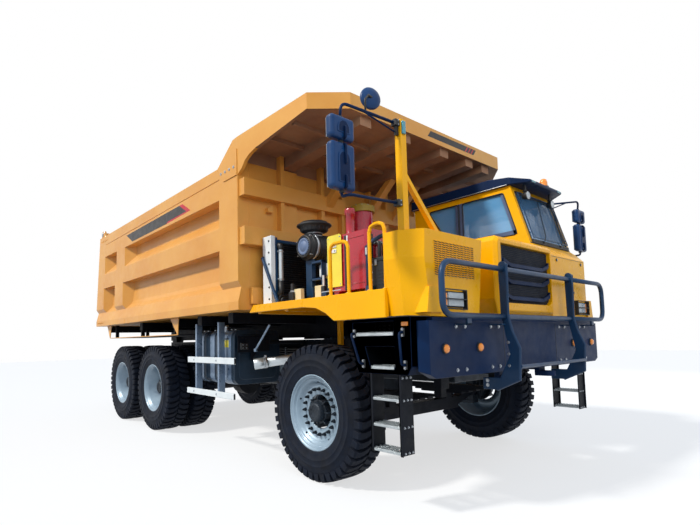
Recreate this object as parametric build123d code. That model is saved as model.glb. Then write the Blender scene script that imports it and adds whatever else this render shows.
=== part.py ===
from build123d import *
import os
from math import cos, pi, sin

# Wide-body mining dump truck, 6x4, with a full-length canopied rock body.
# Millimetres. While it is built, Y = 0 is the front axle, Y grows towards the tail,
# X = 0 is the middle and +X is the truck's left. Z = 0 is the ground.
# On export everything moves along Y, so that the origin is under the middle of the whole truck.

# Wheels and axles
TYRE_RADIUS = 668.0
TYRE_WIDTH = 380.0
TYRE_LUGS = 16               # lugs round each shoulder
LUG_DEPTH = 34.0
LUG_SHARE = 0.58             # share of the pitch that a lug takes
SHOULDER_WIDTH = 318.0       # width of the lugged tread
RIM_RADIUS = 365.0
RIM_WIDTH = 330.0
RIM_WALL = 14.0
RIM_SIDES = 16
RIM_FIT = 0.3                # between rim and tyre
HUB_RADIUS = 150.0
HUB_CAP = 60.0               # from the hub's outer face to the end of its bore
SPINDLE_RADIUS = 117.7
AXLE_RADIUS = 111.7
TRACK_FRONT = 1445.0         # middle of a front wheel
TRACK_REAR_OUTER = 1572.0    # middle of an outer rear wheel
TWIN_PITCH = 442.0           # from outer to inner twin
WHEELBASE = 3850.0           # front axle to first rear axle
BOGIE_BASE = 1480.0          # first to second rear axle
BOTTOM_ANGLE = pi / TYRE_LUGS * (1 - LUG_SHARE)
AXLE_Z = TYRE_RADIUS * cos(BOTTOM_ANGLE)
KINGPIN_X = 1175.0
KINGPIN_RADIUS = 32.0
KINGPIN_FIT = 0.05
ARM_DROP = 140.0             # top of the steering arm below the axle's centre
RUN_GAP = 0.3                # seat of a turning part on what carries it

BANJO_HALF = 130.0
NOSE_REACH = 350.0           # the axle's drive flange ahead of the axle
NOSE_LIFT = 40.0
GEARBOX_END = 640.0
GEARBOX_Z = 735.0            # its output flange, under the hoist's foot

# Chassis frame
FRAME_TOP = 1380.0
FRAME_HEIGHT = 360.0
FRAME_HALF = 440.0           # outside of the rails
RAIL_FLANGE = 95.0
RAIL_PLATE = 14.0
FRAME_FRONT = -1274.0
FRAME_REAR = WHEELBASE + BOGIE_BASE + 860

# Towing eyes: two below the bumper, one behind the frame
TOW_BORE = 27.5
TOW_THICK = 50.0
TOW_FRONT_X = 400.0
TOW_FRONT = (-1390.0, 985.0)  # (y, z)
TOW_REAR = (FRAME_REAR + 75, 1130.0)
TOW_EYE_RADIUS = 65.0

# Bed
BED_HALF = 1852.0            # outside of the posts
POST_DEPTH = 150.0           # from the posts' face in to the side sheet
WALL_HALF = BED_HALF - POST_DEPTH
WALL_THICK = 46.0
BED_FRONT = 993.0
BED_REAR = WHEELBASE + BOGIE_BASE + 1307
BED_REAR_LEAN = 190.0        # the rear edge leans forward by this at the top
FLOOR_Z = 1730.0
FLOOR_THICK = 40.0
LEDGE = ((-1, 1826), (43, 1997), (-1, 2064))  # groove above the rub band, as (depth, z)
POST_FRONT = 1430.0          # rear of the front post
TAIL_POST = BED_REAR - 477   # front of the tail post
MID_POST = (POST_FRONT + TAIL_POST) / 2 + 1205
POCKET_SLOPE = 200.0         # run-out of a pocket's rear end along the bed
# sections of the pockets, as (depth behind the posts' face, z)
UPPER_POCKET = (
    (-1, 2744), (0, 2745), (POST_DEPTH, 2923), (POST_DEPTH + 1, 2923), (POST_DEPTH + 1, 3092), (-1, 3092),
)
LOWER_POCKET = (
    (-1, 2466), (POST_DEPTH + 1, 2466), (POST_DEPTH + 1, 2352), (POST_DEPTH, 2352), (POST_DEPTH - 20, 2131),
    (POST_DEPTH - 43, 2073), (POST_DEPTH - 107, 1997), (-1, 1997),
)
TOP_GROOVE_Z = 3343.0        # a fine line along the top beam
BED_BEND_Z = 2060.0          # the rear edge leans above this height
BED_TOP = 3490.0
BED_TOP_RISE = 24.0
TOP_RAIL = 28.0
HEAD_THICK = 46.0
BEARER_DEPTH = 130.0
HINGE_Y = WHEELBASE + BOGIE_BASE + 720
HINGE_Z = 1450.0
HINGE_PIN_RADIUS = 45.0
HINGE_FIT = 0.08
BED_REST_GAP = 6.0           # rest pads over the frame rails
HEAD_BEAM_DEPTH = 110.0
HOIST_SLOT = 240.0           # half of the slot that the hoist stands in
HEAD_BEAMS = ((3040, 3240), (2473, 2678))  # bottom and top
MUDGUARD_HALF = BED_HALF - 92
MUDGUARD_DROP = 250.0        # below the bed's floor

# Canopy over the cab
CANOPY_FRONT = -425.0
CANOPY_REAR = 1466.0
CANOPY_FRONT_HALF = BED_HALF - 448
CANOPY_CORNER_Y = -158.0
CANOPY_CORNER_HALF = BED_HALF - 108
CANOPY_TOP = 3813.0
CANOPY_SHEET = 40.0
FASCIA_BOTTOM = 3645.0
CANOPY_CEILING = (3617.0, 3648.0)  # under the sheet, at the headboard and at the front edge
CANOPY_BEAM_UNDER = (3478.0, 3551.0)  # under the box beams, at the same places
CANOPY_REAR_KINK = (1095.0, 3736.0)  # where the rim starts to fall, as (y, z)
CANOPY_LOWER_EDGE = ((-141, FASCIA_BOTTOM), (344, 3560), (660, 3506), (770, 3470), (849, 3420), (917, 3340))
CANOPY_FOOT_Z = 3291.0       # bottom of the sides at the headboard
CANOPY_RIB_Y = (120, 545)
CANOPY_BEAM_X = (-1145, -505, 220, 760, 1145)
CANOPY_BEAM_HALF = 82.0
CANOPY_STRUTS = ((-585, -469), (190, 300), (705, 815))  # side faces of the struts under three of them

# Tailgate
GATE_THICK = 70.0
GATE_GAP = 8.0
GATE_HALF = BED_HALF - 62
GATE_PIVOT_Y = BED_REAR - 307
GATE_PIVOT_Z = 3590.0
GATE_PIN_RADIUS = 30.0
GATE_FIT = 0.08

# Hoist in front of the headboard: the cover tube stands on three inner stages
HOIST_Y = 812.0
HOIST_FOOT_Z = 985.0
TRUNNION_Z = 1700.0
HOIST_TOP = 3165.0
HOIST_RADII = (145.0, 122.0, 100.0, 78.0)
HOIST_WALL_GAP = 0.3
HOIST_EAR_X = 100.0           # inside of the foot bracket's ears
HOIST_PIN_RADIUS = 30.0
TRUNNION_RADIUS = 50.0
TRUNNION_GAP = 6.0

# Front end
DECK_HALF = 1745.0
DECK_TOP = 1775.0
DECK_EDGE = 84.0
DECK_REAR = 858.0
FENDER_BOTTOM = 1540.0
COWL_FACE = -1400.0
COWL_BACK = -1090.0
COWL_TOP = 2225.0
COWL_KINK = 2000.0
COWL_INNER = 790.0
LAMP_DEPTH = 90.0            # pocket for a headlamp
GRILLE_FACE = -1425.0
GRILLE_HALF = 505.0
GRILLE_FRAME = 550.0
GRILLE_Z = (1682.0, 2235.0)
GRILLE_DEPTH = 60.0
HOUSING_CHAMFER = 34.0
SLAT_Z = (1748, 1902, 2061)  # level part of each slat
SLAT_RISE = 42.0             # its ends stand higher
SLAT_DEPTH = 37.0
LAMP_X = (1138, 1423)
LAMP_Z = (1616, 1742)
BUMPER_FACE = -1424.0
BUMPER_HALF = 1692.0
BUMPER_Z = (1060.0, 1505.0)
BUMPER_DEPTH = 150.0
BUMPER_CHAMFER = 57.0
BUMPER_WING = 72.0           # thickness in front of the step housings
STEP_INNER = 1440.0          # inner side of a step housing
GUARD_Y = -1523.0
GUARD_HALF = 1615.0
GUARD_Z = (1542.0, 1960.0)
GUARD_TUBE = 24.0
GUARD_LOW = (-1640.0, 1115.0)  # low bar at the very front, as (y, z)
GUARD_LOW_RADIUS = 18.0
GUARD_PLATE_X = 683.0
GUARD_PLATE = 26.0
GUARD_PLATE_TOP = 2029.0

# Cab
CAB_X = (560.0, 1600.0)
CAB_WALL = 45.0
CAB_FRONT = -1200.0
CAB_REAR = 350.0
CAB_FLOOR = DECK_TOP
CAB_SILL = 2410.0
CAB_ROOF = 3100.0
PILLAR_LEAN = 200.0          # top of the windscreen behind its foot
DOOR_GAP = 8.0
DOOR_Y = (-1010.0, 90.0)
DOOR_Z = (1830.0, 3035.0)
DOOR_HINGE_RADIUS = 14.0
DOOR_HINGE_Z = (1920.0, 2340.0)
GLASS = 8.0
GLASS_GAP = 0.3

# Tanks between the wheels, as on the left side
TANK_Y = (1600.0, WHEELBASE - 1195)
TANK_Z = (832.0, 1515.0)
TANK_INNER = 865.0
TANK_OUTER = 1551.0
EXHAUST = (1010.0, 1160.0)    # (y, z) of its silencer, behind the front wheel's sweep

# Mirrors
MIRROR_REACH = 2325.0
MIRROR_X = MIRROR_REACH - 128  # the arm's upright part
MIRROR_Y = -1100.0
MIRROR_POST = (-1668.0, -1245.0)
MIRROR_POST_TOP = 3125.0

# Everything moves by this much along Y on export
FRONT_END = GUARD_LOW[0] - GUARD_LOW_RADIUS
REAR_END = BED_REAR + GATE_GAP + GATE_THICK + 60.0
ORIGIN_SHIFT = -(FRONT_END + REAR_END) / 2

NODES = {}


# Small shape helpers
def block(x, y, z):
    """Box between two values on each axis."""
    centre = Pos((x[0] + x[1]) / 2, (y[0] + y[1]) / 2, (z[0] + z[1]) / 2)
    return centre * Box(x[1] - x[0], y[1] - y[0], z[1] - z[0])


def side_plate(points, x0, x1):
    """Outline of (y, z) points, from x0 to x1."""
    face = make_face(Plane.YZ * Polyline(*points, close=True))
    return Pos(x0, 0, 0) * extrude(face, x1 - x0, dir=(1, 0, 0))


def cross_plate(points, y0, y1):
    """Outline of (x, z) points, from y0 to y1."""
    face = make_face(Plane.XZ * Polyline(*points, close=True))
    return Pos(0, y0, 0) * extrude(face, y1 - y0, dir=(0, 1, 0))


def flat_plate(points, z0, z1):
    """Outline of (x, y) points, from z0 to z1."""
    face = make_face(Polyline(*points, close=True))
    return Pos(0, 0, z0) * extrude(face, z1 - z0, dir=(0, 0, 1))


def rod(start, end, radius):
    """Round bar between two points."""
    a, b = Vector(*start), Vector(*end)
    return extrude(Plane(origin=a, z_dir=b - a) * Circle(radius), (b - a).length)


def beam(start, end, width, height):
    """Rectangular bar between two points; width lies level."""
    a, b = Vector(*start), Vector(*end)
    along = b - a
    level = along.cross(Vector(0, 0, 1))
    if level.length < 1e-6:
        level = Vector(1, 0, 0)
    return extrude(Plane(origin=a, x_dir=level, z_dir=along) * Rectangle(width, height), along.length)


def skin(rings):
    """Solid with flat faces over a row of rings, each with the same number of points."""
    faces = [make_face(Polyline(*rings[0], close=True)), make_face(Polyline(*rings[-1], close=True))]
    for a, b in zip(rings, rings[1:]):
        for i in range(len(a)):
            j = (i + 1) % len(a)
            faces.append(make_face(Polyline(a[i], a[j], b[j], b[i], close=True)))
    return Solid(Shell(faces))


def ring_round(centre, along, radius, sides):
    """Points of a regular ring across a direction; the radius is to its corners."""
    level = Vector(0, 0, 1) if abs(along.Z) < 0.9 * along.length else Vector(0, 1, 0)
    u = along.cross(level).normalized()
    v = u.cross(along).normalized()
    turns = [2 * pi * (i + 0.5) / sides for i in range(sides)]
    return [centre + u * (radius * cos(t)) + v * (radius * sin(t)) for t in turns]


def spar(start, end, radius, sides, end_radius=None):
    """Many-sided round bar, or a cone, between two points; radii are to the corners."""
    a, b = Vector(*start), Vector(*end)
    last = radius if end_radius is None else end_radius
    return skin([ring_round(a, b - a, radius, sides), ring_round(b, b - a, last, sides)])


def bend_points(points, bend):
    """The path with each corner cut into two short chords round its bend."""
    path = [Vector(*p) for p in points]
    out = [path[0]]
    for before, corner, after in zip(path, path[1:], path[2:]):
        a, b = (corner - before).normalized(), (after - corner).normalized()
        half = a.get_angle(b) * pi / 360
        reach = bend * sin(half) / cos(half)
        out += [corner - a * reach, corner + (b - a).normalized() * (bend / cos(half) - bend), corner + b * reach]
    return out + [path[-1]]


def bent_tube(points, radius, bend, sides=8):
    """Many-sided tube along straight runs with cut corners."""
    path = bend_points(points, bend)
    ring = ring_round(path[0], path[1] - path[0], radius, sides)
    rings = [ring]
    for i in range(1, len(path)):
        along = (path[i] - path[i - 1]).normalized()
        onward = (path[i + 1] - path[i]).normalized() if i + 1 < len(path) else along
        across = along + onward
        ring = [p + along * ((path[i] - p).dot(across) / along.dot(across)) for p in ring]
        rings.append(ring)
    return skin(rings)


def soft_outline(u, v, radius):
    """Rectangle between two values each way, with its corners cut in two chords."""
    k = radius * (1 - cos(pi / 4))
    (u0, u1), (v0, v1), r = u, v, radius
    return [
        (u0 + r, v0), (u1 - r, v0), (u1 - k, v0 + k), (u1, v0 + r), (u1, v1 - r), (u1 - k, v1 - k),
        (u1 - r, v1), (u0 + r, v1), (u0 + k, v1 - k), (u0, v1 - r), (u0, v0 + r), (u0 + k, v0 + k),
    ]


def fuse(*shapes):
    """All the shapes as one part."""
    return Part() + list(shapes)


def both_sides(shape):
    """The shape and its mirror image across the middle."""
    return fuse(shape, mirror(shape, about=Plane.YZ))


def frustum(x0, r0, x1, r1, sides):
    """Many-sided cone between two stations on X, with flat faces; the radii are to the flats."""
    def ring(x, r):
        corner = r / cos(pi / sides)
        turns = [2 * pi * i / sides for i in range(sides)]
        return [Vector(x, corner * cos(t), corner * sin(t)) for t in turns]
    return skin([ring(x0, r0), ring(x1, r1)])


def toward(side, shape):
    """Shape as drawn for the left side, or mirrored for the right."""
    return shape if side == "left" else mirror(shape, about=Plane.YZ)


def put(name, shape):
    """Keep a finished node for export."""
    NODES[name] = shape


# Tyres
def lug_outline(phase):
    """Points round the tread, with square lugs standing out of it."""
    pitch = 2 * pi / TYRE_LUGS
    points = []
    for i in range(TYRE_LUGS):
        middle = (i + phase) * pitch - pi / 2
        half = pitch * LUG_SHARE / 2
        for angle, radius in (
            (middle - half, TYRE_RADIUS - LUG_DEPTH),
            (middle - half, TYRE_RADIUS),
            (middle + half, TYRE_RADIUS),
            (middle + half, TYRE_RADIUS - LUG_DEPTH),
        ):
            points.append((radius * cos(angle), radius * sin(angle)))
    return points


def tyre(lugged):
    """Tyre round X = 0. Its lugs change over at the middle; a plain one stands in for an inner twin."""
    half = SHOULDER_WIDTH / 2
    if lugged:
        tread = fuse(side_plate(lug_outline(0.0), 0, half), side_plate(lug_outline(0.5), -half, 0))
    else:
        flats = AXLE_Z * cos(pi / TYRE_LUGS)
        tread = frustum(-half, flats, half, flats, TYRE_LUGS)
    wall_out = TYRE_WIDTH / 2
    for sign in (1, -1):
        tread += frustum(sign * half, TYRE_RADIUS - 64, sign * wall_out, TYRE_RADIUS - 150, TYRE_LUGS)
    bore = frustum(-wall_out - 1, RIM_RADIUS + RIM_FIT, wall_out + 1, RIM_RADIUS + RIM_FIT, RIM_SIDES)
    return tread - bore


# Rims: each is a drum with a dish towards the side that shows
def front_rim():
    """Front wheel, +X outwards: drum, sloping dish, disc and a hub hole."""
    half = RIM_WIDTH / 2
    inner = RIM_RADIUS - RIM_WALL
    disc_x = 70.0
    drum = frustum(-half, RIM_RADIUS, half, RIM_RADIUS, RIM_SIDES)
    dish = frustum(disc_x + RIM_WALL, 262, half + 1, inner + 2, RIM_SIDES)
    back = frustum(-half - 1, inner, disc_x, inner - 62, RIM_SIDES)
    hub = frustum(-60, HUB_RADIUS, half - 10, HUB_RADIUS, RIM_SIDES)
    bore = frustum(-61, SPINDLE_RADIUS + RUN_GAP, half - HUB_CAP, SPINDLE_RADIUS + RUN_GAP, RIM_SIDES)
    return drum - dish - back + hub - bore


def rear_rims():
    """Twin rims, +X outwards, about the outer wheel's middle: deep dish, disc, hub, inner drum."""
    half = RIM_WIDTH / 2
    inner = RIM_RADIUS - RIM_WALL
    disc_x = -115.0
    outer = frustum(-half, RIM_RADIUS, half, RIM_RADIUS, RIM_SIDES)
    outer -= frustum(disc_x, 300, half + 1, inner, RIM_SIDES)
    outer -= frustum(-half - 1, inner, disc_x - RIM_WALL, 318, RIM_SIDES)
    twin = -TWIN_PITCH
    second = frustum(twin - half, RIM_RADIUS, twin + half, RIM_RADIUS, RIM_SIDES)
    second -= frustum(twin - half - 1, inner, twin + half - RIM_WALL, 318, RIM_SIDES)
    second -= frustum(twin + half - RIM_WALL - 1, 200, twin + half + 1, 200, RIM_SIDES)
    hub = frustum(twin + half - RIM_WALL, 205, disc_x, 205, RIM_SIDES)
    hub += frustum(disc_x, 175, 40, 160, RIM_SIDES)
    fit = AXLE_RADIUS + RUN_GAP
    return outer + second + hub - frustum(twin + half - RIM_WALL - 1, fit, -HUB_CAP, fit, RIM_SIDES)


def wheels():
    """Two steered wheels and four twin stations."""
    for side in ("left", "right"):
        place = Pos(TRACK_FRONT, 0, AXLE_Z)
        put(f"tyre_front_{side}", toward(side, place * tyre(True)))
        put(f"rim_front_{side}", toward(side, place * front_rim()))
        for name, y in (("mid", WHEELBASE), ("rear", WHEELBASE + BOGIE_BASE)):
            outer = Pos(TRACK_REAR_OUTER, y, AXLE_Z)
            inner = Pos(TRACK_REAR_OUTER - TWIN_PITCH, y, AXLE_Z)
            put(f"tyres_{name}_{side}", toward(side, fuse(outer * tyre(True), inner * tyre(False))))
            put(f"rims_{name}_{side}", toward(side, outer * rear_rims()))


# Axles, knuckles and springs
def front_axle():
    """Dropped beam with a fork for each kingpin, on two leaf springs."""
    z = AXLE_Z
    fork_x = KINGPIN_X
    half_beam = side_plate([(-70, z - 190), (70, z - 190), (70, z - 50), (-70, z - 50)], 0, 760)
    slope = beam((740, 0, z - 120), (fork_x - 50, 0, z - 5), 110, 90)
    boss = Pos(fork_x, 0, z) * Cylinder(62, 150)
    bore = Pos(fork_x, 0, z) * Cylinder(KINGPIN_RADIUS + KINGPIN_FIT, 160)
    half = fuse(half_beam, slope, boss) - bore
    seat = block((470, 590), (-90, 90), (z - 50, z + 20))
    leaves = [
        block((485, 575), (-reach, reach), (z + 20 + i * 22, z + 42 + i * 22))
        for i, reach in enumerate((300, 400, 500, 600, 700))
    ]
    eye = fuse(
        block((485, 575), (-760, -680), (z + 108, z + 190)),
        block((485, 575), (680, 760), (z + 108, z + 190)),
    )
    hanger = fuse(
        block((FRAME_HALF, 575), (-765, -675), (z + 190, FRAME_TOP - 200)),
        block((FRAME_HALF, 575), (675, 765), (z + 190, FRAME_TOP - 200)),
    )
    put("front_axle", both_sides(fuse(half, seat, *leaves, eye, hanger)))


def knuckle():
    """Steering knuckle: kingpin and two arms round the axle's boss, spindle into the hub."""
    z = AXLE_Z
    top = block((KINGPIN_X - 45, KINGPIN_X + 90), (-50, 50), (z + 75 + RUN_GAP, z + 130))
    bottom = block((KINGPIN_X - 45, KINGPIN_X + 90), (-50, 50), (z - ARM_DROP - 40, z - 75 - RUN_GAP))
    back = block((KINGPIN_X + 68, KINGPIN_X + 110), (-90, 90), (z - 130, z + 130))
    pin = Pos(KINGPIN_X, 0, z) * Cylinder(KINGPIN_RADIUS, 170)
    spindle = rod((KINGPIN_X + 110, 0, z), (TRACK_FRONT + RIM_WIDTH / 2 - HUB_CAP - 2, 0, z), SPINDLE_RADIUS)
    arm = flat_plate(
        [(KINGPIN_X - 45, -40), (KINGPIN_X + 60, -40), (KINGPIN_X + 40, 90), (KINGPIN_X - 90, 300),
         (KINGPIN_X - 150, 300), (KINGPIN_X - 130, 220)],
        z - ARM_DROP - 40, z - ARM_DROP,
    )
    return fuse(top, bottom, back, pin, spindle, arm)


def rear_axles():
    """Two drive axles on inverted leaf packs: banjo housings, and tubes into the hubs."""
    parts = [bogie_springs()]
    for y in (WHEELBASE, WHEELBASE + BOGIE_BASE):
        reach = TRACK_REAR_OUTER - HUB_CAP - 2
        tube = rod((-reach, y, AXLE_Z), (reach, y, AXLE_Z), AXLE_RADIUS)
        banjo = spar((0, y - BANJO_HALF, AXLE_Z), (0, y + BANJO_HALF, AXLE_Z), 235, 20)
        nose = spar((0, y - NOSE_REACH, AXLE_Z + NOSE_LIFT), (0, y, AXLE_Z + NOSE_LIFT), 105, 12)
        parts += [tube, banjo, nose]
    put("rear_axles", fuse(*parts))


def bogie_springs():
    """Inverted leaf packs on a trunnion between the axles, with rods along the frame."""
    middle = WHEELBASE + BOGIE_BASE / 2
    z = AXLE_Z
    pack = [
        block((560, 680), (middle - reach, middle + reach), (z + 130 + i * 26, z + 156 + i * 26))
        for i, reach in enumerate((760, 700, 620, 520, 420, 300))
    ]
    seats = [block((570, 670), (y - 80, y + 80), (z + 60, z + 130)) for y in (WHEELBASE, WHEELBASE + BOGIE_BASE)]
    saddle = block((550, 690), (middle - 130, middle + 130), (z - 40, z + 130))
    top, foot = FRAME_TOP - 30, z - 60
    bracket = side_plate(
        [(middle - 190, top), (middle + 190, top), (middle + 110, foot), (middle - 110, foot)], FRAME_HALF, 550,
    )
    rods = [spar((500, y - 20, z - 20), (500, middle, z - 20), 30, 8) for y in (WHEELBASE, WHEELBASE + BOGIE_BASE)]
    return both_sides(fuse(*pack, *seats, saddle, bracket, *rods))


def driveline():
    """Propeller shafts from the gearbox to the first axle and on to the second."""
    nose_z = AXLE_Z + NOSE_LIFT
    parts = []
    for start, end, z0 in (
        (GEARBOX_END, WHEELBASE - NOSE_REACH, GEARBOX_Z),
        (WHEELBASE + BANJO_HALF, WHEELBASE + BOGIE_BASE - NOSE_REACH, nose_z),
    ):
        a, b = start + RUN_GAP, end - RUN_GAP
        parts.append(spar((0, a, z0), (0, a + 30, z0), 85, 12))
        parts.append(spar((0, b - 30, nose_z), (0, b, nose_z), 85, 12))
        parts.append(spar((0, a + 15, z0), (0, b - 15, nose_z), 55, 12))
    put("driveline", fuse(*parts))


# Chassis frame
def chassis_frame():
    """Two channel rails, cross members, hinge brackets and the hoist's foot bracket."""
    z0, z1 = FRAME_TOP - FRAME_HEIGHT, FRAME_TOP
    x = FRAME_HALF
    channel = [
        (x, z0), (x, z1), (x - RAIL_FLANGE, z1), (x - RAIL_FLANGE, z1 - RAIL_PLATE),
        (x - RAIL_PLATE, z1 - RAIL_PLATE), (x - RAIL_PLATE, z0 + RAIL_PLATE),
        (x - RAIL_FLANGE, z0 + RAIL_PLATE), (x - RAIL_FLANGE, z0),
    ]
    rail = cross_plate(channel, FRAME_FRONT, FRAME_REAR)
    rails = both_sides(rail)
    inside = x - RAIL_PLATE
    cross_y = (-1180, 1250, 2300, WHEELBASE - 620, WHEELBASE + BOGIE_BASE / 2, WHEELBASE + BOGIE_BASE + 420)
    members = [block((-inside, inside), (y - 60, y + 60), (z0 + 60, z1 - 60)) for y in cross_y]
    members.append(block((-inside, inside), (FRAME_REAR - 120, FRAME_REAR), (z0 + 20, z0 + 215)))
    z = HOIST_FOOT_Z
    foot = fuse(
        block((0, x), (HOIST_Y - 100, HOIST_Y + 100), (z - 145, z - 80)),
        block((x - RAIL_PLATE, x), (HOIST_Y - 100, HOIST_Y + 100), (z - 145, z0 + 60)),
        side_plate([(HOIST_Y - 80, z - 85), (HOIST_Y - 40, z + 65), (HOIST_Y + 40, z + 65), (HOIST_Y + 80, z - 85)],
                   HOIST_EAR_X, HOIST_EAR_X + 40),
    )
    foot -= rod((HOIST_EAR_X - 5, HOIST_Y, z), (HOIST_EAR_X + 45, HOIST_Y, z), HOIST_PIN_RADIUS + HINGE_FIT)
    eye_outer = 95.0
    ear = fuse(
        side_plate(
            [(HINGE_Y - 150, z1 - 220), (HINGE_Y + 140, z1 - 220), (HINGE_Y + eye_outer, HINGE_Z),
             (HINGE_Y - eye_outer, HINGE_Z)],
            inside - 60, inside,
        ),
        rod((inside - 60, HINGE_Y, HINGE_Z), (inside, HINGE_Y, HINGE_Z), eye_outer),
    )
    ear -= rod((inside - 70, HINGE_Y, HINGE_Z), (inside + 10, HINGE_Y, HINGE_Z), HINGE_PIN_RADIUS + HINGE_FIT)
    y, z = TOW_REAR
    t = TOW_THICK / 2
    tow = fuse(
        block((-t, t), (FRAME_REAR - 10, y), (z - TOW_EYE_RADIUS, z + TOW_EYE_RADIUS)),
        rod((-t, y, z), (t, y, z), TOW_EYE_RADIUS),
    )
    tow -= rod((-t - 1, y, z), (t + 1, y, z), TOW_BORE)
    put("chassis_frame", fuse(rails, *members, both_sides(fuse(ear, foot)), tow))


def engine_block():
    """Engine and gearbox between the rails, closed in: one plain block."""
    engine = block((-330, 330), (-760, 400), (900, 1700))
    gearbox = block((-230, 230), (400, GEARBOX_END), (GEARBOX_Z - 95, 1240))
    put("engine_block", fuse(engine, gearbox))


# Front end
def bumper():
    """Deep pressed beam with chamfered ends and cut lower corners."""
    z0, z1 = BUMPER_Z
    c = BUMPER_CHAMFER
    back, wing = BUMPER_FACE + BUMPER_DEPTH, BUMPER_FACE + BUMPER_WING
    plan = [
        (0, back), (STEP_INNER - 10, back), (STEP_INNER - 10, wing), (BUMPER_HALF, wing),
        (BUMPER_HALF, BUMPER_FACE + c), (BUMPER_HALF - c, BUMPER_FACE), (0, BUMPER_FACE),
    ]
    body = both_sides(flat_plate(plan, z0, z1))
    corner = cross_plate(
        [(BUMPER_HALF - 135, z0 - 1), (BUMPER_HALF + 1, z0 - 1), (BUMPER_HALF + 1, z0 + 60)],
        BUMPER_FACE - 1, BUMPER_FACE + BUMPER_DEPTH + 1,
    )
    body = body - corner - mirror(corner, about=Plane.YZ)
    lip = block((-BUMPER_HALF + 120, BUMPER_HALF - 120), (BUMPER_FACE + 10, BUMPER_FACE + BUMPER_WING), (z1, z1 + 28))
    y, z = TOW_FRONT
    t = TOW_THICK / 2
    x, r = TOW_FRONT_X, TOW_EYE_RADIUS
    tow = block((x - r, x + r), (y, BUMPER_FACE + BUMPER_DEPTH), (z - t, z + t))
    tow += block((x - r, x + r), (y + r, BUMPER_FACE + BUMPER_DEPTH), (z - t, z0))
    tow += rod((x, y, z - t), (x, y, z + t), r)
    tow -= rod((x, y, z - t - 1), (x, y, z + t + 1), TOW_BORE)
    put("bumper", fuse(body, lip, both_sides(tow)))


def guard_bar():
    """Tube loops in front of the lamps on two upright plates that hook under the bumper."""
    y, x = GUARD_Y, GUARD_HALF - GUARD_TUBE
    z0, z1 = GUARD_Z
    px = GUARD_PLATE_X
    loop = bent_tube(
        [(px + 13, y, z1), (x, y, z1), (x, y, z0), (px + 13, y, z0)], GUARD_TUBE, 130,
    )
    middle = fuse(
        spar((-px + 13, y, z1), (px - 13, y, z1), GUARD_TUBE, 8),
        spar((-px + 13, y, z0), (px - 13, y, z0), GUARD_TUBE, 8),
        spar((-px + 13, *GUARD_LOW), (px - 13, *GUARD_LOW), GUARD_LOW_RADIUS, 8),
    )
    profile = [
        (y - 36, GUARD_PLATE_TOP), (y + 36, GUARD_PLATE_TOP), (y + 30, 1560), (y - 2, 1400), (-1560, 1213),
        (-1459, 1011), (-1295, 1011), (-1295, 908), (-1423, 908), (-1629, 1005), (-1651, 1270), (-1584, 1412),
        (y - 30, 1543),
    ]
    plate = side_plate(profile, px - GUARD_PLATE / 2, px + GUARD_PLATE / 2)
    ties = [
        block((tx - 30, tx + 30), (y - 10, BUMPER_FACE), (1470, 1482)) for tx in (px + 40, 1250)
    ]
    drop = block((1220, 1280), (y - 10, y + 10), (1470, z0))
    put("guard_bar", fuse(both_sides(fuse(loop, plate, *ties, drop)), middle))


def lamp_surround(side, outer):
    """Raised block on the outer side of a headlamp; side is 1 for the truck's left."""
    z0, z1 = LAMP_Z[0] - 46, LAMP_Z[1] + 28
    inner = LAMP_X[1] + 13
    outline = [(side * inner, z0), (side * outer, z0), (side * (outer - 35), z1), (side * inner, z1)]
    return cross_plate(outline, COWL_FACE - 20, COWL_FACE + 100)


def right_cowl():
    """Faceted box in front of the deck: it widens to a kink and draws in again above."""
    def ring(z, inset, inner):
        out, face = DECK_HALF - inset, COWL_FACE
        points = [(-inner, face), (-out + 120, face), (-out, face + 165), (-out, COWL_BACK), (-inner, COWL_BACK)]
        return make_face(Plane.XY.offset(z) * Polyline(*points, close=True))
    low = loft([ring(FENDER_BOTTOM, 60, COWL_INNER + 94), ring(COWL_KINK, 0, COWL_INNER + 30)], ruled=True)
    high = loft([ring(COWL_KINK, 0, COWL_INNER + 30), ring(COWL_TOP, 14, COWL_INNER)], ruled=True)
    vent = [
        block((-1501, -934), (COWL_FACE - 20, COWL_FACE + 30), (z, z + 14))
        for z in range(1870, 2140, 34)
    ]
    lamp = block((-LAMP_X[1], -LAMP_X[0]), (COWL_FACE - 20, COWL_FACE + LAMP_DEPTH), LAMP_Z)
    x, y = MIRROR_POST
    post = block((x - 32, x + 32), (y - 32, y + 32), (COWL_TOP - 40, MIRROR_POST_TOP))
    brace = beam((x + 20, y, 2690), (-1180, y + 10, COWL_TOP - 10), 40, 40)
    put("right_cowl", fuse(low, high, post, brace, lamp_surround(-1, 1640)) - lamp - fuse(*vent))


def grille_outline(inset):
    """Grille opening as (x, z) points, with its lower corners cut."""
    h = GRILLE_HALF - inset
    z0, z1 = GRILLE_Z[0] + inset, GRILLE_Z[1] - inset
    return [(-h, z0 + 40), (-h, z1), (h, z1), (h, z0 + 40), (h - 60, z0), (-h + 60, z0)]


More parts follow.
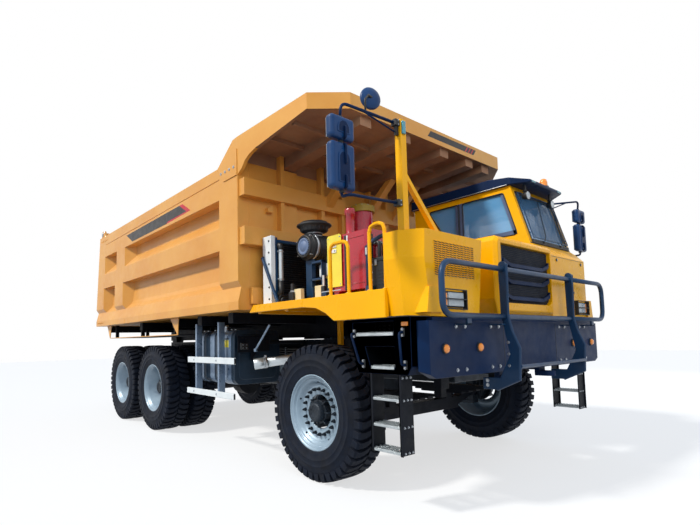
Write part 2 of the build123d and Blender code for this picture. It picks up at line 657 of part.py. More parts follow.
def grille():
    """Housing between cowl and left panel, and the black grille with its slats."""
    f = GRILLE_FRAME
    back = GRILLE_FACE + 240
    top = GRILLE_Z[1] + 70
    outline = [(-f, 1575), (-f - 43, 1720), (-f - 43, top - 50), (-f, top), (f, top), (f, 1575)]
    housing = cross_plate(outline, GRILLE_FACE, back)
    housing = chamfer(housing.faces().sort_by(Axis.Y)[0].edges(), HOUSING_CHAMFER)
    housing -= cross_plate(grille_outline(0), GRILLE_FACE - 1, GRILLE_FACE + GRILLE_DEPTH)
    foot_y = BUMPER_FACE + BUMPER_DEPTH + 6
    foot = block((FRAME_HALF - RAIL_FLANGE, FRAME_HALF), (foot_y, back - 20), (FRAME_TOP, 1600))
    put("grille_housing", fuse(housing, both_sides(foot)))
    sheet = cross_plate(grille_outline(2), GRILLE_FACE + 42, GRILLE_FACE + GRILLE_DEPTH - RUN_GAP)
    slats = []
    end, flat = GRILLE_HALF - 45, GRILLE_HALF - 185
    for z in SLAT_Z:
        edge = [(-end, z + SLAT_RISE), (-flat, z), (flat, z), (end, z + SLAT_RISE)]
        lower = [(x, low - SLAT_DEPTH) for x, low in reversed(edge)]
        slats.append(cross_plate(edge + lower, GRILLE_FACE + 4, GRILLE_FACE + 42))
    put("grille", fuse(sheet, *slats))


def left_panel():
    """Panel under the windscreen on the cab's side, with the sloping bonnet above it."""
    x0 = GRILLE_FRAME + 4
    profile = [
        (COWL_FACE, 1560), (COWL_FACE, 2237), (CAB_FRONT, 2400), (CAB_FRONT, 1560),
    ]
    body = side_plate(profile, x0, 1600)
    cut = flat_plate([(1464, COWL_FACE - 1), (1601, COWL_FACE - 1), (1601, CAB_FRONT - 60)], 1500, 2450)
    lamp = block(LAMP_X, (COWL_FACE - 20, COWL_FACE + LAMP_DEPTH), LAMP_Z)
    fender = block((1600, DECK_HALF), (CAB_FRONT - 60, CAB_FRONT + 60), (FENDER_BOTTOM, DECK_TOP))
    put("left_panel", fuse(body - cut - lamp, fender, lamp_surround(1, 1585)))


def headlamps():
    """Lamp boxes sunk in the panels, each behind a small bar guard."""
    (x0, x1), (z0, z1) = LAMP_X, LAMP_Z
    box = block((x0 + 4, x1 - 4), (COWL_FACE - 6, COWL_FACE + LAMP_DEPTH - RUN_GAP), (z0 + 4, z1 - 4))
    front = COWL_FACE - 44
    bars = [block((x0 - 18, x1 + 10), (front, front + 10), (z - 5, z + 5)) for z in (z0 - 16, z0 + 64, z1 + 14)]
    posts = [block((x - 5, x + 5), (front, COWL_FACE - RUN_GAP), (z0 - 21, z1 + 19)) for x in (x0 - 13, x1 + 5)]
    put("headlamps", both_sides(fuse(box, *bars, *posts)))


def deck():
    """Fender decks over the front wheels: folded edge with the faceted arch, and a top plate."""
    edge = [
        (DECK_REAR, DECK_TOP), (DECK_REAR + 82, DECK_TOP - DECK_EDGE), (-27, DECK_TOP - DECK_EDGE),
        (-228, 1671), (-365, 1615), (-478, FENDER_BOTTOM), (COWL_BACK, FENDER_BOTTOM), (COWL_BACK, DECK_TOP),
    ]
    side = side_plate(edge, DECK_HALF - 50, DECK_HALF)
    inner = GRILLE_FRAME - 60
    arch_back = side_plate(
        [(-365, 1615), (-478, FENDER_BOTTOM), (-520, FENDER_BOTTOM), (-520, DECK_TOP - 20), (-365, DECK_TOP - 20)],
        inner + 300, DECK_HALF - 50,
    )
    top = block((inner, DECK_HALF - 50), (COWL_BACK, DECK_REAR), (DECK_TOP - 20, DECK_TOP))
    under = []
    for y in (-250, 300, 800):
        under.append(block((FRAME_HALF, DECK_HALF - 50), (y - 30, y + 30), (DECK_TOP - 100, DECK_TOP - 20)))
        under.append(block((FRAME_HALF, FRAME_HALF + 60), (y - 30, y + 30), (FRAME_TOP - 200, DECK_TOP - 20)))
    put("deck", both_sides(fuse(side, arch_back, top, *under)))


def steps():
    """Step housings under the decks with two treads each, and ladders below them."""
    outline = [
        (-621, FENDER_BOTTOM), (-778, 1092), (-1300, 1092), (-1338, 1156), (-1338, FENDER_BOTTOM),
    ]
    x0, x1 = STEP_INNER, DECK_HALF
    housing = side_plate(outline, x0, x1)
    upper = block((x0 + 20, x1 + 1), (-1171, -720), (1412, FENDER_BOTTOM - 30))
    lower = side_plate([(-1175, 1145), (-1175, 1310), (-860, 1310), (-915, 1145)], x0 + 20, x1 + 1)
    grip = DECK_HALF + 45
    grab = [
        bent_tube([(DECK_HALF, y0, 1420), (grip, y0, 1420), (grip, y1, 1170), (DECK_HALF, y1, 1170)], 11, 20)
        for y0, y1 in ((-740, -838), (-1262, -1278))
    ]
    put("step_housings", both_sides(fuse(housing - upper - lower, *grab)))
    stiles = [block((1585, DECK_HALF), (y - 6, y + 6), (470, 1091.7)) for y in (-905, -1205)]
    treads = [block((1590, DECK_HALF - 4), (-1199, -911), (z - 22, z)) for z in (903, 695, 500)]
    put("ladders", both_sides(fuse(*stiles, *treads)))


# Cab
def cab_section(inset):
    """Side outline of the cab as (y, z) points, drawn in by an inset."""
    return [
        (CAB_FRONT + inset, CAB_FLOOR + inset), (CAB_FRONT + inset, CAB_SILL),
        (CAB_FRONT + PILLAR_LEAN + inset, CAB_ROOF - inset), (CAB_REAR - inset, CAB_ROOF - inset),
        (CAB_REAR - inset, CAB_FLOOR + inset),
    ]


def pane(y0, y1, z0, z1):
    """Window outline on a side wall; its front edge follows the sloping pillar."""
    lean = PILLAR_LEAN / (CAB_ROOF - CAB_SILL)
    return [(y0, z0), (y0 + (z1 - z0) * lean, z1), (y1, z1), (y1, z0)]


def cab():
    """Hollow cab with its windows cut, glass, roof, door, seat and dashboard."""
    x0, x1 = CAB_X
    w = CAB_WALL
    shell = side_plate(cab_section(0), x0, x1) - side_plate(cab_section(w), x0 + w, x1 - w)
    z0, z1 = CAB_SILL + 110, CAB_ROOF - 70
    front_win = pane(-1065, -380, z0, z1)
    rear_win = [(-320, z0), (-320, z1), (122, z1), (-140, z0 + 80), (-140, z0)]
    screen = block((x0 + 60, x1 - 60), (CAB_FRONT - 60, CAB_FRONT + PILLAR_LEAN + 60), (CAB_SILL + 20, CAB_ROOF - 60))
    back_win = block((x0 + 120, x1 - 120), (CAB_REAR - 80, CAB_REAR + 10), (CAB_SILL + 30, z1))
    right_cuts = fuse(side_plate(front_win, x0 - 5, x0 + w + 5), side_plate(rear_win, x0 - 5, x0 + w + 5))
    left_cut = side_plate(left_rear_window(), x1 - w - 5, x1 + 5)
    door_hole = side_plate(door_outline(0), x1 - w - 5, x1 + 5)
    shell = shell - right_cuts - screen - back_win - left_cut - door_hole
    hinge_y = DOOR_Y[0] + DOOR_GAP
    for z in DOOR_HINGE_Z:
        shell += rod((x1 + 16, hinge_y, z - 40), (x1 + 16, hinge_y, z - RUN_GAP), DOOR_HINGE_RADIUS)
        shell += block((x1, x1 + 10), (hinge_y - 70, hinge_y), (z - 40, z - RUN_GAP))
    put("cab_shell", shell)
    put("cab_glass", cab_glass(front_win, rear_win))
    put("cab_roof", cab_roof())
    put("cab_interior", cab_interior())
    put("door_left", door())
    put("door_glass", door_pane())


def door_outline(grow):
    """Door opening as (y, z) points; grow is negative for the door itself."""
    y0, y1 = DOOR_Y
    z0, z1 = DOOR_Z
    lean = PILLAR_LEAN / (CAB_ROOF - CAB_SILL)
    g = grow
    return [
        (y0 - g, z0 - g), (y0 - g, CAB_SILL + 120), (y0 - g + (z1 - CAB_SILL - 120) * lean, z1 + g),
        (y1 + g, z1 + g), (y1 + g, z0 - g),
    ]


def door_window(grow):
    """Window of the door as (y, z) points."""
    z0, z1 = CAB_SILL + 30 - grow, DOOR_Z[1] - 65 + grow
    return [(-930 - grow, z0), (-800 - grow, z1), (20 + grow, z1), (20 + grow, z0)]


def left_rear_window():
    """Small window behind the door as (y, z) points."""
    z0, z1 = CAB_SILL + 30, CAB_ROOF - 70
    return [(150, z0), (150, z1), (300, z1), (300, z0)]


def door():
    """Left door as thick as its wall, with hinge barrels at its front edge."""
    x1 = CAB_X[1]
    leaf = side_plate(door_outline(-DOOR_GAP), x1 - CAB_WALL, x1) - side_plate(door_window(0), x1 - 60, x1 + 5)
    handle = block((x1, x1 + 24), (-40, 60), (2280, 2304))
    hinge_y = DOOR_Y[0] + DOOR_GAP
    barrels = [
        rod((x1 + 16, hinge_y, z), (x1 + 16, hinge_y, z + 90), DOOR_HINGE_RADIUS) for z in DOOR_HINGE_Z
    ]
    arms = [block((x1, x1 + 10), (hinge_y, hinge_y + 60), (z, z + 90)) for z in DOOR_HINGE_Z]
    return fuse(leaf, handle, *barrels, *arms)


def door_pane():
    """Glass of the door, held in its window."""
    x1 = CAB_X[1]
    return side_plate(door_window(-GLASS_GAP), x1 - 28, x1 - 28 + GLASS)


def cab_glass(front_win, rear_win):
    """Windscreen, right side panes, rear pane and left rear pane."""
    x0, x1 = CAB_X
    lean = PILLAR_LEAN / (CAB_ROOF - CAB_SILL)
    z0, z1 = CAB_SILL + 20 + GLASS_GAP, CAB_ROOF - 60 - GLASS_GAP
    y0 = CAB_FRONT + (z0 - CAB_SILL) * lean + 20
    y1 = CAB_FRONT + (z1 - CAB_SILL) * lean + 20
    screen = side_plate(
        [(y0, z0), (y1, z1), (y1 + GLASS, z1), (y0 + GLASS, z0)], x0 + 60 + GLASS_GAP, x1 - 60 - GLASS_GAP,
    )
    sides = [side_plate([(y, z) for y, z in win], x0 + 18, x0 + 18 + GLASS) for win in (front_win, rear_win)]
    back = block((x0 + 120, x1 - 120), (CAB_REAR - 26, CAB_REAR - 18), (CAB_SILL + 30, CAB_ROOF - 70))
    left = side_plate(left_rear_window(), x1 - 26, x1 - 18)
    return fuse(screen, *sides, back, left)


def cab_roof():
    """Flat protective roof with a visor in front; the visor's corners are cut off in plan."""
    x0, x1 = CAB_X
    profile = [
        (CAB_FRONT - 10, 3100), (CAB_FRONT - 10, 3135), (-1000, 3190), (-750, 3225),
        (CAB_REAR + 40, 3225), (CAB_REAR + 40, CAB_ROOF), (CAB_FRONT + PILLAR_LEAN + 30, CAB_ROOF),
    ]
    body = side_plate(profile, x0 - 30, x1 + 30)
    plan = [
        (x0 + 80, CAB_FRONT - 10), (x1 - 160, CAB_FRONT - 10), (x1 + 30, CAB_FRONT + 190),
        (x1 + 30, CAB_REAR + 40), (x0 - 30, CAB_REAR + 40), (x0 - 30, CAB_FRONT + 190),
    ]
    return body & flat_plate(plan, 3000, 3300)


def cab_interior():
    """Seat on its base, dashboard, column and steering wheel."""
    mid = (CAB_X[0] + CAB_X[1]) / 2
    floor, sill = CAB_FLOOR + CAB_WALL, CAB_SILL
    base = block((mid - 180, mid + 180), (-420, -60), (floor, floor + 300))
    cushion = block((mid - 240, mid + 240), (-500, 0), (floor + 300, floor + 420))
    low, high = floor + 420, floor + 1000
    back = side_plate([(-20, low), (110, high), (190, high), (100, low)], mid - 220, mid + 220)
    dash = side_plate(
        [(-1150, floor), (-1150, sill - 10), (-1010, sill + 20), (-860, sill - 80), (-900, sill - 230),
         (-1050, floor)],
        CAB_X[0] + CAB_WALL + 5, CAB_X[1] - CAB_WALL - 5,
    )
    column = spar((mid, -900, sill - 190), (mid, -690, sill - 70), 32, 8)
    face = Plane(origin=(mid, -680, sill - 64), z_dir=(0, 0.87, 0.5))
    ring = extrude(face * (RegularPolygon(224, 16) - RegularPolygon(196, 16)), 24)
    spoke = beam((mid - 205, -676, sill - 60), (mid + 205, -676, sill - 60), 40, 14)
    return fuse(base, cushion, back, dash, column, ring, spoke)


# Mirrors
def mirrors():
    """A pair of mirrors on bent arms at each side."""
    for side in ("left", "right"):
        put(f"mirrors_{side}", toward(side, mirror_set(side)))


def mirror_set(side):
    """Two housings on bent arms, drawn for the left side; the right one also has a round mirror."""
    x, y = MIRROR_X, MIRROR_Y
    if side == "right":
        roots = [(-MIRROR_POST[0] + 72, MIRROR_POST[1], 2437), (-MIRROR_POST[0] + 72, MIRROR_POST[1], 3090)]
    else:
        roots = [(CAB_X[1] + 40, -1060, 2437), (CAB_X[1] + 40, -960, 3070)]
    housing = (x - 115, MIRROR_REACH)
    elbow = Vector(x, y - 15, 3168)
    large = cross_plate(soft_outline(housing, (2484, 2846), 34), y - 45, y + 35)
    small = cross_plate(soft_outline(housing, (2870, 3050), 34), y - 45, y + 35)
    low = bent_tube([roots[0], (x, roots[0][1] + 60, 2437), (x, y, 2440), (x, y, 2484)], 12, 14)
    arm = bent_tube([roots[1], elbow, (x, y, 3050)], 12, 25)
    between = spar((x, y, 2846), (x, y, 2870), 12, 8)
    parts = [large, small, arm, low, between]
    for cx, cy, cz in roots:
        parts.append(block((cx - 40 + RUN_GAP, cx + 10), (cy - 25, cy + 25), (cz - 25, cz + 25)))
    if side == "right":
        foot = Vector(*roots[1]) + (elbow - Vector(*roots[1])) * 0.55
        head = foot + Vector(-0.3, 0.05, 1) * 152
        parts.append(bent_tube([foot, foot + Vector(0, 0, 152), head + Vector(0, 0, 1)], 8, 12))
        parts.append(spar(head + Vector(-46, 8, 0), head + Vector(-55, 36, 0), 92, 20))
        parts.append(spar(head, head + Vector(-52, 12, 0), 9, 8))
    return fuse(*parts)


# Equipment on the deck
def deck_equipment():
    """Cooler pack, air cleaner, hydraulic tank, battery box and hand hoops on the right deck."""
    z = DECK_TOP
    frame = block((-1600, -1540), (835, 865), (z, 2560))
    fins = block((-1540, -620), (700, 835), (z + 40, 2520))
    fins -= fuse(*[block((-1500, -660), (699, 712), (fin, fin + 26)) for fin in range(1860, 2480, 52)])
    back_frame = block((-620, -560), (835, 865), (z, 2560))
    top = block((-1600, -560), (835, 865), (2500, 2560))
    side = [block((x - 30, x + 30), (700, 865), (z, 2540)) for x in (-1570, -590)]
    put("cooler_pack", fuse(frame, fins, back_frame, top, *side))
    cx, cy, cz = -1330, 330, 2390
    can = spar((cx - 60, cy, cz), (cx + 420, cy, cz), 150, 20)
    cap = spar((cx - 110, cy, cz), (cx - 60, cy, cz), 128, 20)
    neck = spar((cx + 60, cy, cz), (cx + 60, cy, cz + 230), 90, 16)
    bowl = spar((cx + 60, cy, cz + 185), (cx + 60, cy, cz + 245), 120, 20, 205)
    lid = spar((cx + 60, cy, cz + 245), (cx + 60, cy, cz + 281), 205, 20, 110)
    legs = [block((x - 20, x + 20), (cy - 60, cy + 60), (z, cz - 130)) for x in (cx, cx + 300)]
    put("air_cleaner", fuse(can, cap, neck, bowl, lid, *legs))
    tank = flat_plate(soft_outline((-1500, -1000), (-700, -190), 50), z + 60, 2380)
    feet = [block((-1480, -1020), (y, y + 60), (z, z + 60)) for y in (-680, -270)]
    filler = spar((-1330, -300, 2380), (-1330, -300, 2610), 44, 16)
    cap = spar((-1330, -300, 2610), (-1330, -300, 2673), 50, 16)
    put("hydraulic_tank", fuse(tank, *feet, filler, cap))
    battery = block((-1560, -1180), (-1060, -760), (z, 2080))
    arch = bent_tube([(-1620, -800, z), (-1620, -800, 2200), (-1620, -1040, 2260), (-1620, -1052, z + 300)], 18, 80)
    put("battery_box", fuse(battery, block((-1640, -1540), (-820, -780), (z, z + 60)), arch))
    hoops = [
        bent_tube([(-1700, y0, z), (-1700, y0, top_z), (-1700, y1, top_z), (-1700, y1, z)], 17, 60)
        for y0, y1, top_z in ((-402, -640, 2250), (-900, -1072, 2330))
    ]
    left_rail = bent_tube([(1715, 170, z), (1715, 170, 2300), (1715, 780, 2300), (1715, 780, z)], 17, 80)
    put("handrails", fuse(*hoops, left_rail))


def side_gear():
    """Fuel tank, box and aluminium guard rails between front and rear wheels."""
    y0, y1 = TANK_Y
    z0, z1 = TANK_Z
    tank = cross_plate(soft_outline((TANK_INNER, TANK_OUTER), (z0, z1), 90), y0, y1)
    tank += cross_plate(soft_outline((TANK_INNER + 70, TANK_OUTER - 70), (z0 + 70, z1 - 70), 60), y0 - 14, y0)
    places = (y0 + 0.15 * (y1 - y0), y1 - 0.15 * (y1 - y0))
    strap = soft_outline((TANK_INNER, TANK_OUTER + 8), (z0 - 8, z1 + 8), 90)
    straps = [cross_plate(strap, y - 25, y + 25) for y in places]
    arms = [block((FRAME_HALF, TANK_INNER), (y - 40, y + 40), (1050, 1200)) for y in places]
    put("fuel_tanks", both_sides(fuse(tank, *straps, *arms)))
    rails = [
        block((-1700, -1670), (y0 - 236, y1 - 15), (1097, 1176)),
        block((-1700, -1670), (y0 - 220, y1 + 7), (675, 750)),
    ]
    places = (y0 + 0.2 * (y1 - y0), y1 - 0.2 * (y1 - y0))
    posts = [block((-1670, -1580), (y - 20, y + 20), (675, 1625)) for y in places]
    hang = [block((-1600, -FRAME_HALF), (y - 30, y + 30), (1560, 1625)) for y in places]
    drop = [block((-FRAME_HALF - 60, -FRAME_HALF), (y - 30, y + 30), (1300, 1560)) for y in places]
    put("side_rails", both_sides(fuse(*rails, *posts, *hang, *drop)))
    y, z = EXHAUST
    pipe = bent_tube([(-FRAME_HALF - RUN_GAP, y, z), (-950, y, z), (-1480, y + 270, z - 70)], 60, 150, 12)
    muffler = spar((-900, y, z), (-560, y, z), 120, 16)
    put("exhaust", fuse(pipe, muffler))


# Bed
def bed_rear_y(z):
    """Rear edge of the sides at a height; it leans forward towards the top."""
    return BED_REAR - BED_REAR_LEAN * max(0.0, z - BED_BEND_Z) / (BED_TOP - BED_BEND_Z)


def bed_top_z(y):
    """Top edge of the sides at a place along the bed; it rises towards the tail."""
    rear = bed_rear_y(BED_TOP)
    return BED_TOP - BED_TOP_RISE * (rear - y) / (rear - BED_FRONT)


def bed_shell():
    """Floor and side walls, open at the top and the rear."""
    t = WALL_THICK
    side = [
        (BED_FRONT, FLOOR_Z), (BED_FRONT, BED_TOP - BED_TOP_RISE), (bed_rear_y(BED_TOP), BED_TOP),
        (bed_rear_y(BED_BEND_Z), BED_BEND_Z), (BED_REAR, FLOOR_Z),
    ]
    body = side_plate(side, -WALL_HALF, WALL_HALF)
    inside = WALL_HALF - t
    return body - block(
        (-inside, inside), (BED_FRONT + HEAD_THICK, BED_REAR + 100), (FLOOR_Z + FLOOR_THICK, BED_TOP + 50),
    )


def pocket(front, rear, section):
    """Cutter for a pocket of the left side: square in front, running out over a slope at the rear."""
    h, d = BED_HALF, POST_DEPTH
    plan = [(h + 1, front), (h + 1, rear), (h, rear), (h - d, rear - POCKET_SLOPE), (h - d - 1, rear - POCKET_SLOPE),
            (h - d - 1, front)]
    return cross_plate([(h - depth, z) for depth, z in section], front, rear + 1) & flat_plate(plan, FLOOR_Z, BED_TOP)


def side_frame():
    """Posts, beams and rails of the left side, with sloping pockets between them down to the side sheet."""
    outline = [
        (BED_FRONT + 2, FLOOR_Z), (BED_FRONT + 2, bed_top_z(BED_FRONT + 2)), (bed_rear_y(BED_TOP), BED_TOP),
        (bed_rear_y(BED_BEND_Z), BED_BEND_Z), (BED_REAR, FLOOR_Z),
    ]
    plate = side_plate(outline, WALL_HALF, BED_HALF)
    for front, rear, section in (
        (POST_FRONT, MID_POST - 90, UPPER_POCKET), (MID_POST + 370, TAIL_POST - 70, UPPER_POCKET),
        (POST_FRONT, MID_POST + 8, LOWER_POCKET), (MID_POST + 460, TAIL_POST, LOWER_POCKET),
    ):
        plate -= pocket(front, rear, section)
    plate -= cross_plate([(BED_HALF - depth, z) for depth, z in LEDGE], BED_FRONT - 1, BED_REAR + 1)
    z = TOP_GROOVE_Z
    groove = [(POST_FRONT - 8, z), (TAIL_POST - 146, z - 19), (TAIL_POST - 146, z - 11), (POST_FRONT - 8, z + 8)]
    plate -= side_plate(groove, BED_HALF - 10, BED_HALF + 1)
    y0, y1 = CANOPY_REAR + 4, bed_rear_y(BED_TOP)
    rail = side_plate(
        [(y0, bed_top_z(y0)), (y1, BED_TOP), (y1, BED_TOP + TOP_RAIL), (y0, bed_top_z(y0) + TOP_RAIL)],
        WALL_HALF, BED_HALF,
    )
    return fuse(plate, rail, hinge_bracket())


def hinge_bracket():
    """Bracket on the side's top that holds the tailgate's pin."""
    y, z = GATE_PIVOT_Y, GATE_PIVOT_Z
    x0, x1 = GATE_HALF, GATE_HALF + 40
    ear = side_plate([(y - 190, BED_TOP), (y + 95, BED_TOP), (y + 70, z + 60), (y - 80, z + 60)], x0, x1)
    return ear - rod((x0 - 5, y, z), (x1 + 5, y, z), GATE_PIN_RADIUS + GATE_FIT)


def canopy_z(ends, y):
    """Height along the canopy; ends are the heights at the headboard and at the front edge."""
    return ends[0] + (ends[1] - ends[0]) * (BED_FRONT - y) / (BED_FRONT - CANOPY_FRONT)


def headboard():
    """Beams, posts and ribs on the front of the bed's front wall, and struts up to the canopy."""
    y = BED_FRONT
    wall_top = bed_top_z(y) - RUN_GAP
    ceiling = CANOPY_CEILING[0] - RUN_GAP
    half = [block((HOIST_SLOT, BED_HALF - 22), (y - HEAD_BEAM_DEPTH, y), beam_z) for beam_z in HEAD_BEAMS]
    half.append(block((HOIST_SLOT + 20, WALL_HALF), (y - 60, y), (FLOOR_Z + 68, FLOOR_Z + 258)))
    for x0, x1, proud, top in (
        (1017, 1294, 45, wall_top), (1247, 1298, 90, ceiling), (596, 653, 90, ceiling),
        (HOIST_SLOT + 5, HOIST_SLOT + 50, 90, wall_top),
    ):
        half.append(block((x0, x1), (y - proud, y), (FLOOR_Z + 68, top)))
    struts = []
    for x0, x1 in CANOPY_STRUTS:
        foot = y - HEAD_BEAM_DEPTH
        profile = [(foot, 3100), (foot, 3230)]
        profile += [(top, canopy_z(CANOPY_BEAM_UNDER, top) - RUN_GAP) for top in (y - 450, y - 560)]
        struts.append(side_plate(profile, x0, x1))
    return fuse(both_sides(fuse(*half)), *struts)


def canopy_plan(inset):
    """Outline of the canopy from above, drawn in by an inset, as (x, y) points."""
    i = inset
    half = [
        (CANOPY_FRONT_HALF - i / 2, CANOPY_FRONT + i), (CANOPY_CORNER_HALF - i, CANOPY_CORNER_Y + i / 2),
        (BED_HALF - i, BED_FRONT), (BED_HALF - i, CANOPY_REAR + (1 if i else 0)),
    ]
    return [(-x, y) for x, y in reversed(half)] + half


def canopy():
    """Roof over the cab: a tray with upstanding sides, on box beams and two thin cross ribs."""
    seat = [(y, bed_top_z(y) + RUN_GAP) for y in (BED_FRONT, CANOPY_REAR)]
    profile = [
        seat[1], (CANOPY_REAR, seat[1][1] + 26), CANOPY_REAR_KINK, (CANOPY_CORNER_Y, CANOPY_TOP),
        (CANOPY_FRONT - 1, CANOPY_TOP), (CANOPY_FRONT - 1, FASCIA_BOTTOM), *CANOPY_LOWER_EDGE,
        (BED_FRONT - RUN_GAP, CANOPY_FOOT_Z), (BED_FRONT - RUN_GAP, seat[0][1]),
    ]
    s = CANOPY_SHEET
    solid = flat_plate(canopy_plan(0), CANOPY_FOOT_Z - 50, CANOPY_TOP + 50) & side_plate(profile, -BED_HALF, BED_HALF)
    wall_back = BED_FRONT + HEAD_THICK
    front = CANOPY_FRONT - 1
    sheet = [(y, canopy_z(CANOPY_CEILING, y)) for y in (front, BED_FRONT)]
    low, high, rear = CANOPY_FOOT_Z - 100, CANOPY_TOP + 100, CANOPY_REAR + 2
    above = [(front, sheet[0][1] + s), (wall_back, sheet[1][1] + s), (wall_back, low), (rear, low), (rear, high),
             (front, high)]
    below = [sheet[0], sheet[1], (BED_FRONT, low), (front, low)]
    inner = flat_plate(canopy_plan(s), low, high)
    parts = [solid - fuse(*[inner & side_plate(side, -BED_HALF, BED_HALF) for side in (above, below)])]
    beam_front = CANOPY_FRONT + s + 5
    for x in CANOPY_BEAM_X:
        under = [(y, canopy_z(ends, y)) for ends, y in (
            (CANOPY_BEAM_UNDER, BED_FRONT), (CANOPY_CEILING, BED_FRONT), (CANOPY_CEILING, beam_front),
            (CANOPY_BEAM_UNDER, beam_front),
        )]
        parts.append(side_plate(under, x - CANOPY_BEAM_HALF, x + CANOPY_BEAM_HALF))
    for y in CANOPY_RIB_Y:
        z = canopy_z(CANOPY_CEILING, y)
        half = CANOPY_CORNER_HALF - s
        parts.append(block((-half, half), (y - 22, y + 22), (z - 45, z + 2)))
    wall_z = (bed_top_z(wall_back) + RUN_GAP, sheet[1][1] + 2)
    parts.append(block((-WALL_HALF, WALL_HALF), (BED_FRONT, wall_back), wall_z))
    foot = [(BED_FRONT + 2, CANOPY_FOOT_Z), (POST_FRONT - 120, CANOPY_FOOT_Z), (CANOPY_REAR - 20, seat[1][1] + 10),
            (BED_FRONT + 2, CANOPY_CEILING[0] - 17)]
    parts += [side_plate(foot, x, x + 10) for x in (BED_HALF, -BED_HALF - 10)]
    return fuse(*parts)


def bearer_places():
    """Where the cross bearers lie along the bed; two of them hold the mudguards."""
    return (1500, 2345, WHEELBASE - 660, WHEELBASE + 740, HINGE_Y + 300)


def bed_subframe():
    """Long beams under the floor with cross bearers, hinge eyes and the hoist's trunnion bracket."""
    z0, z1 = FRAME_TOP + BED_REST_GAP, FLOOR_Z
    x = FRAME_HALF - RAIL_FLANGE - 8
    rail = block((x - 80, x), (BED_FRONT + 40, BED_REAR - 200), (z0 + 30, z1))
    pads = []
    for y in (1300, 2400, 3500, WHEELBASE + 750):
        pads.append(block((x - 80, FRAME_HALF), (y - 60, y + 60), (z0, z0 + 60)))
    eye = rod((x - 80, HINGE_Y, HINGE_Z), (x, HINGE_Y, HINGE_Z), 90)
    web = block((x - 80, x), (HINGE_Y - 90, HINGE_Y + 90), (HINGE_Z, z1))
    pin = rod((x - 80, HINGE_Y, HINGE_Z), (FRAME_HALF - RAIL_PLATE - 2, HINGE_Y, HINGE_Z), HINGE_PIN_RADIUS)
    bearers = [block((0, WALL_HALF - 40), (y - 60, y + 60), (z1 - BEARER_DEPTH, z1)) for y in bearer_places()]
    half = fuse(rail, *pads, eye, web, pin, *bearers)
    ear_x = HOIST_RADII[0] + TRUNNION_GAP + 60
    ear = side_plate(
        [(HOIST_Y - 80, TRUNNION_Z - 80), (HOIST_Y - 80, TRUNNION_Z + 90), (BED_FRONT - 1, TRUNNION_Z + 90),
         (BED_FRONT - 1, FLOOR_Z), (BED_FRONT + 160, FLOOR_Z), (BED_FRONT + 160, TRUNNION_Z - 100)],
        ear_x, ear_x + 30,
    )
    ear -= rod((ear_x - 5, HOIST_Y, TRUNNION_Z), (ear_x + 35, HOIST_Y, TRUNNION_Z), TRUNNION_RADIUS)
    bridge = block((0, x), (BED_FRONT + 60, BED_FRONT + 160), (z1 - BEARER_DEPTH, z1))
    return both_sides(fuse(half, bridge, ear))


def mudguards():
    """Plates over the rear wheels, hung under the bed, with a gusset at each outer corner."""
    y0, y1 = WHEELBASE - 1000, WHEELBASE + BOGIE_BASE + 700
    z = FLOOR_Z - MUDGUARD_DROP
    x1 = MUDGUARD_HALF
    parts = [block((960, x1), (y0, y1), (z, z + 12))]
    front, middle = bearer_places()[2:4]
    bearer = FLOOR_Z - BEARER_DEPTH
    for y, top in ((front, bearer), (middle, bearer), (y1 - 40, FLOOR_Z)):
        for x in (1000, WALL_HALF - 102):
            parts.append(block((x, x + 60), (y - 20, y + 20), (z + 12, top)))
    for foot, near, far in ((y0, y0 - 30, y0 + 270), (y1, y1 - 90, y1 + 177)):
        parts.append(side_plate([(foot - 6, z), (foot + 6, z), (far, FLOOR_Z), (near, FLOOR_Z)], x1 - 12, x1))
    return both_sides(fuse(*parts))


def bed():
    """Everything that tips with the bed."""
    put("bed_shell", bed_shell())
    put("bed_side_frames", both_sides(side_frame()))
    put("bed_headboard", headboard())
    put("bed_canopy", canopy())
    put("bed_subframe", bed_subframe())
    put("mudguards", mudguards())


def tailgate():
    """Top-hinged gate that follows the leaning rear edge, on two arms."""
    g, t = GATE_GAP, GATE_THICK
    y_top = bed_rear_y(BED_TOP)
    z0 = FLOOR_Z + FLOOR_THICK + g
    profile = [
        (BED_REAR + g, z0), (BED_REAR + g, BED_BEND_Z), (y_top + g, BED_TOP), (y_top + g + t, BED_TOP),
        (BED_REAR + g + t, BED_BEND_Z), (BED_REAR + g + t, z0),
    ]
    leaf = side_plate(profile, -GATE_HALF, GATE_HALF)
    ribs = []
    for share in (-0.84, -0.42, 0, 0.42, 0.84):
        x = share * GATE_HALF
        rib = [(BED_REAR + g + t, z0), (BED_REAR + g + t, BED_BEND_Z), (y_top + g + t, BED_TOP - 20),
               (y_top + g + t + 60, BED_TOP - 20), (BED_REAR + g + t + 60, BED_BEND_Z), (BED_REAR + g + t + 60, z0)]
        ribs.append(side_plate(rib, x - 60, x + 60))
    y, z = GATE_PIVOT_Y, GATE_PIVOT_Z
    x1 = GATE_HALF - GATE_GAP
    arm = side_plate([(y - 55, z - 20), (y - 55, z + 30), (y_top + g + t, z + 50), (y_top + g + t + 20, BED_TOP - 10),
                      (y_top + g, BED_TOP - 10), (y_top + g, z - 50)], x1 - 60, x1)
    pin = rod((x1 - 60, y, z), (GATE_HALF + 38, y, z), GATE_PIN_RADIUS)
    top = block((-x1, x1), (y_top + g, y_top + g + t), (BED_TOP, BED_TOP + 60))
    put("tailgate", fuse(leaf, *ribs, both_sides(fuse(arm, pin)), top))


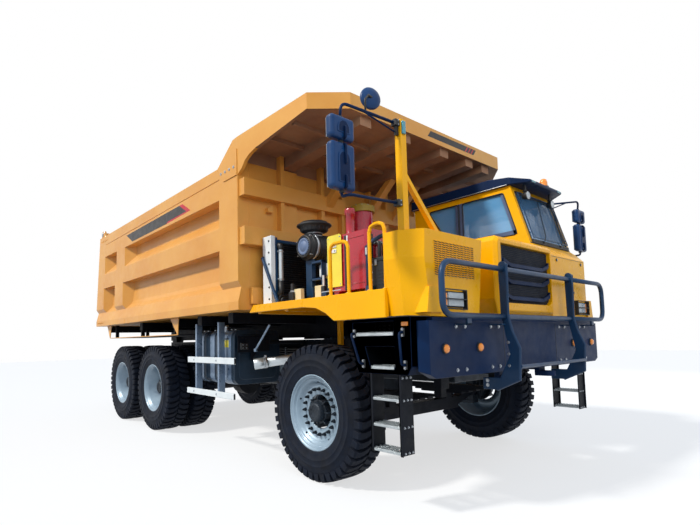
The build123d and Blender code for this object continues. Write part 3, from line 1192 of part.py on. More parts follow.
# Hoist
def hoist():
    """Foot stage on the chassis, two middle stages and the cover tube over all of them."""
    y = HOIST_Y
    cover_r, r1, r2, r3 = HOIST_RADII
    gap = HOIST_WALL_GAP
    bottom = HOIST_FOOT_Z + 110
    top = HOIST_TOP
    ear = HOIST_EAR_X
    eye = rod((6 - ear, y, HOIST_FOOT_Z), (ear - 6, y, HOIST_FOOT_Z), 62)
    pin = rod((-ear - 38, y, HOIST_FOOT_Z), (ear + 38, y, HOIST_FOOT_Z), HOIST_PIN_RADIUS)
    foot_rod = Pos(0, y, (HOIST_FOOT_Z + top - 60) / 2) * Cylinder(r3, top - 60 - HOIST_FOOT_Z)
    put("hoist_foot", fuse(eye, pin, foot_rod))
    for name, outer, inner, z0, z1 in (
        ("hoist_stage_1", r2, r3, bottom, top - 50), ("hoist_stage_2", r1, r2, bottom + 12, top - 40),
    ):
        tube = Pos(0, y, (z0 + z1) / 2) * Cylinder(outer, z1 - z0)
        put(name, tube - Pos(0, y, (z0 + z1) / 2) * Cylinder(inner + gap, z1 - z0 + 2))
    cover = Pos(0, y, (bottom + 24 + top) / 2) * Cylinder(cover_r, top - bottom - 24)
    cover -= Pos(0, y, (bottom + 24 + top - 30) / 2 - 1) * Cylinder(r1 + gap, top - 30 - bottom - 24 + 2)
    collar = Pos(0, y, top - 40) * Cylinder(175, 80)
    dome = Pos(0, y, top) * Cylinder(108, 70)
    collar -= Pos(0, y, top - 60) * Cylinder(cover_r - 5, 60)
    trunnion = rod((cover_r - 10, y, TRUNNION_Z), (cover_r + 58, y, TRUNNION_Z), TRUNNION_RADIUS - 6)
    put("hoist_cover", fuse(cover, collar, dome, both_sides(trunnion)))


def build():
    """Make every node."""
    chassis_frame()
    front_axle()
    put("knuckle_left", knuckle())
    put("knuckle_right", toward("right", knuckle()))
    rear_axles()
    driveline()
    engine_block()
    wheels()
    bumper()
    guard_bar()
    right_cowl()
    grille()
    left_panel()
    headlamps()
    deck()
    steps()
    cab()
    mirrors()
    deck_equipment()
    side_gear()
    bed()
    tailgate()
    hoist()


def export():
    """One STEP file for each node, moved to the common origin."""
    os.makedirs("parts", exist_ok=True)
    for name, shape in NODES.items():
        export_step(Pos(0, ORIGIN_SHIFT, 0) * shape, f"parts/{name}.step")


build()
export()
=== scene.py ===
"""Looks of a wide-body mining dump truck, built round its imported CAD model.

The CAD nodes give the structure. This script adds finishes and the detail that shows at close range: tyres,
wheel nuts, lamps, slats, louvres, treads, hoses, glass, trim and fasteners. All sizes are metres in the row
frame: the origin lies on the ground under the middle of the truck, +Y runs to the tail and +X to the truck's
left.
"""

import logging
import math
from dataclasses import dataclass
from enum import Enum
from typing import Callable, Sequence

import bmesh
import bpy
from mathutils import Matrix, Vector


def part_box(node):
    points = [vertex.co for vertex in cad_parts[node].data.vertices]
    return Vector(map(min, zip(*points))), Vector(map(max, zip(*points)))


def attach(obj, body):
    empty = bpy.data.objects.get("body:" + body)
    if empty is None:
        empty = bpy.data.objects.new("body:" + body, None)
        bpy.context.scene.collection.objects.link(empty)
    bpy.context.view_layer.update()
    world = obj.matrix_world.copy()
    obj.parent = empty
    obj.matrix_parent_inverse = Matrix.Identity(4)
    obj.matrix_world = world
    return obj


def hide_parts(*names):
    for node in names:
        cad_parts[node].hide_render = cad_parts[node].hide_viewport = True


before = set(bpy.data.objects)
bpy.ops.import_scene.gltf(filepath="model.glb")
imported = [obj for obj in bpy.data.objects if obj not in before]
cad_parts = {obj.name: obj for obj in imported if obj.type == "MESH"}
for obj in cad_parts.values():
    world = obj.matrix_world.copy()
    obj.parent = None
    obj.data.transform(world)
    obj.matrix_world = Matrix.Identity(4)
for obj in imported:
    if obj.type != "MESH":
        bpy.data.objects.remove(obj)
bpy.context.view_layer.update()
NODES: dict[str, bpy.types.Object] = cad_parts
LOG = logging.getLogger("dump_truck")

Point = tuple[float, float, float]
Pair = tuple[float, float]
Range = tuple[float, float]

FRONT_AXLE_Y = (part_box("tyre_front_left")[0].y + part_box("tyre_front_left")[1].y) / 2
EDGE = 0.004                 # usual rounding of a plate's edge
SHARP = math.radians(28)     # edges sharper than this are rounded
BEND_STEPS = 6               # steps of a tube's bend
JOIN_PLAIN = 1e-5            # points this close are joined in a turned form
JOIN_FINE = 1e-6             # the same in a tube
JOIN_CAD = 2e-5              # the same in a copy of a CAD node
LEFT, RIGHT = (1, 0, 0), (-1, 0, 0)
AHEAD, BEHIND, UP = (0, -1, 0), (0, 1, 0), (0, 0, 1)
PHOTO_WIDTH, PHOTO_HEIGHT = 700, 525


class Side(Enum):
    """A side of the truck, with its direction on X."""

    LEFT = 1
    RIGHT = -1

    @property
    def word(self) -> str:
        """Name of the side in node names."""
        return self.name.lower()


def front(y: float) -> float:
    """Place on Y of a point that lies y behind the front axle."""
    return FRONT_AXLE_Y + y


def at(x: float, y: float, z: float) -> Point:
    """Point that lies y behind the front axle."""
    return (x, front(y), z)


def span(y0: float, y1: float) -> Range:
    """Range on Y, given behind the front axle."""
    return (front(y0), front(y1))


def about(middle: float, half: float) -> Range:
    """Range that reaches half a width to each side of its middle."""
    return (middle - half, middle + half)


def behind(outline: Sequence[Pair]) -> list[Pair]:
    """Corners as (y, z), given behind the front axle."""
    return [(front(y), z) for y, z in outline]


def band(start: float, end: float, inner: float, outer: float) -> list[Pair]:
    """Profile of a flat band round a turned form."""
    return [(start, inner), (start, outer), (end, outer), (end, inner)]


def circle(count: int, radius: float, a: float, b: float, shift: float = 0.0) -> list[Pair]:
    """Give places evenly spaced round a circle.

    Args:
        count: Number of places.
        radius: Radius of the circle.
        a: Its middle on the first axis.
        b: Its middle on the second axis.
        shift: Part of a step by which all are turned.

    Returns:
        The places on the two axes.
    """
    angles = [math.tau * (i + shift) / count for i in range(count)]
    return [(a + radius * math.cos(angle), b + radius * math.sin(angle)) for angle in angles]


# Finishes


def linear(code: str) -> tuple[float, float, float, float]:
    """Turn an sRGB hex code into linear RGBA.

    Args:
        code: Six hex digits.

    Returns:
        The linear colour with full alpha.
    """
    values = [int(code[i:i + 2], 16) / 255 for i in (0, 2, 4)]
    parts = [v / 12.92 if v <= 0.04045 else ((v + 0.055) / 1.055) ** 2.4 for v in values]
    return (parts[0], parts[1], parts[2], 1.0)


def add_node(
    tree: bpy.types.NodeTree,
    kind: str,
    settings: dict[str, object] | None = None,
    values: dict[str, object] | None = None,
    links: dict[str, bpy.types.NodeSocket] | None = None,
) -> bpy.types.Node:
    """Add one shader node.

    Args:
        tree: Node tree of the material.
        kind: Blender's name for the node type.
        settings: Properties to set on the node.
        values: Input sockets to set, by name.
        links: Input sockets to feed, by name.

    Returns:
        The new node.
    """
    node = tree.nodes.new(kind)
    for key, value in (settings or {}).items():
        setattr(node, key, value)
    for key, value in (values or {}).items():
        node.inputs[key].default_value = value
    for key, socket in (links or {}).items():
        tree.links.new(socket, node.inputs[key])
    return node


class Pattern(Enum):
    """Relief that a finish carries."""

    GRAIN = "grain"          # even fine grain: orange peel, moulding or cast skin
    RIBS = "ribs"            # parallel ribs along Z
    BRUSHED = "brushed"      # streaks along Y


@dataclass(frozen=True)
class Finish:
    """A surface finish, with its real pattern sizes in millimetres."""

    name: str
    colour: str
    tint: str                # second colour of the slow mottle
    roughness: float = 0.45
    metallic: float = 0.0
    coat: float = 0.0
    ior: float = 1.5
    mottle_mm: float = 400.0
    grain_mm: float = 6.0
    grain_depth: float = 0.05
    dust: float = 0.0        # share of dust that settles on upward faces
    dust_colour: str = "b9a88c"
    pattern: Pattern = Pattern.GRAIN
    alpha: float = 1.0
    glow: float = 0.0
    specular: float = 0.5

    def material(self) -> bpy.types.Material:
        """Make the material, or give the one already made.

        Returns:
            The material of this finish.
        """
        made = bpy.data.materials.get(self.name)
        if made:
            return made
        mat = bpy.data.materials.new(self.name)
        mat.use_nodes = True
        tree = mat.node_tree
        tree.nodes.clear()
        place = add_node(tree, "ShaderNodeTexCoord").outputs["Object"]
        colour = self.mottled(tree, place)
        if self.dust:
            colour = self.dusted(tree, place, colour)
        values: dict[str, object] = {"Metallic": self.metallic, "IOR": self.ior, "Coat Weight": self.coat,
                                     "Coat Roughness": 0.06, "Alpha": self.alpha,
                                     "Specular IOR Level": self.specular}
        links = {"Base Color": colour, "Roughness": self.rough(tree, place),
                 "Normal": self.relief(tree, place)}
        if self.glow:
            values["Emission Strength"] = self.glow
            values["Emission Color"] = linear(self.colour)
        shader = add_node(tree, "ShaderNodeBsdfPrincipled", None, values, links)
        add_node(tree, "ShaderNodeOutputMaterial", links={"Surface": shader.outputs["BSDF"]})
        mat.diffuse_color = linear(self.colour)
        return mat

    def mottled(self, tree: bpy.types.NodeTree, place: bpy.types.NodeSocket) -> bpy.types.NodeSocket:
        """Slow change between the two colours, over the size of a panel's shading.

        Args:
            tree: Node tree of the material.
            place: Object coordinates.

        Returns:
            The colour socket.
        """
        noise = add_node(tree, "ShaderNodeTexNoise", None,
                         {"Scale": 1000 / self.mottle_mm, "Detail": 5.0, "Roughness": 0.6}, {"Vector": place})
        spread = add_node(tree, "ShaderNodeMapRange", None, {"From Min": 0.35, "From Max": 0.68},
                          {"Value": noise.outputs["Fac"]})
        mix = add_node(tree, "ShaderNodeMix", {"data_type": "RGBA"}, None,
                       {"Factor": spread.outputs["Result"]})
        mix.inputs[6].default_value = linear(self.colour)
        mix.inputs[7].default_value = linear(self.tint)
        return mix.outputs[2]

    def dusted(
        self, tree: bpy.types.NodeTree, place: bpy.types.NodeSocket, colour: bpy.types.NodeSocket
    ) -> bpy.types.NodeSocket:
        """Lay dust on the faces that look up.

        Args:
            tree: Node tree of the material.
            place: Object coordinates.
            colour: Colour below the dust.

        Returns:
            The colour with its dust.
        """
        normal = add_node(tree, "ShaderNodeNewGeometry").outputs["Normal"]
        up = add_node(tree, "ShaderNodeSeparateXYZ", links={"Vector": normal})
        patch = add_node(tree, "ShaderNodeTexNoise", None, {"Scale": 7.0, "Detail": 6.0, "Roughness": 0.7},
                         {"Vector": place})
        level = add_node(tree, "ShaderNodeMapRange", None,
                         {"From Min": 0.2, "From Max": 1.0, "To Max": self.dust}, {"Value": up.outputs["Z"]})
        share = add_node(tree, "ShaderNodeMath", {"operation": "MULTIPLY"}, None,
                         {0: level.outputs["Result"], 1: patch.outputs["Fac"]})
        mix = add_node(tree, "ShaderNodeMix", {"data_type": "RGBA"}, None, {"Factor": share.outputs["Value"]})
        mix.inputs[7].default_value = linear(self.dust_colour)
        tree.links.new(colour, mix.inputs[6])
        return mix.outputs[2]

    def rough(self, tree: bpy.types.NodeTree, place: bpy.types.NodeSocket) -> bpy.types.NodeSocket:
        """Roughness that changes a little over hand-sized patches.

        Args:
            tree: Node tree of the material.
            place: Object coordinates.

        Returns:
            The roughness socket.
        """
        noise = add_node(tree, "ShaderNodeTexNoise", None, {"Scale": 11.0, "Detail": 4.0}, {"Vector": place})
        spread = add_node(tree, "ShaderNodeMapRange", None,
                          {"From Min": 0.3, "From Max": 0.7, "To Min": max(0.02, self.roughness - 0.06),
                           "To Max": min(1.0, self.roughness + 0.08)}, {"Value": noise.outputs["Fac"]})
        return spread.outputs["Result"]

    def relief(self, tree: bpy.types.NodeTree, place: bpy.types.NodeSocket) -> bpy.types.NodeSocket:
        """Fine relief of the surface, at its real spacing.

        Args:
            tree: Node tree of the material.
            place: Object coordinates.

        Returns:
            The normal socket.
        """
        scale = 1000 / self.grain_mm
        if self.pattern is Pattern.RIBS:
            height = add_node(tree, "ShaderNodeTexWave", {"wave_type": "BANDS", "bands_direction": "Z"},
                              {"Scale": scale / 6.3, "Distortion": 0.0}, {"Vector": place}).outputs["Fac"]
        else:
            stretch = (1.0, 0.06, 1.0) if self.pattern is Pattern.BRUSHED else (1.0, 1.0, 1.0)
            mapped = add_node(tree, "ShaderNodeMapping", None, {"Scale": stretch}, {"Vector": place})
            height = add_node(tree, "ShaderNodeTexNoise", None, {"Scale": scale, "Detail": 3.0},
                              {"Vector": mapped.outputs["Vector"]}).outputs["Fac"]
        bump = add_node(tree, "ShaderNodeBump", None,
                        {"Strength": min(1.0, self.grain_depth * 4), "Distance": self.grain_mm / 1000},
                        {"Height": height})
        return bump.outputs["Normal"]


# No grain is drawn finer than 1.6 mm, since a finer one would not show: cast, moulded and woven skins are
# drawn that much coarser than they are.

# Two-pack enamel on rolled steel: a satin face with the slow waves of a hand-sprayed body.
BODY_OCHRE = Finish("satin_ochre_enamel", "dfa24c", "d5923c", 0.4, coat=0.12, mottle_mm=900, grain_mm=9,
                    grain_depth=0.03, dust=0.2, specular=0.4)
# Darker ochre for the canopy's underside: painted shade with some grime, matt and browner than the enamel.
BODY_SHADE = Finish("shade_and_grime_ochre", "a27a5c", "86604a", 0.7, mottle_mm=500, grain_mm=7, specular=0.3)
# Enamel worn by rock: matt, with dust lying on the floor.
BODY_INSIDE = Finish("scuffed_ochre_enamel", "b9773a", "a2683a", 0.6, mottle_mm=350, grain_mm=7, dust=0.5)
# Cast film: an even black with a soft sheen.
BLACK_VINYL = Finish("satin_black_vinyl", "1d1a1c", "171416", 0.4, mottle_mm=300, grain_mm=5)
# Cast film: an even red with a soft sheen.
RED_VINYL = Finish("satin_red_vinyl", "c2122a", "b51027", 0.4, mottle_mm=300, grain_mm=5)
# Gloss enamel on pressed sheet: clean reflections over a deep yellow.
CAB_YELLOW = Finish("gloss_yellow_enamel", "f9b400", "f2a800", 0.3, coat=0.08, mottle_mm=1200, grain_mm=14,
                    grain_depth=0.012, dust=0.0, specular=0.22)
# Navy enamel on thick plate: nearly black in shade, blue where the sky reflects.
NAVY_STEEL = Finish("navy_enamel_plate", "082448", "061b3a", 0.44, coat=0.0, mottle_mm=600, grain_mm=5,
                    grain_depth=0.04, dust=0.0, specular=0.14)
# Enamel on drawn tube: a soft highlight along the bar.
BLUE_GREY_TUBE = Finish("blue_grey_enamel_tube", "16385a", "12304c", 0.36, coat=0.05, mottle_mm=300,
                        grain_mm=6, specular=0.3)
# Chassis black: thin matt paint over scale and welds.
CHASSIS_BLACK = Finish("matt_chassis_enamel", "060c18", "04080f", 0.58, mottle_mm=250, grain_mm=4,
                       grain_depth=0.08, dust=0.03, specular=0.18)
# Moulded tyre rubber: matt blue-black with a fine skin.
TYRE_RUBBER = Finish("carbon_black_rubber", "0a1424", "060b16", 0.72, mottle_mm=120, grain_mm=3,
                     grain_depth=0.1, dust=0.02, specular=0.2)
# Silver enamel on pressed steel: brighter where it faces the light.
RIM_ENAMEL = Finish("silver_blue_wheel_enamel", "8fa3b3", "7f95a6", 0.38, metallic=0.25, coat=0.2,
                    mottle_mm=200, grain_mm=5)
# Sand-cast iron: dark, with a pitted skin.
HUB_IRON = Finish("dark_cast_iron", "1c2733", "141c25", 0.5, metallic=0.4, mottle_mm=90, grain_mm=3,
                  grain_depth=0.12)
# Zinc plating: small bright points on bolts and clips.
ZINC = Finish("zinc_plated_steel", "b9bec4", "a5abb2", 0.3, metallic=0.9, mottle_mm=40, grain_mm=2)
# Rolled sheet: fine streaks from the mill.
ALUMINIUM = Finish("mill_finish_aluminium", "c9d1d6", "b7c0c6", 0.34, metallic=0.85, mottle_mm=300,
                   grain_mm=3, grain_depth=0.05, pattern=Pattern.BRUSHED)
# Pressed tread sheet: raised grain that breaks up the shine.
TREAD_ALUMINIUM = Finish("serrated_aluminium", "b8c0c4", "9aa3a8", 0.42, metallic=0.8, mottle_mm=90,
                         grain_mm=6, grain_depth=0.2)
# Moulded housing: a fine texture that keeps the black soft.
BLACK_PLASTIC = Finish("moulded_black_polypropylene", "171b20", "101317", 0.5, mottle_mm=150, grain_mm=1.6,
                       grain_depth=0.07)
# Moulded shell: navy, and smoother than the black housings.
MIRROR_PLASTIC = Finish("moulded_navy_plastic", "0c3a6a", "0a315c", 0.38, mottle_mm=200, grain_mm=1.6,
                        specular=0.3)
# Tinted pane: light blue and half clear, with a sharp reflection.
GLASS = Finish("tinted_safety_glass", "7fc4f4", "74b8ec", 0.04, mottle_mm=900, grain_mm=60, grain_depth=0.0,
               alpha=0.5, coat=1.0)
# Silvered pane: a clean reflection without grain.
MIRROR_GLASS = Finish("silvered_glass", "c4d0d8", "bccad3", 0.05, metallic=1.0, mottle_mm=500, grain_mm=60,
                      grain_depth=0.0)
# Clear moulded cover: ripples break up what lies behind.
LENS = Finish("clear_polycarbonate_lens", "dfe8ec", "cfdce2", 0.08, mottle_mm=30, grain_mm=8,
              grain_depth=0.25, alpha=0.55, coat=1.0)
# Metal-coated bowl: bright, in soft facets.
REFLECTOR = Finish("aluminised_reflector", "e6eaec", "d5dadd", 0.12, metallic=1.0, mottle_mm=60, grain_mm=12,
                   grain_depth=0.3)
# Moulded lens with small prisms, with a faint painted glow in its own colour though no lamp is lit.
AMBER = Finish("amber_acrylic_lens", "f08a12", "e27c0a", 0.15, mottle_mm=30, grain_mm=3, grain_depth=0.2,
               coat=0.8, glow=0.15)
# Moulded lens with small prisms: a deep, clear red.
RED_LENS = Finish("red_acrylic_lens", "b3120e", "9d0d0b", 0.15, mottle_mm=30, grain_mm=3, grain_depth=0.2,
                  coat=0.8)
# Moulded lens with small prisms: a deep, clear teal.
TEAL_LENS = Finish("teal_acrylic_lens", "1a8ea0", "167f90", 0.15, mottle_mm=30, grain_mm=3, grain_depth=0.2,
                   coat=0.8)
# Anodised strip: a dull blue-grey line round the glass.
WINDOW_FRAME = Finish("anodised_window_frame", "5a6a8c", "52617f", 0.35, metallic=0.3, mottle_mm=200,
                      grain_mm=3)
# Moulded cap: pale and matt.
PALE_CAP = Finish("pale_grey_polyamide", "64789a", "5a6d8e", 0.5, mottle_mm=150, grain_mm=2)
# Painted sheet: an even pale yellow.
BODY_PLATE_YELLOW = Finish("pale_yellow_plate", "f0dd4a", "e2cf48", 0.4, mottle_mm=200, grain_mm=2)
# Printed film: an even, strong yellow.
LABEL_YELLOW = Finish("yellow_warning_film", "f2df2c", "e6d02a", 0.4, mottle_mm=100, grain_mm=2)
# Thin enamel on tank steel: blue-grey with a metal sheen.
TANK_STEEL = Finish("blue_grey_tank_steel", "24384b", "1a2a3a", 0.34, metallic=0.4, mottle_mm=260, grain_mm=3)
# Bright rolled strap: paler than the tank that it holds.
STRAP_STEEL = Finish("pale_steel_strap", "8497ad", "6c8098", 0.3, metallic=0.5, mottle_mm=200, grain_mm=3)
# Anodised tube: nearly white, with a soft highlight.
RAIL_SILVER = Finish("white_anodised_rail", "e4eaec", "d8dfe3", 0.34, mottle_mm=260, grain_mm=3)
# Steel stained by heat: brown-grey with an uneven shine.
HEAT_STEEL = Finish("heat_stained_steel", "6a6660", "544a44", 0.45, metallic=0.8, mottle_mm=90, grain_mm=3)
# Gloss enamel on turned steel: deep red with clear highlights.
TANK_CRIMSON = Finish("gloss_crimson_enamel", "b0132b", "a00f26", 0.22, coat=0.6, mottle_mm=300, grain_mm=8,
                      grain_depth=0.02)
# Extruded rubber: black, with one long soft highlight.
HOSE_RUBBER = Finish("smooth_hose_rubber", "14171b", "0e1013", 0.48, mottle_mm=60, grain_mm=2)
# Crumpled foil: many small bright facets.
FOIL = Finish("crumpled_heat_foil", "c6c9cb", "a9adb0", 0.25, metallic=1.0, mottle_mm=50, grain_mm=18,
              grain_depth=0.6)
# Rolled fins, drawn 9 mm apart so that they show: dark with thin bright edges.
FIN_METAL = Finish("dark_radiator_fins", "3a4046", "24292e", 0.45, metallic=0.6, mottle_mm=90, grain_mm=9,
                   grain_depth=0.5, pattern=Pattern.RIBS)
# Baked enamel: a clean, even white.
WHITE_ENAMEL = Finish("white_enamel", "e9ebe9", "dde0de", 0.35, coat=0.3, mottle_mm=250, grain_mm=5)
# Baked enamel: a warm, even cream.
CREAM_ENAMEL = Finish("cream_enamel", "e4d6ac", "dacb9d", 0.4, coat=0.2, mottle_mm=200, grain_mm=5)
# Woven cloth, its weave drawn at 3 mm so that it shows: soft, without shine.
SEAT_FABRIC = Finish("woven_seat_fabric", "2b2f36", "22252b", 0.85, mottle_mm=120, grain_mm=3,
                     grain_depth=0.3)
# Grained trim sheet: dark and nearly matt.
HEADLINER = Finish("dark_trim_vinyl", "30343b", "272b31", 0.7, mottle_mm=160, grain_mm=2.5, grain_depth=0.2)
# Ground and plated bar: a hard mirror along its length.
CHROME = Finish("hard_chrome", "d7dadd", "cdd1d4", 0.1, metallic=1.0, mottle_mm=200, grain_mm=4,
                grain_depth=0.01)
# Gloss enamel on drawn tube: deep red with a sharp highlight.
HOIST_CRIMSON = Finish("crimson_hoist_enamel", "c01a3c", "b01535", 0.25, coat=0.5, mottle_mm=400, grain_mm=8,
                       grain_depth=0.02)
# Enamel on a casting: a dull, greenish yellow.
OLIVE_YELLOW = Finish("olive_yellow_enamel", "b59a2c", "a48a25", 0.4, coat=0.2, mottle_mm=200, grain_mm=5)


# Mesh tools: each piece is one mesh, put together from small forms


class Shape:
    """A mesh being made, with one or more finishes."""

    def __init__(self, *finishes: Finish) -> None:
        """Start an empty mesh.

        Args:
            finishes: Finishes by slot number, the first being the usual one.
        """
        self.bm = bmesh.new()
        self.finishes = finishes
        self.slot = 0

    def use(self, finish: Finish) -> "Shape":
        """Give the faces made from now on this finish.

        Args:
            finish: Finish to use.

        Returns:
            This shape.
        """
        if finish not in self.finishes:
            self.finishes = (*self.finishes, finish)
        self.slot = self.finishes.index(finish)
        return self

    def keep(self, bm: bmesh.types.BMesh, edge: float = 0.0, smooth: bool = False,
             segments: int = 1) -> "Shape":
        """Round the sharp edges of a small mesh and add it.

        Args:
            bm: The small mesh, which is freed.
            edge: Width of the rounding, or 0 for none.
            smooth: True shades the faces smooth.
            segments: Steps of the rounding.

        Returns:
            This shape.
        """
        bmesh.ops.recalc_face_normals(bm, faces=bm.faces)
        if edge:
            sharp = [e for e in bm.edges if e.is_manifold and e.calc_face_angle(0.0) > SHARP]
            bmesh.ops.bevel(bm, geom=sharp, offset=edge, offset_type="OFFSET", segments=segments, profile=0.5,
                            affect="EDGES", material=-1, clamp_overlap=True)
        for face in bm.faces:
            face.material_index = self.slot
            face.smooth = smooth
        mesh = bpy.data.meshes.new("part")
        bm.to_mesh(mesh)
        bm.free()
        self.bm.from_mesh(mesh)
        bpy.data.meshes.remove(mesh)
        return self

    def block(self, x: Range, y: Range, z: Range, edge: float = EDGE, segments: int = 1) -> "Shape":
        """Add a box with rounded edges.

        Args:
            x: Its two ends on X.
            y: Its two ends on Y.
            z: Its two ends on Z.
            edge: Rounding of its edges.
            segments: Steps of the rounding.

        Returns:
            This shape.
        """
        bm = bmesh.new()
        centre = Vector(((x[0] + x[1]) / 2, (y[0] + y[1]) / 2, (z[0] + z[1]) / 2))
        size = (abs(x[1] - x[0]), abs(y[1] - y[0]), abs(z[1] - z[0]))
        bmesh.ops.create_cube(bm, size=1.0, matrix=Matrix.Translation(centre) @ Matrix.Diagonal((*size, 1.0)))
        return self.keep(bm, min(edge, min(size) / 2.5), segments=segments)

    def rod(self, a: Point, b: Point, radius: float, end: float | None = None, sides: int = 20,
            edge: float = 0.0) -> "Shape":
        """Add a round bar, or a cone, between two points.

        Args:
            a: Start of its axis.
            b: End of its axis.
            radius: Radius at the start.
            end: Radius at the end, or None for the same.
            sides: Facets round it.
            edge: Rounding of its rims.

        Returns:
            This shape.
        """
        start, stop = Vector(a), Vector(b)
        along = stop - start
        turn = Vector(UP).rotation_difference(along).to_matrix().to_4x4()
        bm = bmesh.new()
        bmesh.ops.create_cone(bm, cap_ends=True, segments=sides, radius1=radius,
                              radius2=radius if end is None else end, depth=along.length,
                              matrix=Matrix.Translation((start + stop) / 2) @ turn)
        self.keep(bm, edge)
        return self

    def plate(self, outline: Sequence[Sequence[float]], axis: str, lo: float, hi: float, edge: float = EDGE,
              segments: int = 1) -> "Shape":
        """Add a flat plate: an outline pushed from lo to hi along an axis.

        Args:
            outline: Corners as (y, z) for axis x, (x, z) for axis y, or (x, y) for axis z.
            axis: Letter of the axis that it is pushed along.
            lo: Start on the axis.
            hi: End on the axis.
            edge: Rounding of its edges.
            segments: Steps of the rounding.

        Returns:
            This shape.
        """
        spots = {"x": lambda p: (lo, p[0], p[1]), "y": lambda p: (p[0], lo, p[1]),
                 "z": lambda p: (p[0], p[1], lo)}
        bm = bmesh.new()
        face = bm.faces.new([bm.verts.new(spots[axis](p)) for p in outline])
        pushed = bmesh.ops.extrude_face_region(bm, geom=[face])
        way = Vector([hi - lo if axis == letter else 0.0 for letter in "xyz"])
        bmesh.ops.translate(bm, verts=[v for v in pushed["geom"] if isinstance(v, bmesh.types.BMVert)],
                            vec=way)
        return self.keep(bm, edge, segments=segments)

    def lathe(self, profile: Sequence[Sequence[float]], centre: Point, axis: Point = LEFT, steps: int = 48,
              smooth: bool = True) -> "Shape":
        """Add a turned form.

        Args:
            profile: Points as (distance along the axis, radius).
            centre: Place of distance 0.
            axis: Direction of the axis.
            steps: Facets round it.
            smooth: True shades it smooth.

        Returns:
            This shape.
        """
        bm = bmesh.new()
        verts = [bm.verts.new((radius, 0.0, along)) for along, radius in profile]
        edges = [bm.edges.new(pair) for pair in zip(verts, verts[1:])]
        bmesh.ops.spin(bm, geom=verts + edges, cent=(0, 0, 0), axis=UP, angle=math.tau, steps=steps,
                       use_merge=True)
        bmesh.ops.remove_doubles(bm, verts=bm.verts, dist=JOIN_PLAIN)
        turn = Vector(UP).rotation_difference(Vector(axis)).to_matrix().to_4x4()
        bmesh.ops.transform(bm, matrix=Matrix.Translation(Vector(centre)) @ turn, verts=bm.verts)
        return self.keep(bm, 0.0, smooth)

    def tube(self, points: Sequence[Point], radius: float, bend: float = 0.05, sides: int = 12) -> "Shape":
        """Add a bent tube with round corners.

        Args:
            points: Corners of its centre line.
            radius: Radius of the tube.
            bend: Radius of its bends.
            sides: Facets round it, in fours.

        Returns:
            This shape.
        """
        line = [Vector(points[0])]
        for before, corner, after in zip(points, points[1:], points[2:]):
            p, c, n = Vector(before), Vector(corner), Vector(after)
            u, v = (p - c).normalized(), (n - c).normalized()
            reach = min(bend / math.tan(max(u.angle(v), 0.05) / 2), (p - c).length * 0.49,
                        (n - c).length * 0.49)
            for i in range(BEND_STEPS + 1):
                t = i / BEND_STEPS
                line.append((c + u * reach) * (1 - t) ** 2 + c * 2 * t * (1 - t) + (c + v * reach) * t ** 2)
        line.append(Vector(points[-1]))
        return self.sweep(line, radius, sides)

    def sweep(self, line: Sequence[Vector], radius: float, sides: int = 12) -> "Shape":
        """Add a round section swept along a line.

        Args:
            line: Points of the line.
            radius: Radius of the section.
            sides: Facets round it, in fours.

        Returns:
            This shape.
        """
        curve = bpy.data.curves.new("line", "CURVE")
        curve.dimensions = "3D"
        curve.bevel_depth = radius
        curve.bevel_resolution = sides // 4
        curve.use_fill_caps = True
        spline = curve.splines.new("POLY")
        spline.points.add(len(line) - 1)
        for spot, point in zip(spline.points, line):
            spot.co = (*point, 1.0)
        holder = bpy.data.objects.new("line", curve)
        mesh = bpy.data.meshes.new_from_object(holder)
        bm = bmesh.new()
        bm.from_mesh(mesh)
        bpy.data.objects.remove(holder)
        bpy.data.curves.remove(curve)
        bpy.data.meshes.remove(mesh)
        bmesh.ops.remove_doubles(bm, verts=bm.verts, dist=JOIN_FINE)
        return self.keep(bm, 0.0, smooth=True)

    def ball(self, centre: Point, size: Point, detail: int = 3) -> "Shape":
        """Add a rounded form.

        Args:
            centre: Its middle.
            size: Half of its size on each axis.
            detail: Fineness of its facets.

        Returns:
            This shape.
        """
        bm = bmesh.new()
        bmesh.ops.create_icosphere(bm, subdivisions=detail, radius=1.0,
                                   matrix=Matrix.Translation(Vector(centre)) @ Matrix.Diagonal((*size, 1.0)))
        return self.keep(bm, 0.0, smooth=True)

    def bolt(self, centre: Point, axis: Point, radius: float = 0.012, height: float = 0.009) -> "Shape":
        """Add a hexagon head on a washer.

        Args:
            centre: Foot of the washer.
            axis: Direction of the bolt.
            radius: Radius of the head.
            height: Height over the face.

        Returns:
            This shape.
        """
        spot, way = Vector(centre), Vector(axis).normalized()
        self.rod(spot, spot + way * height * 0.25, radius * 1.35, sides=12)
        return self.rod(spot + way * height * 0.25, spot + way * height, radius, radius * 0.93, sides=6)

    def bolts(self, start: Point, end: Point, count: int, axis: Point, radius: float = 0.012) -> "Shape":
        """Add a row of bolts, evenly spaced.

        Args:
            start: Place of the first one.
            end: Place of the last one.
            count: Number of bolts.
            axis: Direction of the bolts.
            radius: Radius of a head.

        Returns:
            This shape.
        """
        a, b = Vector(start), Vector(end)
        for i in range(count):
            self.bolt(a.lerp(b, i / max(1, count - 1)), axis, radius)
        return self

    def cad(self, node: str, edge: float = 0.006) -> "Shape":
        """Add a merged copy of a CAD node with its sharp edges rounded.

        Args:
            node: Name of the CAD node.
            edge: Width of the rounding.

        Returns:
            This shape.
        """
        bm = bmesh.new()
        bm.from_mesh(NODES[node].data)
        bmesh.ops.remove_doubles(bm, verts=bm.verts, dist=JOIN_CAD)
        bmesh.ops.dissolve_limit(bm, angle_limit=math.radians(1.0), verts=bm.verts, edges=bm.edges)
        return self.keep(bm, edge)

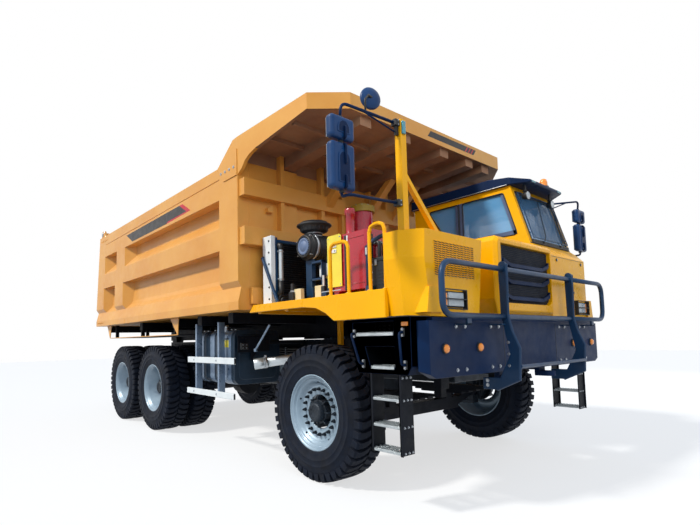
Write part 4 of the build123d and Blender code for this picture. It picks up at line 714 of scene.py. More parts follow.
    def repaint(self, finish: Finish, test: Callable[[Vector, Vector], bool]) -> "Shape":
        """Give the faces that pass a test another finish.

        Args:
            finish: The other finish.
            test: Takes a face's middle and its normal, and says whether it changes.

        Returns:
            This shape.
        """
        before = self.slot
        self.use(finish)
        for face in self.bm.faces:
            if test(face.calc_center_median(), face.normal):
                face.material_index = self.slot
        self.slot = before
        return self

    def both_sides(self) -> "Shape":
        """Mirror everything so far across the middle of the truck.

        Returns:
            This shape.
        """
        copy = self.bm.copy()
        bmesh.ops.scale(copy, vec=(-1, 1, 1), verts=copy.verts)
        bmesh.ops.reverse_faces(copy, faces=copy.faces)
        mesh = bpy.data.meshes.new("half")
        copy.to_mesh(mesh)
        copy.free()
        self.bm.from_mesh(mesh)
        bpy.data.meshes.remove(mesh)
        return self

    def turned(self, side: Side) -> "Shape":
        """Mirror a shape that was drawn for the left side, if it is for the right.

        Args:
            side: Side that the shape is for.

        Returns:
            This shape.
        """
        if side is Side.RIGHT:
            bmesh.ops.scale(self.bm, vec=(-1, 1, 1), verts=self.bm.verts)
            bmesh.ops.reverse_faces(self.bm, faces=self.bm.faces)
        return self

    def place(self, name: str, body: str, slot: str | None = None,
              replaces: Sequence[str] = ()) -> bpy.types.Object:
        """Finish the piece and hang it on its body.

        Args:
            name: Name of the piece.
            body: CAD body that it moves with.
            slot: Material slot of the record, if any; not used.
            replaces: CAD nodes that it stands for.

        Returns:
            The finished object.
        """
        mesh = bpy.data.meshes.new(name)
        self.bm.to_mesh(mesh)
        self.bm.free()
        for finish in self.finishes:
            mesh.materials.append(finish.material())
        piece = bpy.data.objects.new(name, mesh)
        bpy.context.scene.collection.objects.link(piece)
        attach(piece, body)
        if replaces:
            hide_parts(*replaces)
        LOG.info("%s on %s", name, body)
        return piece


def dress(finish: Finish, *nodes: str) -> None:
    """Give CAD nodes that stay in view their finish.

    Args:
        finish: Finish of the nodes.
        nodes: Names of the nodes.
    """
    for node in nodes:
        mesh = NODES[node].data
        mesh.materials.clear()
        mesh.materials.append(finish.material())


# Studio


@dataclass
class Studio:
    """Camera at the photograph's place, soft lamps and a pale floor."""

    eye: Point = (-4.57848, -3.59533, 1.37672)   # place from the front axle
    yaw: float = 0.6913
    pitch: float = 0.0769
    roll: float = -0.0203
    focal_px: float = 468.824
    centre_px: tuple[float, float] = (311.47, 303.57)
    sensor_mm: float = 36.0
    floor_half: float = 40.0
    key_watts: float = 700.0
    sky_light: float = 0.62
    sun_light: float = 3.4
    floor_grey: str = "8f9193"
    floor_lift: float = 0.66
    sun_spot: Point = (-9.0, 3.0, 11.0)
    sun_degrees: float = 6.0
    sun_colour: Point = (1.0, 0.95, 0.87)
    key_spot: Point = (-5.0, -13.0, 8.0)
    fill_spot: Point = (13.0, -4.0, 7.0)
    fill_share: float = 0.6              # of the key panel's power
    panel_size: float = 9.0
    aim_height: float = 1.5
    sky_low: str = "c9ced3"
    sky_high: str = "a9c8ea"

    def build(self) -> None:
        """Make the camera, the lamps and the floor."""
        self.camera()
        self.lamps()
        self.floor()

    def camera(self) -> None:
        """Put the camera where the photograph was taken from."""
        ahead = Vector((math.sin(self.yaw) * math.cos(self.pitch), math.cos(self.yaw) * math.cos(self.pitch),
                        math.sin(self.pitch)))
        level = Vector((math.cos(self.yaw), -math.sin(self.yaw), 0.0))
        up = level.cross(ahead)
        right = level * math.cos(self.roll) + up * math.sin(self.roll)
        top = up * math.cos(self.roll) - level * math.sin(self.roll)
        lens = bpy.data.cameras.new("photo_camera")
        lens.sensor_width = self.sensor_mm
        lens.lens = self.focal_px / PHOTO_WIDTH * self.sensor_mm
        lens.shift_x = (PHOTO_WIDTH / 2 - self.centre_px[0]) / PHOTO_WIDTH
        lens.shift_y = (self.centre_px[1] - PHOTO_HEIGHT / 2) / PHOTO_WIDTH
        lens.clip_end = 200.0
        camera = bpy.data.objects.new("photo_camera", lens)
        turn = Matrix((right, top, -ahead)).transposed().to_4x4()
        camera.matrix_world = Matrix.Translation((self.eye[0], front(self.eye[1]), self.eye[2])) @ turn
        bpy.context.scene.collection.objects.link(camera)
        bpy.context.scene.camera = camera

    def lamps(self) -> None:
        """A sun from the right rear, as in the photograph, a wide key panel and an even sky."""
        sun = bpy.data.lights.new("sun", "SUN")
        sun.energy = self.sun_light
        sun.angle = math.radians(self.sun_degrees)
        sun.color = self.sun_colour
        self.aim(sun, self.sun_spot, (0.0, 0.0, self.aim_height))
        key = bpy.data.lights.new("front_panel", "AREA")
        key.energy = self.key_watts
        key.size = self.panel_size
        self.aim(key, self.key_spot, at(0.0, 0.0, self.aim_height))
        fill = bpy.data.lights.new("left_panel", "AREA")
        fill.energy = self.key_watts * self.fill_share
        fill.size = self.panel_size
        self.aim(fill, self.fill_spot, (0.0, 0.0, self.aim_height))
        world = bpy.data.worlds.new("studio_sky")
        world.use_nodes = True
        tree = world.node_tree
        tree.nodes.clear()
        seen = self.seen_rays(tree)
        place = add_node(tree, "ShaderNodeTexCoord").outputs["Generated"]
        height = add_node(tree, "ShaderNodeSeparateXYZ", links={"Vector": place}).outputs["Z"]
        up = add_node(tree, "ShaderNodeMapRange", None, {"From Min": -0.05, "From Max": 0.5},
                      {"Value": height})
        sky = add_node(tree, "ShaderNodeMix", {"data_type": "RGBA"}, None, {"Factor": up.outputs["Result"]})
        sky.inputs[6].default_value = linear(self.sky_low)
        sky.inputs[7].default_value = linear(self.sky_high)
        lit = add_node(tree, "ShaderNodeBackground", None, {"Strength": self.sky_light},
                       {"Color": sky.outputs[2]})
        white = add_node(tree, "ShaderNodeBackground", None, {"Color": (1, 1, 1, 1), "Strength": 1.0})
        mix = add_node(tree, "ShaderNodeMixShader", None, None, {"Fac": seen})
        tree.links.new(lit.outputs["Background"], mix.inputs[1])
        tree.links.new(white.outputs["Background"], mix.inputs[2])
        add_node(tree, "ShaderNodeOutputWorld", links={"Surface": mix.outputs["Shader"]})
        bpy.context.scene.world = world

    @staticmethod
    def seen_rays(tree: bpy.types.NodeTree) -> bpy.types.NodeSocket:
        """Tell the rays of the camera, of mirrors and of panes from the rays that light.

        Args:
            tree: Node tree of the world or material.

        Returns:
            The socket, which is 1 for the rays that see.
        """
        path = add_node(tree, "ShaderNodeLightPath")
        two = add_node(tree, "ShaderNodeMath", {"operation": "MAXIMUM"}, None,
                       {0: path.outputs["Is Camera Ray"], 1: path.outputs["Is Transmission Ray"]})
        three = add_node(tree, "ShaderNodeMath", {"operation": "MAXIMUM"}, None,
                         {0: two.outputs["Value"], 1: path.outputs["Is Glossy Ray"]})
        return three.outputs["Value"]

    @staticmethod
    def aim(light: bpy.types.Light, spot: Point, target: Point) -> None:
        """Hang a lamp at a spot, facing a target.

        Args:
            light: Lamp to hang.
            spot: Where it hangs.
            target: Point that it faces.
        """
        lamp = bpy.data.objects.new(light.name, light)
        lamp.location = spot
        lamp.rotation_euler = (Vector(target) - Vector(spot)).to_track_quat("-Z", "Y").to_euler()
        lamp.visible_glossy = light.type == "SUN"
        bpy.context.scene.collection.objects.link(lamp)

    def floor(self) -> None:
        """A wide pale floor that shows white but keeps the truck's shadow."""
        bm = bmesh.new()
        bmesh.ops.create_grid(bm, x_segments=1, y_segments=1, size=self.floor_half)
        mesh = bpy.data.meshes.new("studio_floor")
        bm.to_mesh(mesh)
        bm.free()
        mat = bpy.data.materials.new("pale_studio_floor")
        mat.use_nodes = True
        tree = mat.node_tree
        tree.nodes.clear()
        diffuse = add_node(tree, "ShaderNodeBsdfDiffuse", None, {"Color": linear(self.floor_grey)})
        lift = add_node(tree, "ShaderNodeMath", {"operation": "MULTIPLY"}, {1: self.floor_lift},
                        {0: self.seen_rays(tree)})
        glow = add_node(tree, "ShaderNodeEmission", None, {"Color": (1, 1, 1, 1)},
                        {"Strength": lift.outputs["Value"]})
        both = add_node(tree, "ShaderNodeAddShader")
        tree.links.new(diffuse.outputs["BSDF"], both.inputs[0])
        tree.links.new(glow.outputs["Emission"], both.inputs[1])
        add_node(tree, "ShaderNodeOutputMaterial", links={"Surface": both.outputs["Shader"]})
        mesh.materials.append(mat)
        floor = bpy.data.objects.new("studio_floor", mesh)
        bpy.context.scene.collection.objects.link(floor)


# Wheels


@dataclass
class Wheel:
    """One wheel, turned from the real section of a rock tyre on a lock-ring rim."""

    centre: Point
    side: Side
    dish: float              # how deep the disc lies behind the rim's outer edge
    radius: float = 0.664    # over the lugs
    lug_depth: float = 0.032
    half: float = 0.188
    rim: float = 0.3655
    lugs: int = 44
    nuts: int = 20
    nut_circle: float = 0.222
    hub_open: float = 0.165
    rim_half: float = 0.165

    def tyre(self, shape: Shape) -> None:
        """Turn the carcass and set the shoulder and middle lugs round it.

        Args:
            shape: Mesh that takes the tyre.
        """
        out, base = self.side.value, self.radius - self.lug_depth
        h = self.half
        wall = [(0.155, self.rim - 0.001), (0.168, self.rim + 0.004), (0.172, self.rim + 0.022),
                (0.18, self.rim + 0.045), (h - 0.001, self.rim + 0.085), (h + 0.001, self.rim + 0.087),
                (h + 0.001, self.rim + 0.093), (h - 0.001, self.rim + 0.096), (h, self.rim + 0.14),
                (h + 0.002, self.rim + 0.142), (h + 0.002, self.rim + 0.152), (h - 0.001, self.rim + 0.154),
                (h - 0.006, self.rim + 0.19), (h - 0.016, base - 0.052), (h - 0.019, base - 0.042),
                (h - 0.027, base - 0.014), (h - 0.045, base), (0.07, base + 0.003)]
        profile = wall + [(-x, r) for x, r in reversed(wall)]
        shape.use(TYRE_RUBBER).lathe([(x * out, r) for x, r in profile], self.centre, steps=96)
        lug = self.lug_mesh()
        for row in (1, -1):
            for i in range(self.lugs):
                angle = math.tau * (i + (0.5 if row < 0 else 0.0)) / self.lugs
                turn = Matrix.Translation(self.centre) @ Matrix.Rotation(angle, 4, "X") @ Matrix.Diagonal(
                    (row, 1.0, 1.0, 1.0))
                bm = lug.copy()
                bmesh.ops.transform(bm, matrix=turn, verts=bm.verts)
                shape.keep(bm)
        lug.free()

    def lug_mesh(self) -> bmesh.types.BMesh:
        """Make one curved shoulder lug at the top of the tyre.

        Returns:
            Its mesh, with a sloping end on the sidewall.
        """
        base, top = self.radius - self.lug_depth, self.radius
        pitch = math.tau * base / self.lugs
        w = pitch * 0.36
        h = self.half
        bm = bmesh.new()
        # Stations from the middle of the tread to the sidewall: x, shift round the tyre, low and high radius
        stations = (
            (0.008, 0.45, base - 0.004, top - 0.003), (0.055, 0.12, base - 0.004, top),
            (0.11, -0.02, base - 0.006, top - 0.001), (h - 0.028, -0.05, base - 0.03, top - 0.006),
            (h - 0.013, -0.05, base - 0.052, top - 0.022), (h - 0.01, -0.05, base - 0.056, base - 0.05),
        )
        rings = []
        for x, shift, low, high in stations:
            y = shift * pitch
            rings.append([bm.verts.new(p) for p in ((x, y - w, low), (x, y + w, low), (x, y + w * 0.86, high),
                                                    (x, y - w * 0.86, high))])
        for ring in rings:
            for i in range(4):
                bm.edges.new((ring[i], ring[(i + 1) % 4]))
        for a, b in zip(rings, rings[1:]):
            edges = [e for ring in (a, b) for e in bm.edges if all(v in ring for v in e.verts)]
            bmesh.ops.bridge_loops(bm, edges=edges)
        for ring in (rings[0], rings[-1]):
            bm.faces.new(ring)
        return bm

    def rims(self, shape: Shape) -> None:
        """Turn the rim with its lock ring, dish and disc, and set its nuts.

        Args:
            shape: Mesh that takes the rim.
        """
        out, r = self.side.value, self.rim
        depth = self.rim_half - self.dish
        section = [(-0.165, r - 0.014), (-0.168, r + 0.002), (-0.16, r + 0.004), (-0.15, r - 0.004),
                   (0.15, r - 0.004), (0.158, r + 0.006), (0.167, r + 0.006), (0.169, r - 0.004),
                   (0.164, r - 0.012), (0.15, r - 0.018), (0.152, r - 0.024), (0.146, r - 0.032),
                   (0.13, r - 0.038), (0.128, r - 0.046), (depth + 0.045, r - 0.062),
                   (depth + 0.018, r - 0.078), (depth + 0.002, r - 0.098), (depth, r - 0.104),
                   (depth, self.hub_open + 0.004), (depth - 0.004, self.hub_open),
                   (depth - 0.022, self.hub_open), (depth - 0.022, r - 0.1), (depth - 0.002, r - 0.076),
                   (0.1, r - 0.05), (0.12, r - 0.03), (0.12, r - 0.014), (-0.165, r - 0.014)]
        shape.use(RIM_ENAMEL).lathe([(x * out, rr) for x, rr in section], self.centre, steps=72)
        cx, cy, cz = self.centre
        face = cx + out * depth
        for y, z in circle(self.nuts, self.nut_circle, cy, cz):
            shape.use(HUB_IRON).rod((face, y, z), (face + out * 0.006, y, z), 0.019, sides=12)
            shape.rod((face + out * 0.006, y, z), (face + out * 0.028, y, z), 0.0155, sides=6, edge=0.002)
            shape.rod((face + out * 0.028, y, z), (face + out * 0.042, y, z), 0.009, sides=8)
        slope = cx + out * (depth + 0.03)
        for y, z in circle(5, r - 0.072, cy, cz, 0.3):
            shape.use(HUB_IRON).rod((slope - out * 0.012, y, z), (slope + out * 0.004, y, z), 0.009, sides=10)

    def hub(self, shape: Shape, reach: float) -> None:
        """Turn the ribbed hub drum behind the disc and its cap.

        Args:
            shape: Mesh that takes the hub.
            reach: Place of the cap's face, from the wheel's middle.
        """
        out = self.side.value
        depth = self.rim_half - self.dish
        cx, cy, cz = self.centre
        back = depth - 0.11
        drum = [(back, 0.16), (back, 0.105), (reach - 0.05, 0.098), (reach - 0.012, 0.092),
                (reach - 0.004, 0.084), (reach, 0.07), (reach - 0.012, 0.05), (reach - 0.012, 0.001)]
        shape.use(HUB_IRON).lathe([(x * out, r) for x, r in drum], self.centre, steps=40)
        for i in range(8):
            angle = math.tau * i / 8
            bm = bmesh.new()
            bmesh.ops.create_cube(bm, size=1.0, matrix=Matrix.Translation((cx, cy, cz))
                                  @ Matrix.Rotation(angle, 4, "X")
                                  @ Matrix.Translation((out * (back + reach - 0.05) / 2, 0, 0.125))
                                  @ Matrix.Diagonal((abs(reach - 0.05 - back), 0.012, 0.06, 1.0)))
            shape.keep(bm, 0.002)
        for y, z in circle(8, 0.062, cy, cz, 0.5):
            shape.bolt((cx + out * (reach - 0.012), y, z), (out, 0, 0), 0.008)


@dataclass
class Wheels:
    """All six stations; a twin station is one body with two tyres."""

    twin_pitch: float = 0.442
    twin_inset: float = 0.19             # outer tyre's middle from the station's outer face
    front_dish: float = 0.088
    twin_dish: float = 0.27
    front_hub: float = 0.16              # hub cap's face from the wheel's middle
    twin_hub: float = 0.07

    def build(self) -> None:
        """Make the front wheels and the four twin stations."""
        for side in Side:
            self.front(side)
            for axle in ("mid", "rear"):
                self.twin(side, axle)

    @staticmethod
    def middle(node: str) -> Point:
        """Middle of a CAD node's box."""
        lo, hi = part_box(node)
        return tuple((lo + hi) / 2)

    def front(self, side: Side) -> None:
        """Make one steered wheel.

        Args:
            side: Side of the truck.
        """
        wheel = Wheel(self.middle(f"tyre_front_{side.word}"), side, dish=self.front_dish)
        rubber, metal = Shape(TYRE_RUBBER), Shape(RIM_ENAMEL, HUB_IRON)
        wheel.tyre(rubber)
        wheel.rims(metal)
        wheel.hub(metal, self.front_hub)
        body = f"wheel_front_{side.word}"
        rubber.place(f"front_tyre_{side.word}", body, "tyre_rubber", [f"tyre_front_{side.word}"])
        metal.place(f"front_rim_{side.word}", body, "rim_paint", [f"rim_front_{side.word}"])

    def twin(self, side: Side, axle: str) -> None:
        """Make one twin station.

        Args:
            side: Side of the truck.
            axle: Its axle, mid or rear.
        """
        lo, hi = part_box(f"tyres_{axle}_{side.word}")
        outer_x = (hi.x - self.twin_inset) if side is Side.LEFT else (lo.x + self.twin_inset)
        outer = Wheel((outer_x, (lo.y + hi.y) / 2, (lo.z + hi.z) / 2), side, dish=self.twin_dish)
        inner = Wheel((outer_x - side.value * self.twin_pitch, outer.centre[1], outer.centre[2]),
                      Side(-side.value), dish=self.twin_dish)
        rubber, metal = Shape(TYRE_RUBBER), Shape(RIM_ENAMEL, HUB_IRON)
        outer.tyre(rubber)
        inner.tyre(rubber)
        outer.rims(metal)
        inner.rims(metal)
        outer.hub(metal, self.twin_hub)
        body = f"wheels_{axle}_{side.word}"
        rubber.place(f"{axle}_tyres_{side.word}", body, "tyre_rubber", [f"tyres_{axle}_{side.word}"])
        metal.place(f"{axle}_rims_{side.word}", body, "rim_paint", [f"rims_{axle}_{side.word}"])


# Rock body


@dataclass
class Bed:
    """Rock body: pressed side walls, headboard, canopy over the cab, and the gear under the floor."""

    half: float = 1.852                  # posts' face from the middle
    wall: float = 0.15                   # from the posts' face in to the side sheet
    top: float = 3.47
    canopy_front: float = -0.425
    front_wall: float = 0.993
    band_bolts: Range = (6.18, 6.52)
    gate_pivot: tuple[float, float] = (6.33, 3.59)
    beams: Sequence[float] = (-1.145, -0.505, 0.22, 0.76, 1.145)

    def build(self) -> None:
        """Make every piece that tips with the body."""
        self.sides()
        self.shell()
        self.headboard()
        self.canopy()
        self.bands()
        self.under()
        self.gate()

    def sides(self) -> None:
        """Side pressings with rounded folds, weld seams and the bolts of the tail."""
        shape = Shape(BODY_OCHRE).cad("bed_side_frames", 0.007)
        lines = Shape(BODY_OCHRE)
        x = self.half
        for y in (1.2, 4.9):
            lines.rod(at(x - 0.001, y, 1.8), at(x - 0.001, y, 1.735), 0.005, sides=8)
        lines.bolts(at(x, self.band_bolts[0], 1.79), at(x, self.band_bolts[1], 1.79), 5, LEFT, 0.013)
        lines.bolts(at(x, 5.98, 3.42), at(x, 6.32, 3.425), 4, LEFT, 0.014)
        for z in (2.09, 2.47, 2.74, 3.1):
            lines.rod(at(x - self.wall + 0.004, 1.45, z), at(x - self.wall + 0.004, 5.9, z), 0.006, sides=8)
        lines.both_sides()
        shape.place("side_pressings", "bed", "bed_paint", ["bed_side_frames"])
        lines.place("side_welds", "bed", "bed_paint")

    def shell(self) -> None:
        """Floor and walls of the body, scuffed inside."""
        shape = Shape(BODY_OCHRE).cad("bed_shell", 0.005)
        inside = self.half - self.wall - 0.03
        shape.repaint(BODY_INSIDE, lambda c, n: abs(c.x) < inside and front(self.front_wall) + 0.03 < c.y
                      and 1.75 < c.z < self.top - 0.02)
        shape.place("body_shell", "bed", "bed_paint", ["bed_shell"])

    def headboard(self) -> None:
        """Beams and posts of the front wall, with their welds and lifting lugs."""
        shape = Shape(BODY_OCHRE).cad("bed_headboard", 0.006)
        y = front(self.front_wall)
        for side in (-1, 1):
            for z in (2.473, 2.678, 3.04, 3.24):
                shape.rod((side * 0.26, y - 0.002, z), (side * 1.7, y - 0.002, z), 0.006, sides=8)
            for z in (2.1, 2.9):
                shape.plate([(side * 1.4, z), (side * 1.47, z), (side * 1.47, z + 0.05),
                             (side * 1.4, z + 0.09)], "y", y - 0.06, y, 0.003)
        shape.place("headboard_beams", "bed", "bed_paint", ["bed_headboard"])

    def canopy(self) -> None:
        """Canopy tray: bright skin outside, and a darker ochre of painted shade and some grime on its
        underside.
        """
        shape = Shape(BODY_OCHRE).cad("bed_canopy", 0.006)
        low, high = 3.617, 3.648
        slope = (high - low) / (self.front_wall - self.canopy_front)
        # Faces under the canopy take the darker ochre, which paints in their shade along with some grime.
        shape.repaint(BODY_SHADE, lambda c, n: c.z < low + 0.02 + slope * (front(self.front_wall) - c.y)
                      and abs(c.x) < 1.8 and c.y < front(self.front_wall) + 0.01
                      and c.y > front(self.canopy_front) + 0.035)
        for x in self.beams:
            for side in (-0.084, 0.084):
                a = (x + side, front(self.canopy_front) + 0.06, 3.646)
                b = (x + side, front(self.front_wall) - 0.02, 3.617)
                # The welds under the canopy carry the same painted shade.
                shape.use(BODY_SHADE).rod(a, b, 0.005, sides=6)
        bolts = Shape(ZINC)
        bolts.bolts(at(self.half + 0.01, 1.06, 3.4), at(self.half + 0.01, 1.36, 3.4), 4, LEFT, 0.014)
        bolts.both_sides()
        shape.place("canopy_tray", "bed", "bed_paint", ["bed_canopy"])
        bolts.place("canopy_bolts", "bed", "aluminium")

    def bands(self) -> None:
        """Plain dark bands with a red edge: two on the sides and one on the canopy."""
        shape = Shape(BLACK_VINYL, RED_VINYL)
        x = self.half
        red = [(2.62, 3.303), (2.476, 3.3), (2.227, 3.156), (3.049, 3.133)]
        black = [(4.822, 3.29), (4.516, 3.131), (3.049, 3.1335), (2.99, 3.158), (2.36, 3.172), (2.59, 3.302)]
        shape.use(RED_VINYL).plate(behind(red), "x", x - 0.001, x + 0.0008, 0.0)
        shape.use(BLACK_VINYL).plate(behind(black), "x", x - 0.001, x + 0.0014, 0.0)
        shape.both_sides()
        y = front(self.canopy_front)
        fascia = [(-0.16, 3.7), (-0.1, 3.775), (0.86, 3.775), (0.8, 3.7)]
        shape.use(BLACK_VINYL).plate(fascia, "y", y - 0.0012, y + 0.001, 0.0)
        for i in range(3):
            foot = 0.6 + i * 0.065
            stripe = [(foot, 3.701), (foot + 0.058, 3.774), (foot + 0.08, 3.774), (foot + 0.022, 3.701)]
            shape.use(RED_VINYL).plate(stripe, "y", y - 0.0018, y - 0.001, 0.0)
        shape.place("body_bands", "bed", "bed_paint")

    @staticmethod
    def under() -> None:
        """Subframe, and mudguards that are dark inside."""
        Shape(CHASSIS_BLACK).cad("bed_subframe", 0.004).place("body_subframe", "bed", "frame_black",
                                                             ["bed_subframe"])
        shape = Shape(BODY_OCHRE).cad("mudguards", 0.003)
        shape.repaint(CHASSIS_BLACK, lambda c, n: abs(c.x) < 1.74)
        shape.place("wheel_guards", "bed", "bed_paint", ["mudguards"])

    def gate(self) -> None:
        """Tailgate with rounded ribs, and the hinge pins' end plates."""
        shape = Shape(BODY_OCHRE).cad("tailgate", 0.007)
        y, z = self.gate_pivot
        for side in (-1, 1):
            shape.use(ZINC).rod(at(side * 1.826, y, z), at(side * 1.842, y, z), 0.045, sides=28, edge=0.003)
            for a, b in circle(4, 0.03, front(y), z, 0.5):
                shape.bolt((side * 1.842, a, b), (side, 0, 0), 0.006, 0.006)
        shape.place("tail_gate", "tailgate", "bed_paint", ["tailgate"])


# Front end


@dataclass
class FrontEnd:
    """Cowl with its louvres, lamps, grille, bonnet panel, bumper, guard tubes, steps and ladders."""

    face: float = -1.4                 # cowl's front face behind the front axle
    grille_face: float = -1.425
    bumper_face: float = -1.424
    vent_x: Range = (0.934, 1.501)
    vent_z: Range = (1.863, 2.143)
    vent_rows: int = 16
    vent_slots: int = 11
    lamp_x: Range = (1.138, 1.423)
    lamp_z: Range = (1.616, 1.742)
    guard_y: float = -1.523
    guard_half: float = 1.591
    guard_z: Range = (1.542, 1.96)
    guard_tube: float = 0.024
    plate_x: float = 0.683
    step_x: Range = (1.44, 1.745)

    def build(self) -> None:
        """Make every piece of the front end."""
        self.cowl()
        self.left_panel()
        self.lamps()
        self.grille()
        self.bumper()
        self.guard()
        self.step_housings()
        self.ladders()

    def cowl(self) -> None:
        """Faceted cowl with its louvred air inlet and the mirror post."""
        shape = Shape(CAB_YELLOW).cad("right_cowl", 0.005)
        y = front(self.face)
        (x0, x1), (z0, z1) = self.vent_x, self.vent_z
        shape.block((-x1 - 0.006, -x0 + 0.006), (y - 0.0015, y + 0.03), (z0 - 0.006, z1 + 0.006), 0.001)
        pitch_x, pitch_z = (x1 - x0) / self.vent_slots, (z1 - z0) / self.vent_rows
        for row in range(self.vent_rows):
            z = z0 + (row + 0.5) * pitch_z
            for column in range(self.vent_slots):
                x = -x1 + (column + 0.5) * pitch_x
                slot = [(x - 0.023, z - 0.001), (x + 0.023, z - 0.007), (x + 0.023, z),
                        (x - 0.023, z + 0.006)]
                shape.use(BLACK_PLASTIC).plate(slot, "y", y - 0.0025, y, 0.0)
                lip = [(x - 0.024, z + 0.005), (x + 0.024, z - 0.001), (x + 0.024, z + 0.003),
                       (x - 0.024, z + 0.009)]
                shape.use(CAB_YELLOW).plate(lip, "y", y - 0.008, y, 0.0)
        x = -self.step_x[1] + 0.045
        shape.use(BLACK_PLASTIC).block((x - 0.145, x + 0.3), (y + 0.01, y + 0.2), (1.536, 1.542), 0.0)
        shape.place("cowl", "chassis", "cab_paint", ["right_cowl"])
        post = Shape(ZINC)
        for z in (2.437, 3.09):
            for dz in (-0.016, 0.016):
                post.bolt(at(-1.7, -1.245, z + dz), RIGHT, 0.008)
        post.use(TEAL_LENS).block((-1.694, -1.654), span(-1.294, -1.276), (3.0, 3.108), 0.006, 2)
        post.place("mirror_post_bolts", "chassis", "aluminium")

    def left_panel(self) -> None:
        """Bonnet panel under the windscreen, with its split line, latches and handle."""
        shape = Shape(CAB_YELLOW).cad("left_panel", 0.006)
        y = front(self.face)
        shape.use(BLACK_PLASTIC).block((0.6, 1.44), (y - 0.0012, y + 0.01), (2.222, 2.226), 0.0)
        for x in (0.72, 1.36):
            shape.rod((x, y + 0.012, 2.19), (x, y - 0.008, 2.19), 0.017, sides=20, edge=0.002)
            shape.use(ZINC).rod((x, y - 0.008, 2.19), (x, y - 0.01, 2.19), 0.009, sides=12)
            shape.use(BLACK_PLASTIC)
        shape.block((1.02, 1.1), (y - 0.022, y + 0.01), (1.835, 1.86), 0.006)
        shape.place("bonnet_panel", "chassis", "cab_paint", ["left_panel"])

    def lamps(self) -> None:
        """Headlamps: black case, two clear lenses over bright bowls, and an amber outer strip."""
        case, glass = Shape(BLACK_PLASTIC), Shape(LENS)
        case.cad("headlamps", 0.003)
        bright = Shape(REFLECTOR, AMBER, BLACK_PLASTIC)
        y = front(self.face) - 0.0065
        (x0, x1), (z0, z1) = self.lamp_x, self.lamp_z
        mid = (z0 + z1) / 2
        for low, high in ((z0 + 0.01, mid - 0.003), (mid + 0.003, z1 - 0.01)):
            a, b = x0 + 0.014, x1 - 0.062
            bright.use(REFLECTOR).block((a, b), (y - 0.004, y), (low, high), 0.004)
            for i in range(2):
                cx = a + (b - a) * (0.28 + 0.44 * i)
                cz = (low + high) / 2
                bowl = [(0.001, 0.025), (0.007, 0.023), (0.003, 0.014), (0.0015, 0.0005)]
                bright.lathe(bowl, (cx, y - 0.004, cz), AHEAD, 24)
                bright.ball((cx, y - 0.008, cz), (0.007, 0.005, 0.007), 2)
            glass.block((a - 0.002, b + 0.002), (y - 0.019, y - 0.013), (low - 0.002, high + 0.002), 0.003, 2)
        bright.use(AMBER).block((x1 - 0.052, x1 - 0.016), (y - 0.012, y), (z0 + 0.014, z1 - 0.014), 0.004, 2)
        frame_line = [(x0 + 0.004, z0 + 0.004), (x1 - 0.004, z0 + 0.004), (x1 - 0.004, z1 - 0.004),
                      (x0 + 0.004, z1 - 0.004)]
        for a, b in zip(frame_line, frame_line[1:] + frame_line[:1]):
            case.rod((a[0], y - 0.006, a[1]), (b[0], y - 0.006, b[1]), 0.006, sides=8)
            case.rod((-a[0], y - 0.006, a[1]), (-b[0], y - 0.006, b[1]), 0.006, sides=8)
        case.place("headlamp_cases", "chassis", "black_plastic", ["headlamps"])
        bright.both_sides().place("headlamp_bowls", "chassis", "aluminium")
        glass.both_sides().place("headlamp_lenses", "chassis", "glass")

    def grille(self) -> None:
        """Housing, shelf slats with folded ends and the fine mesh between them."""
        Shape(CAB_YELLOW).cad("grille_housing", 0.005).place("grille_frame", "chassis", "cab_paint",
                                                             ["grille_housing"])
        shape = Shape(NAVY_STEEL, BLACK_PLASTIC).cad("grille", 0.003)
        y = front(self.grille_face)
        shape.use(BLACK_PLASTIC)
        for i in range(56):
            x = -0.495 + i * 0.018
            low = 1.69 + max(0.0, abs(x) - 0.44) * 0.6
            shape.rod((x, y + 0.038, low), (x, y + 0.038, 2.225), 0.0022, sides=4)
        for i in range(30):
            z = 1.696 + i * 0.018
            shape.rod((-0.497, y + 0.0365, z), (0.497, y + 0.0365, z), 0.0022, sides=4)
        for z in (1.748, 1.902, 2.061):
            for side in (-1, 1):
                wing = [(side * 0.32, z + 0.001), (side * 0.46, z + 0.043), (side * 0.492, z + 0.075),
                        (side * 0.492, z + 0.02)]
                shape.use(NAVY_STEEL).plate(wing, "y", y + 0.012, y + 0.036, 0.002)
        shape.place("grille_slats", "chassis", "steel_blue", ["grille"])

    def bumper(self) -> None:
        """Pressed beam with a step strip, seams, round amber markers and bolts."""
        shape = Shape(NAVY_STEEL).cad("bumper", 0.007)
        y = front(self.bumper_face)
        for x in (-0.53, 0.53):
            shape.use(BLACK_PLASTIC).block(about(x, 0.003), (y - 0.0012, y + 0.01), (1.066, 1.5), 0.0)
        shape.use(TREAD_ALUMINIUM)
        for i in range(46):
            x = -0.62 + i * 0.0275
            shape.block(about(x, 0.01), (y + 0.016, y + 0.066), (1.5325, 1.5365), 0.0015)
        marker = Shape(BLACK_PLASTIC, AMBER, ZINC)
        for x, z in ((1.44, 1.285), (0.95, 1.285)):
            marker.use(BLACK_PLASTIC).rod((x, y + 0.002, z), (x, y - 0.014, z), 0.043, 0.04, sides=32,
                                          edge=0.003)
            dome = [(0.0, 0.034), (0.008, 0.033), (0.016, 0.026), (0.021, 0.012), (0.022, 0.0005)]
            marker.use(AMBER).lathe(dome, (x, y - 0.014, z), AHEAD, 32)
        marker.use(ZINC)
        for x in (0.62, 0.75, 1.15, 1.28):
            for z in (1.11, 1.46):
                marker.bolt((x, y, z), AHEAD, 0.012)
        marker.both_sides().place("bumper_markers", "chassis", "black_plastic")
        shape.place("bumper_beam", "chassis", "steel_blue", ["bumper"])

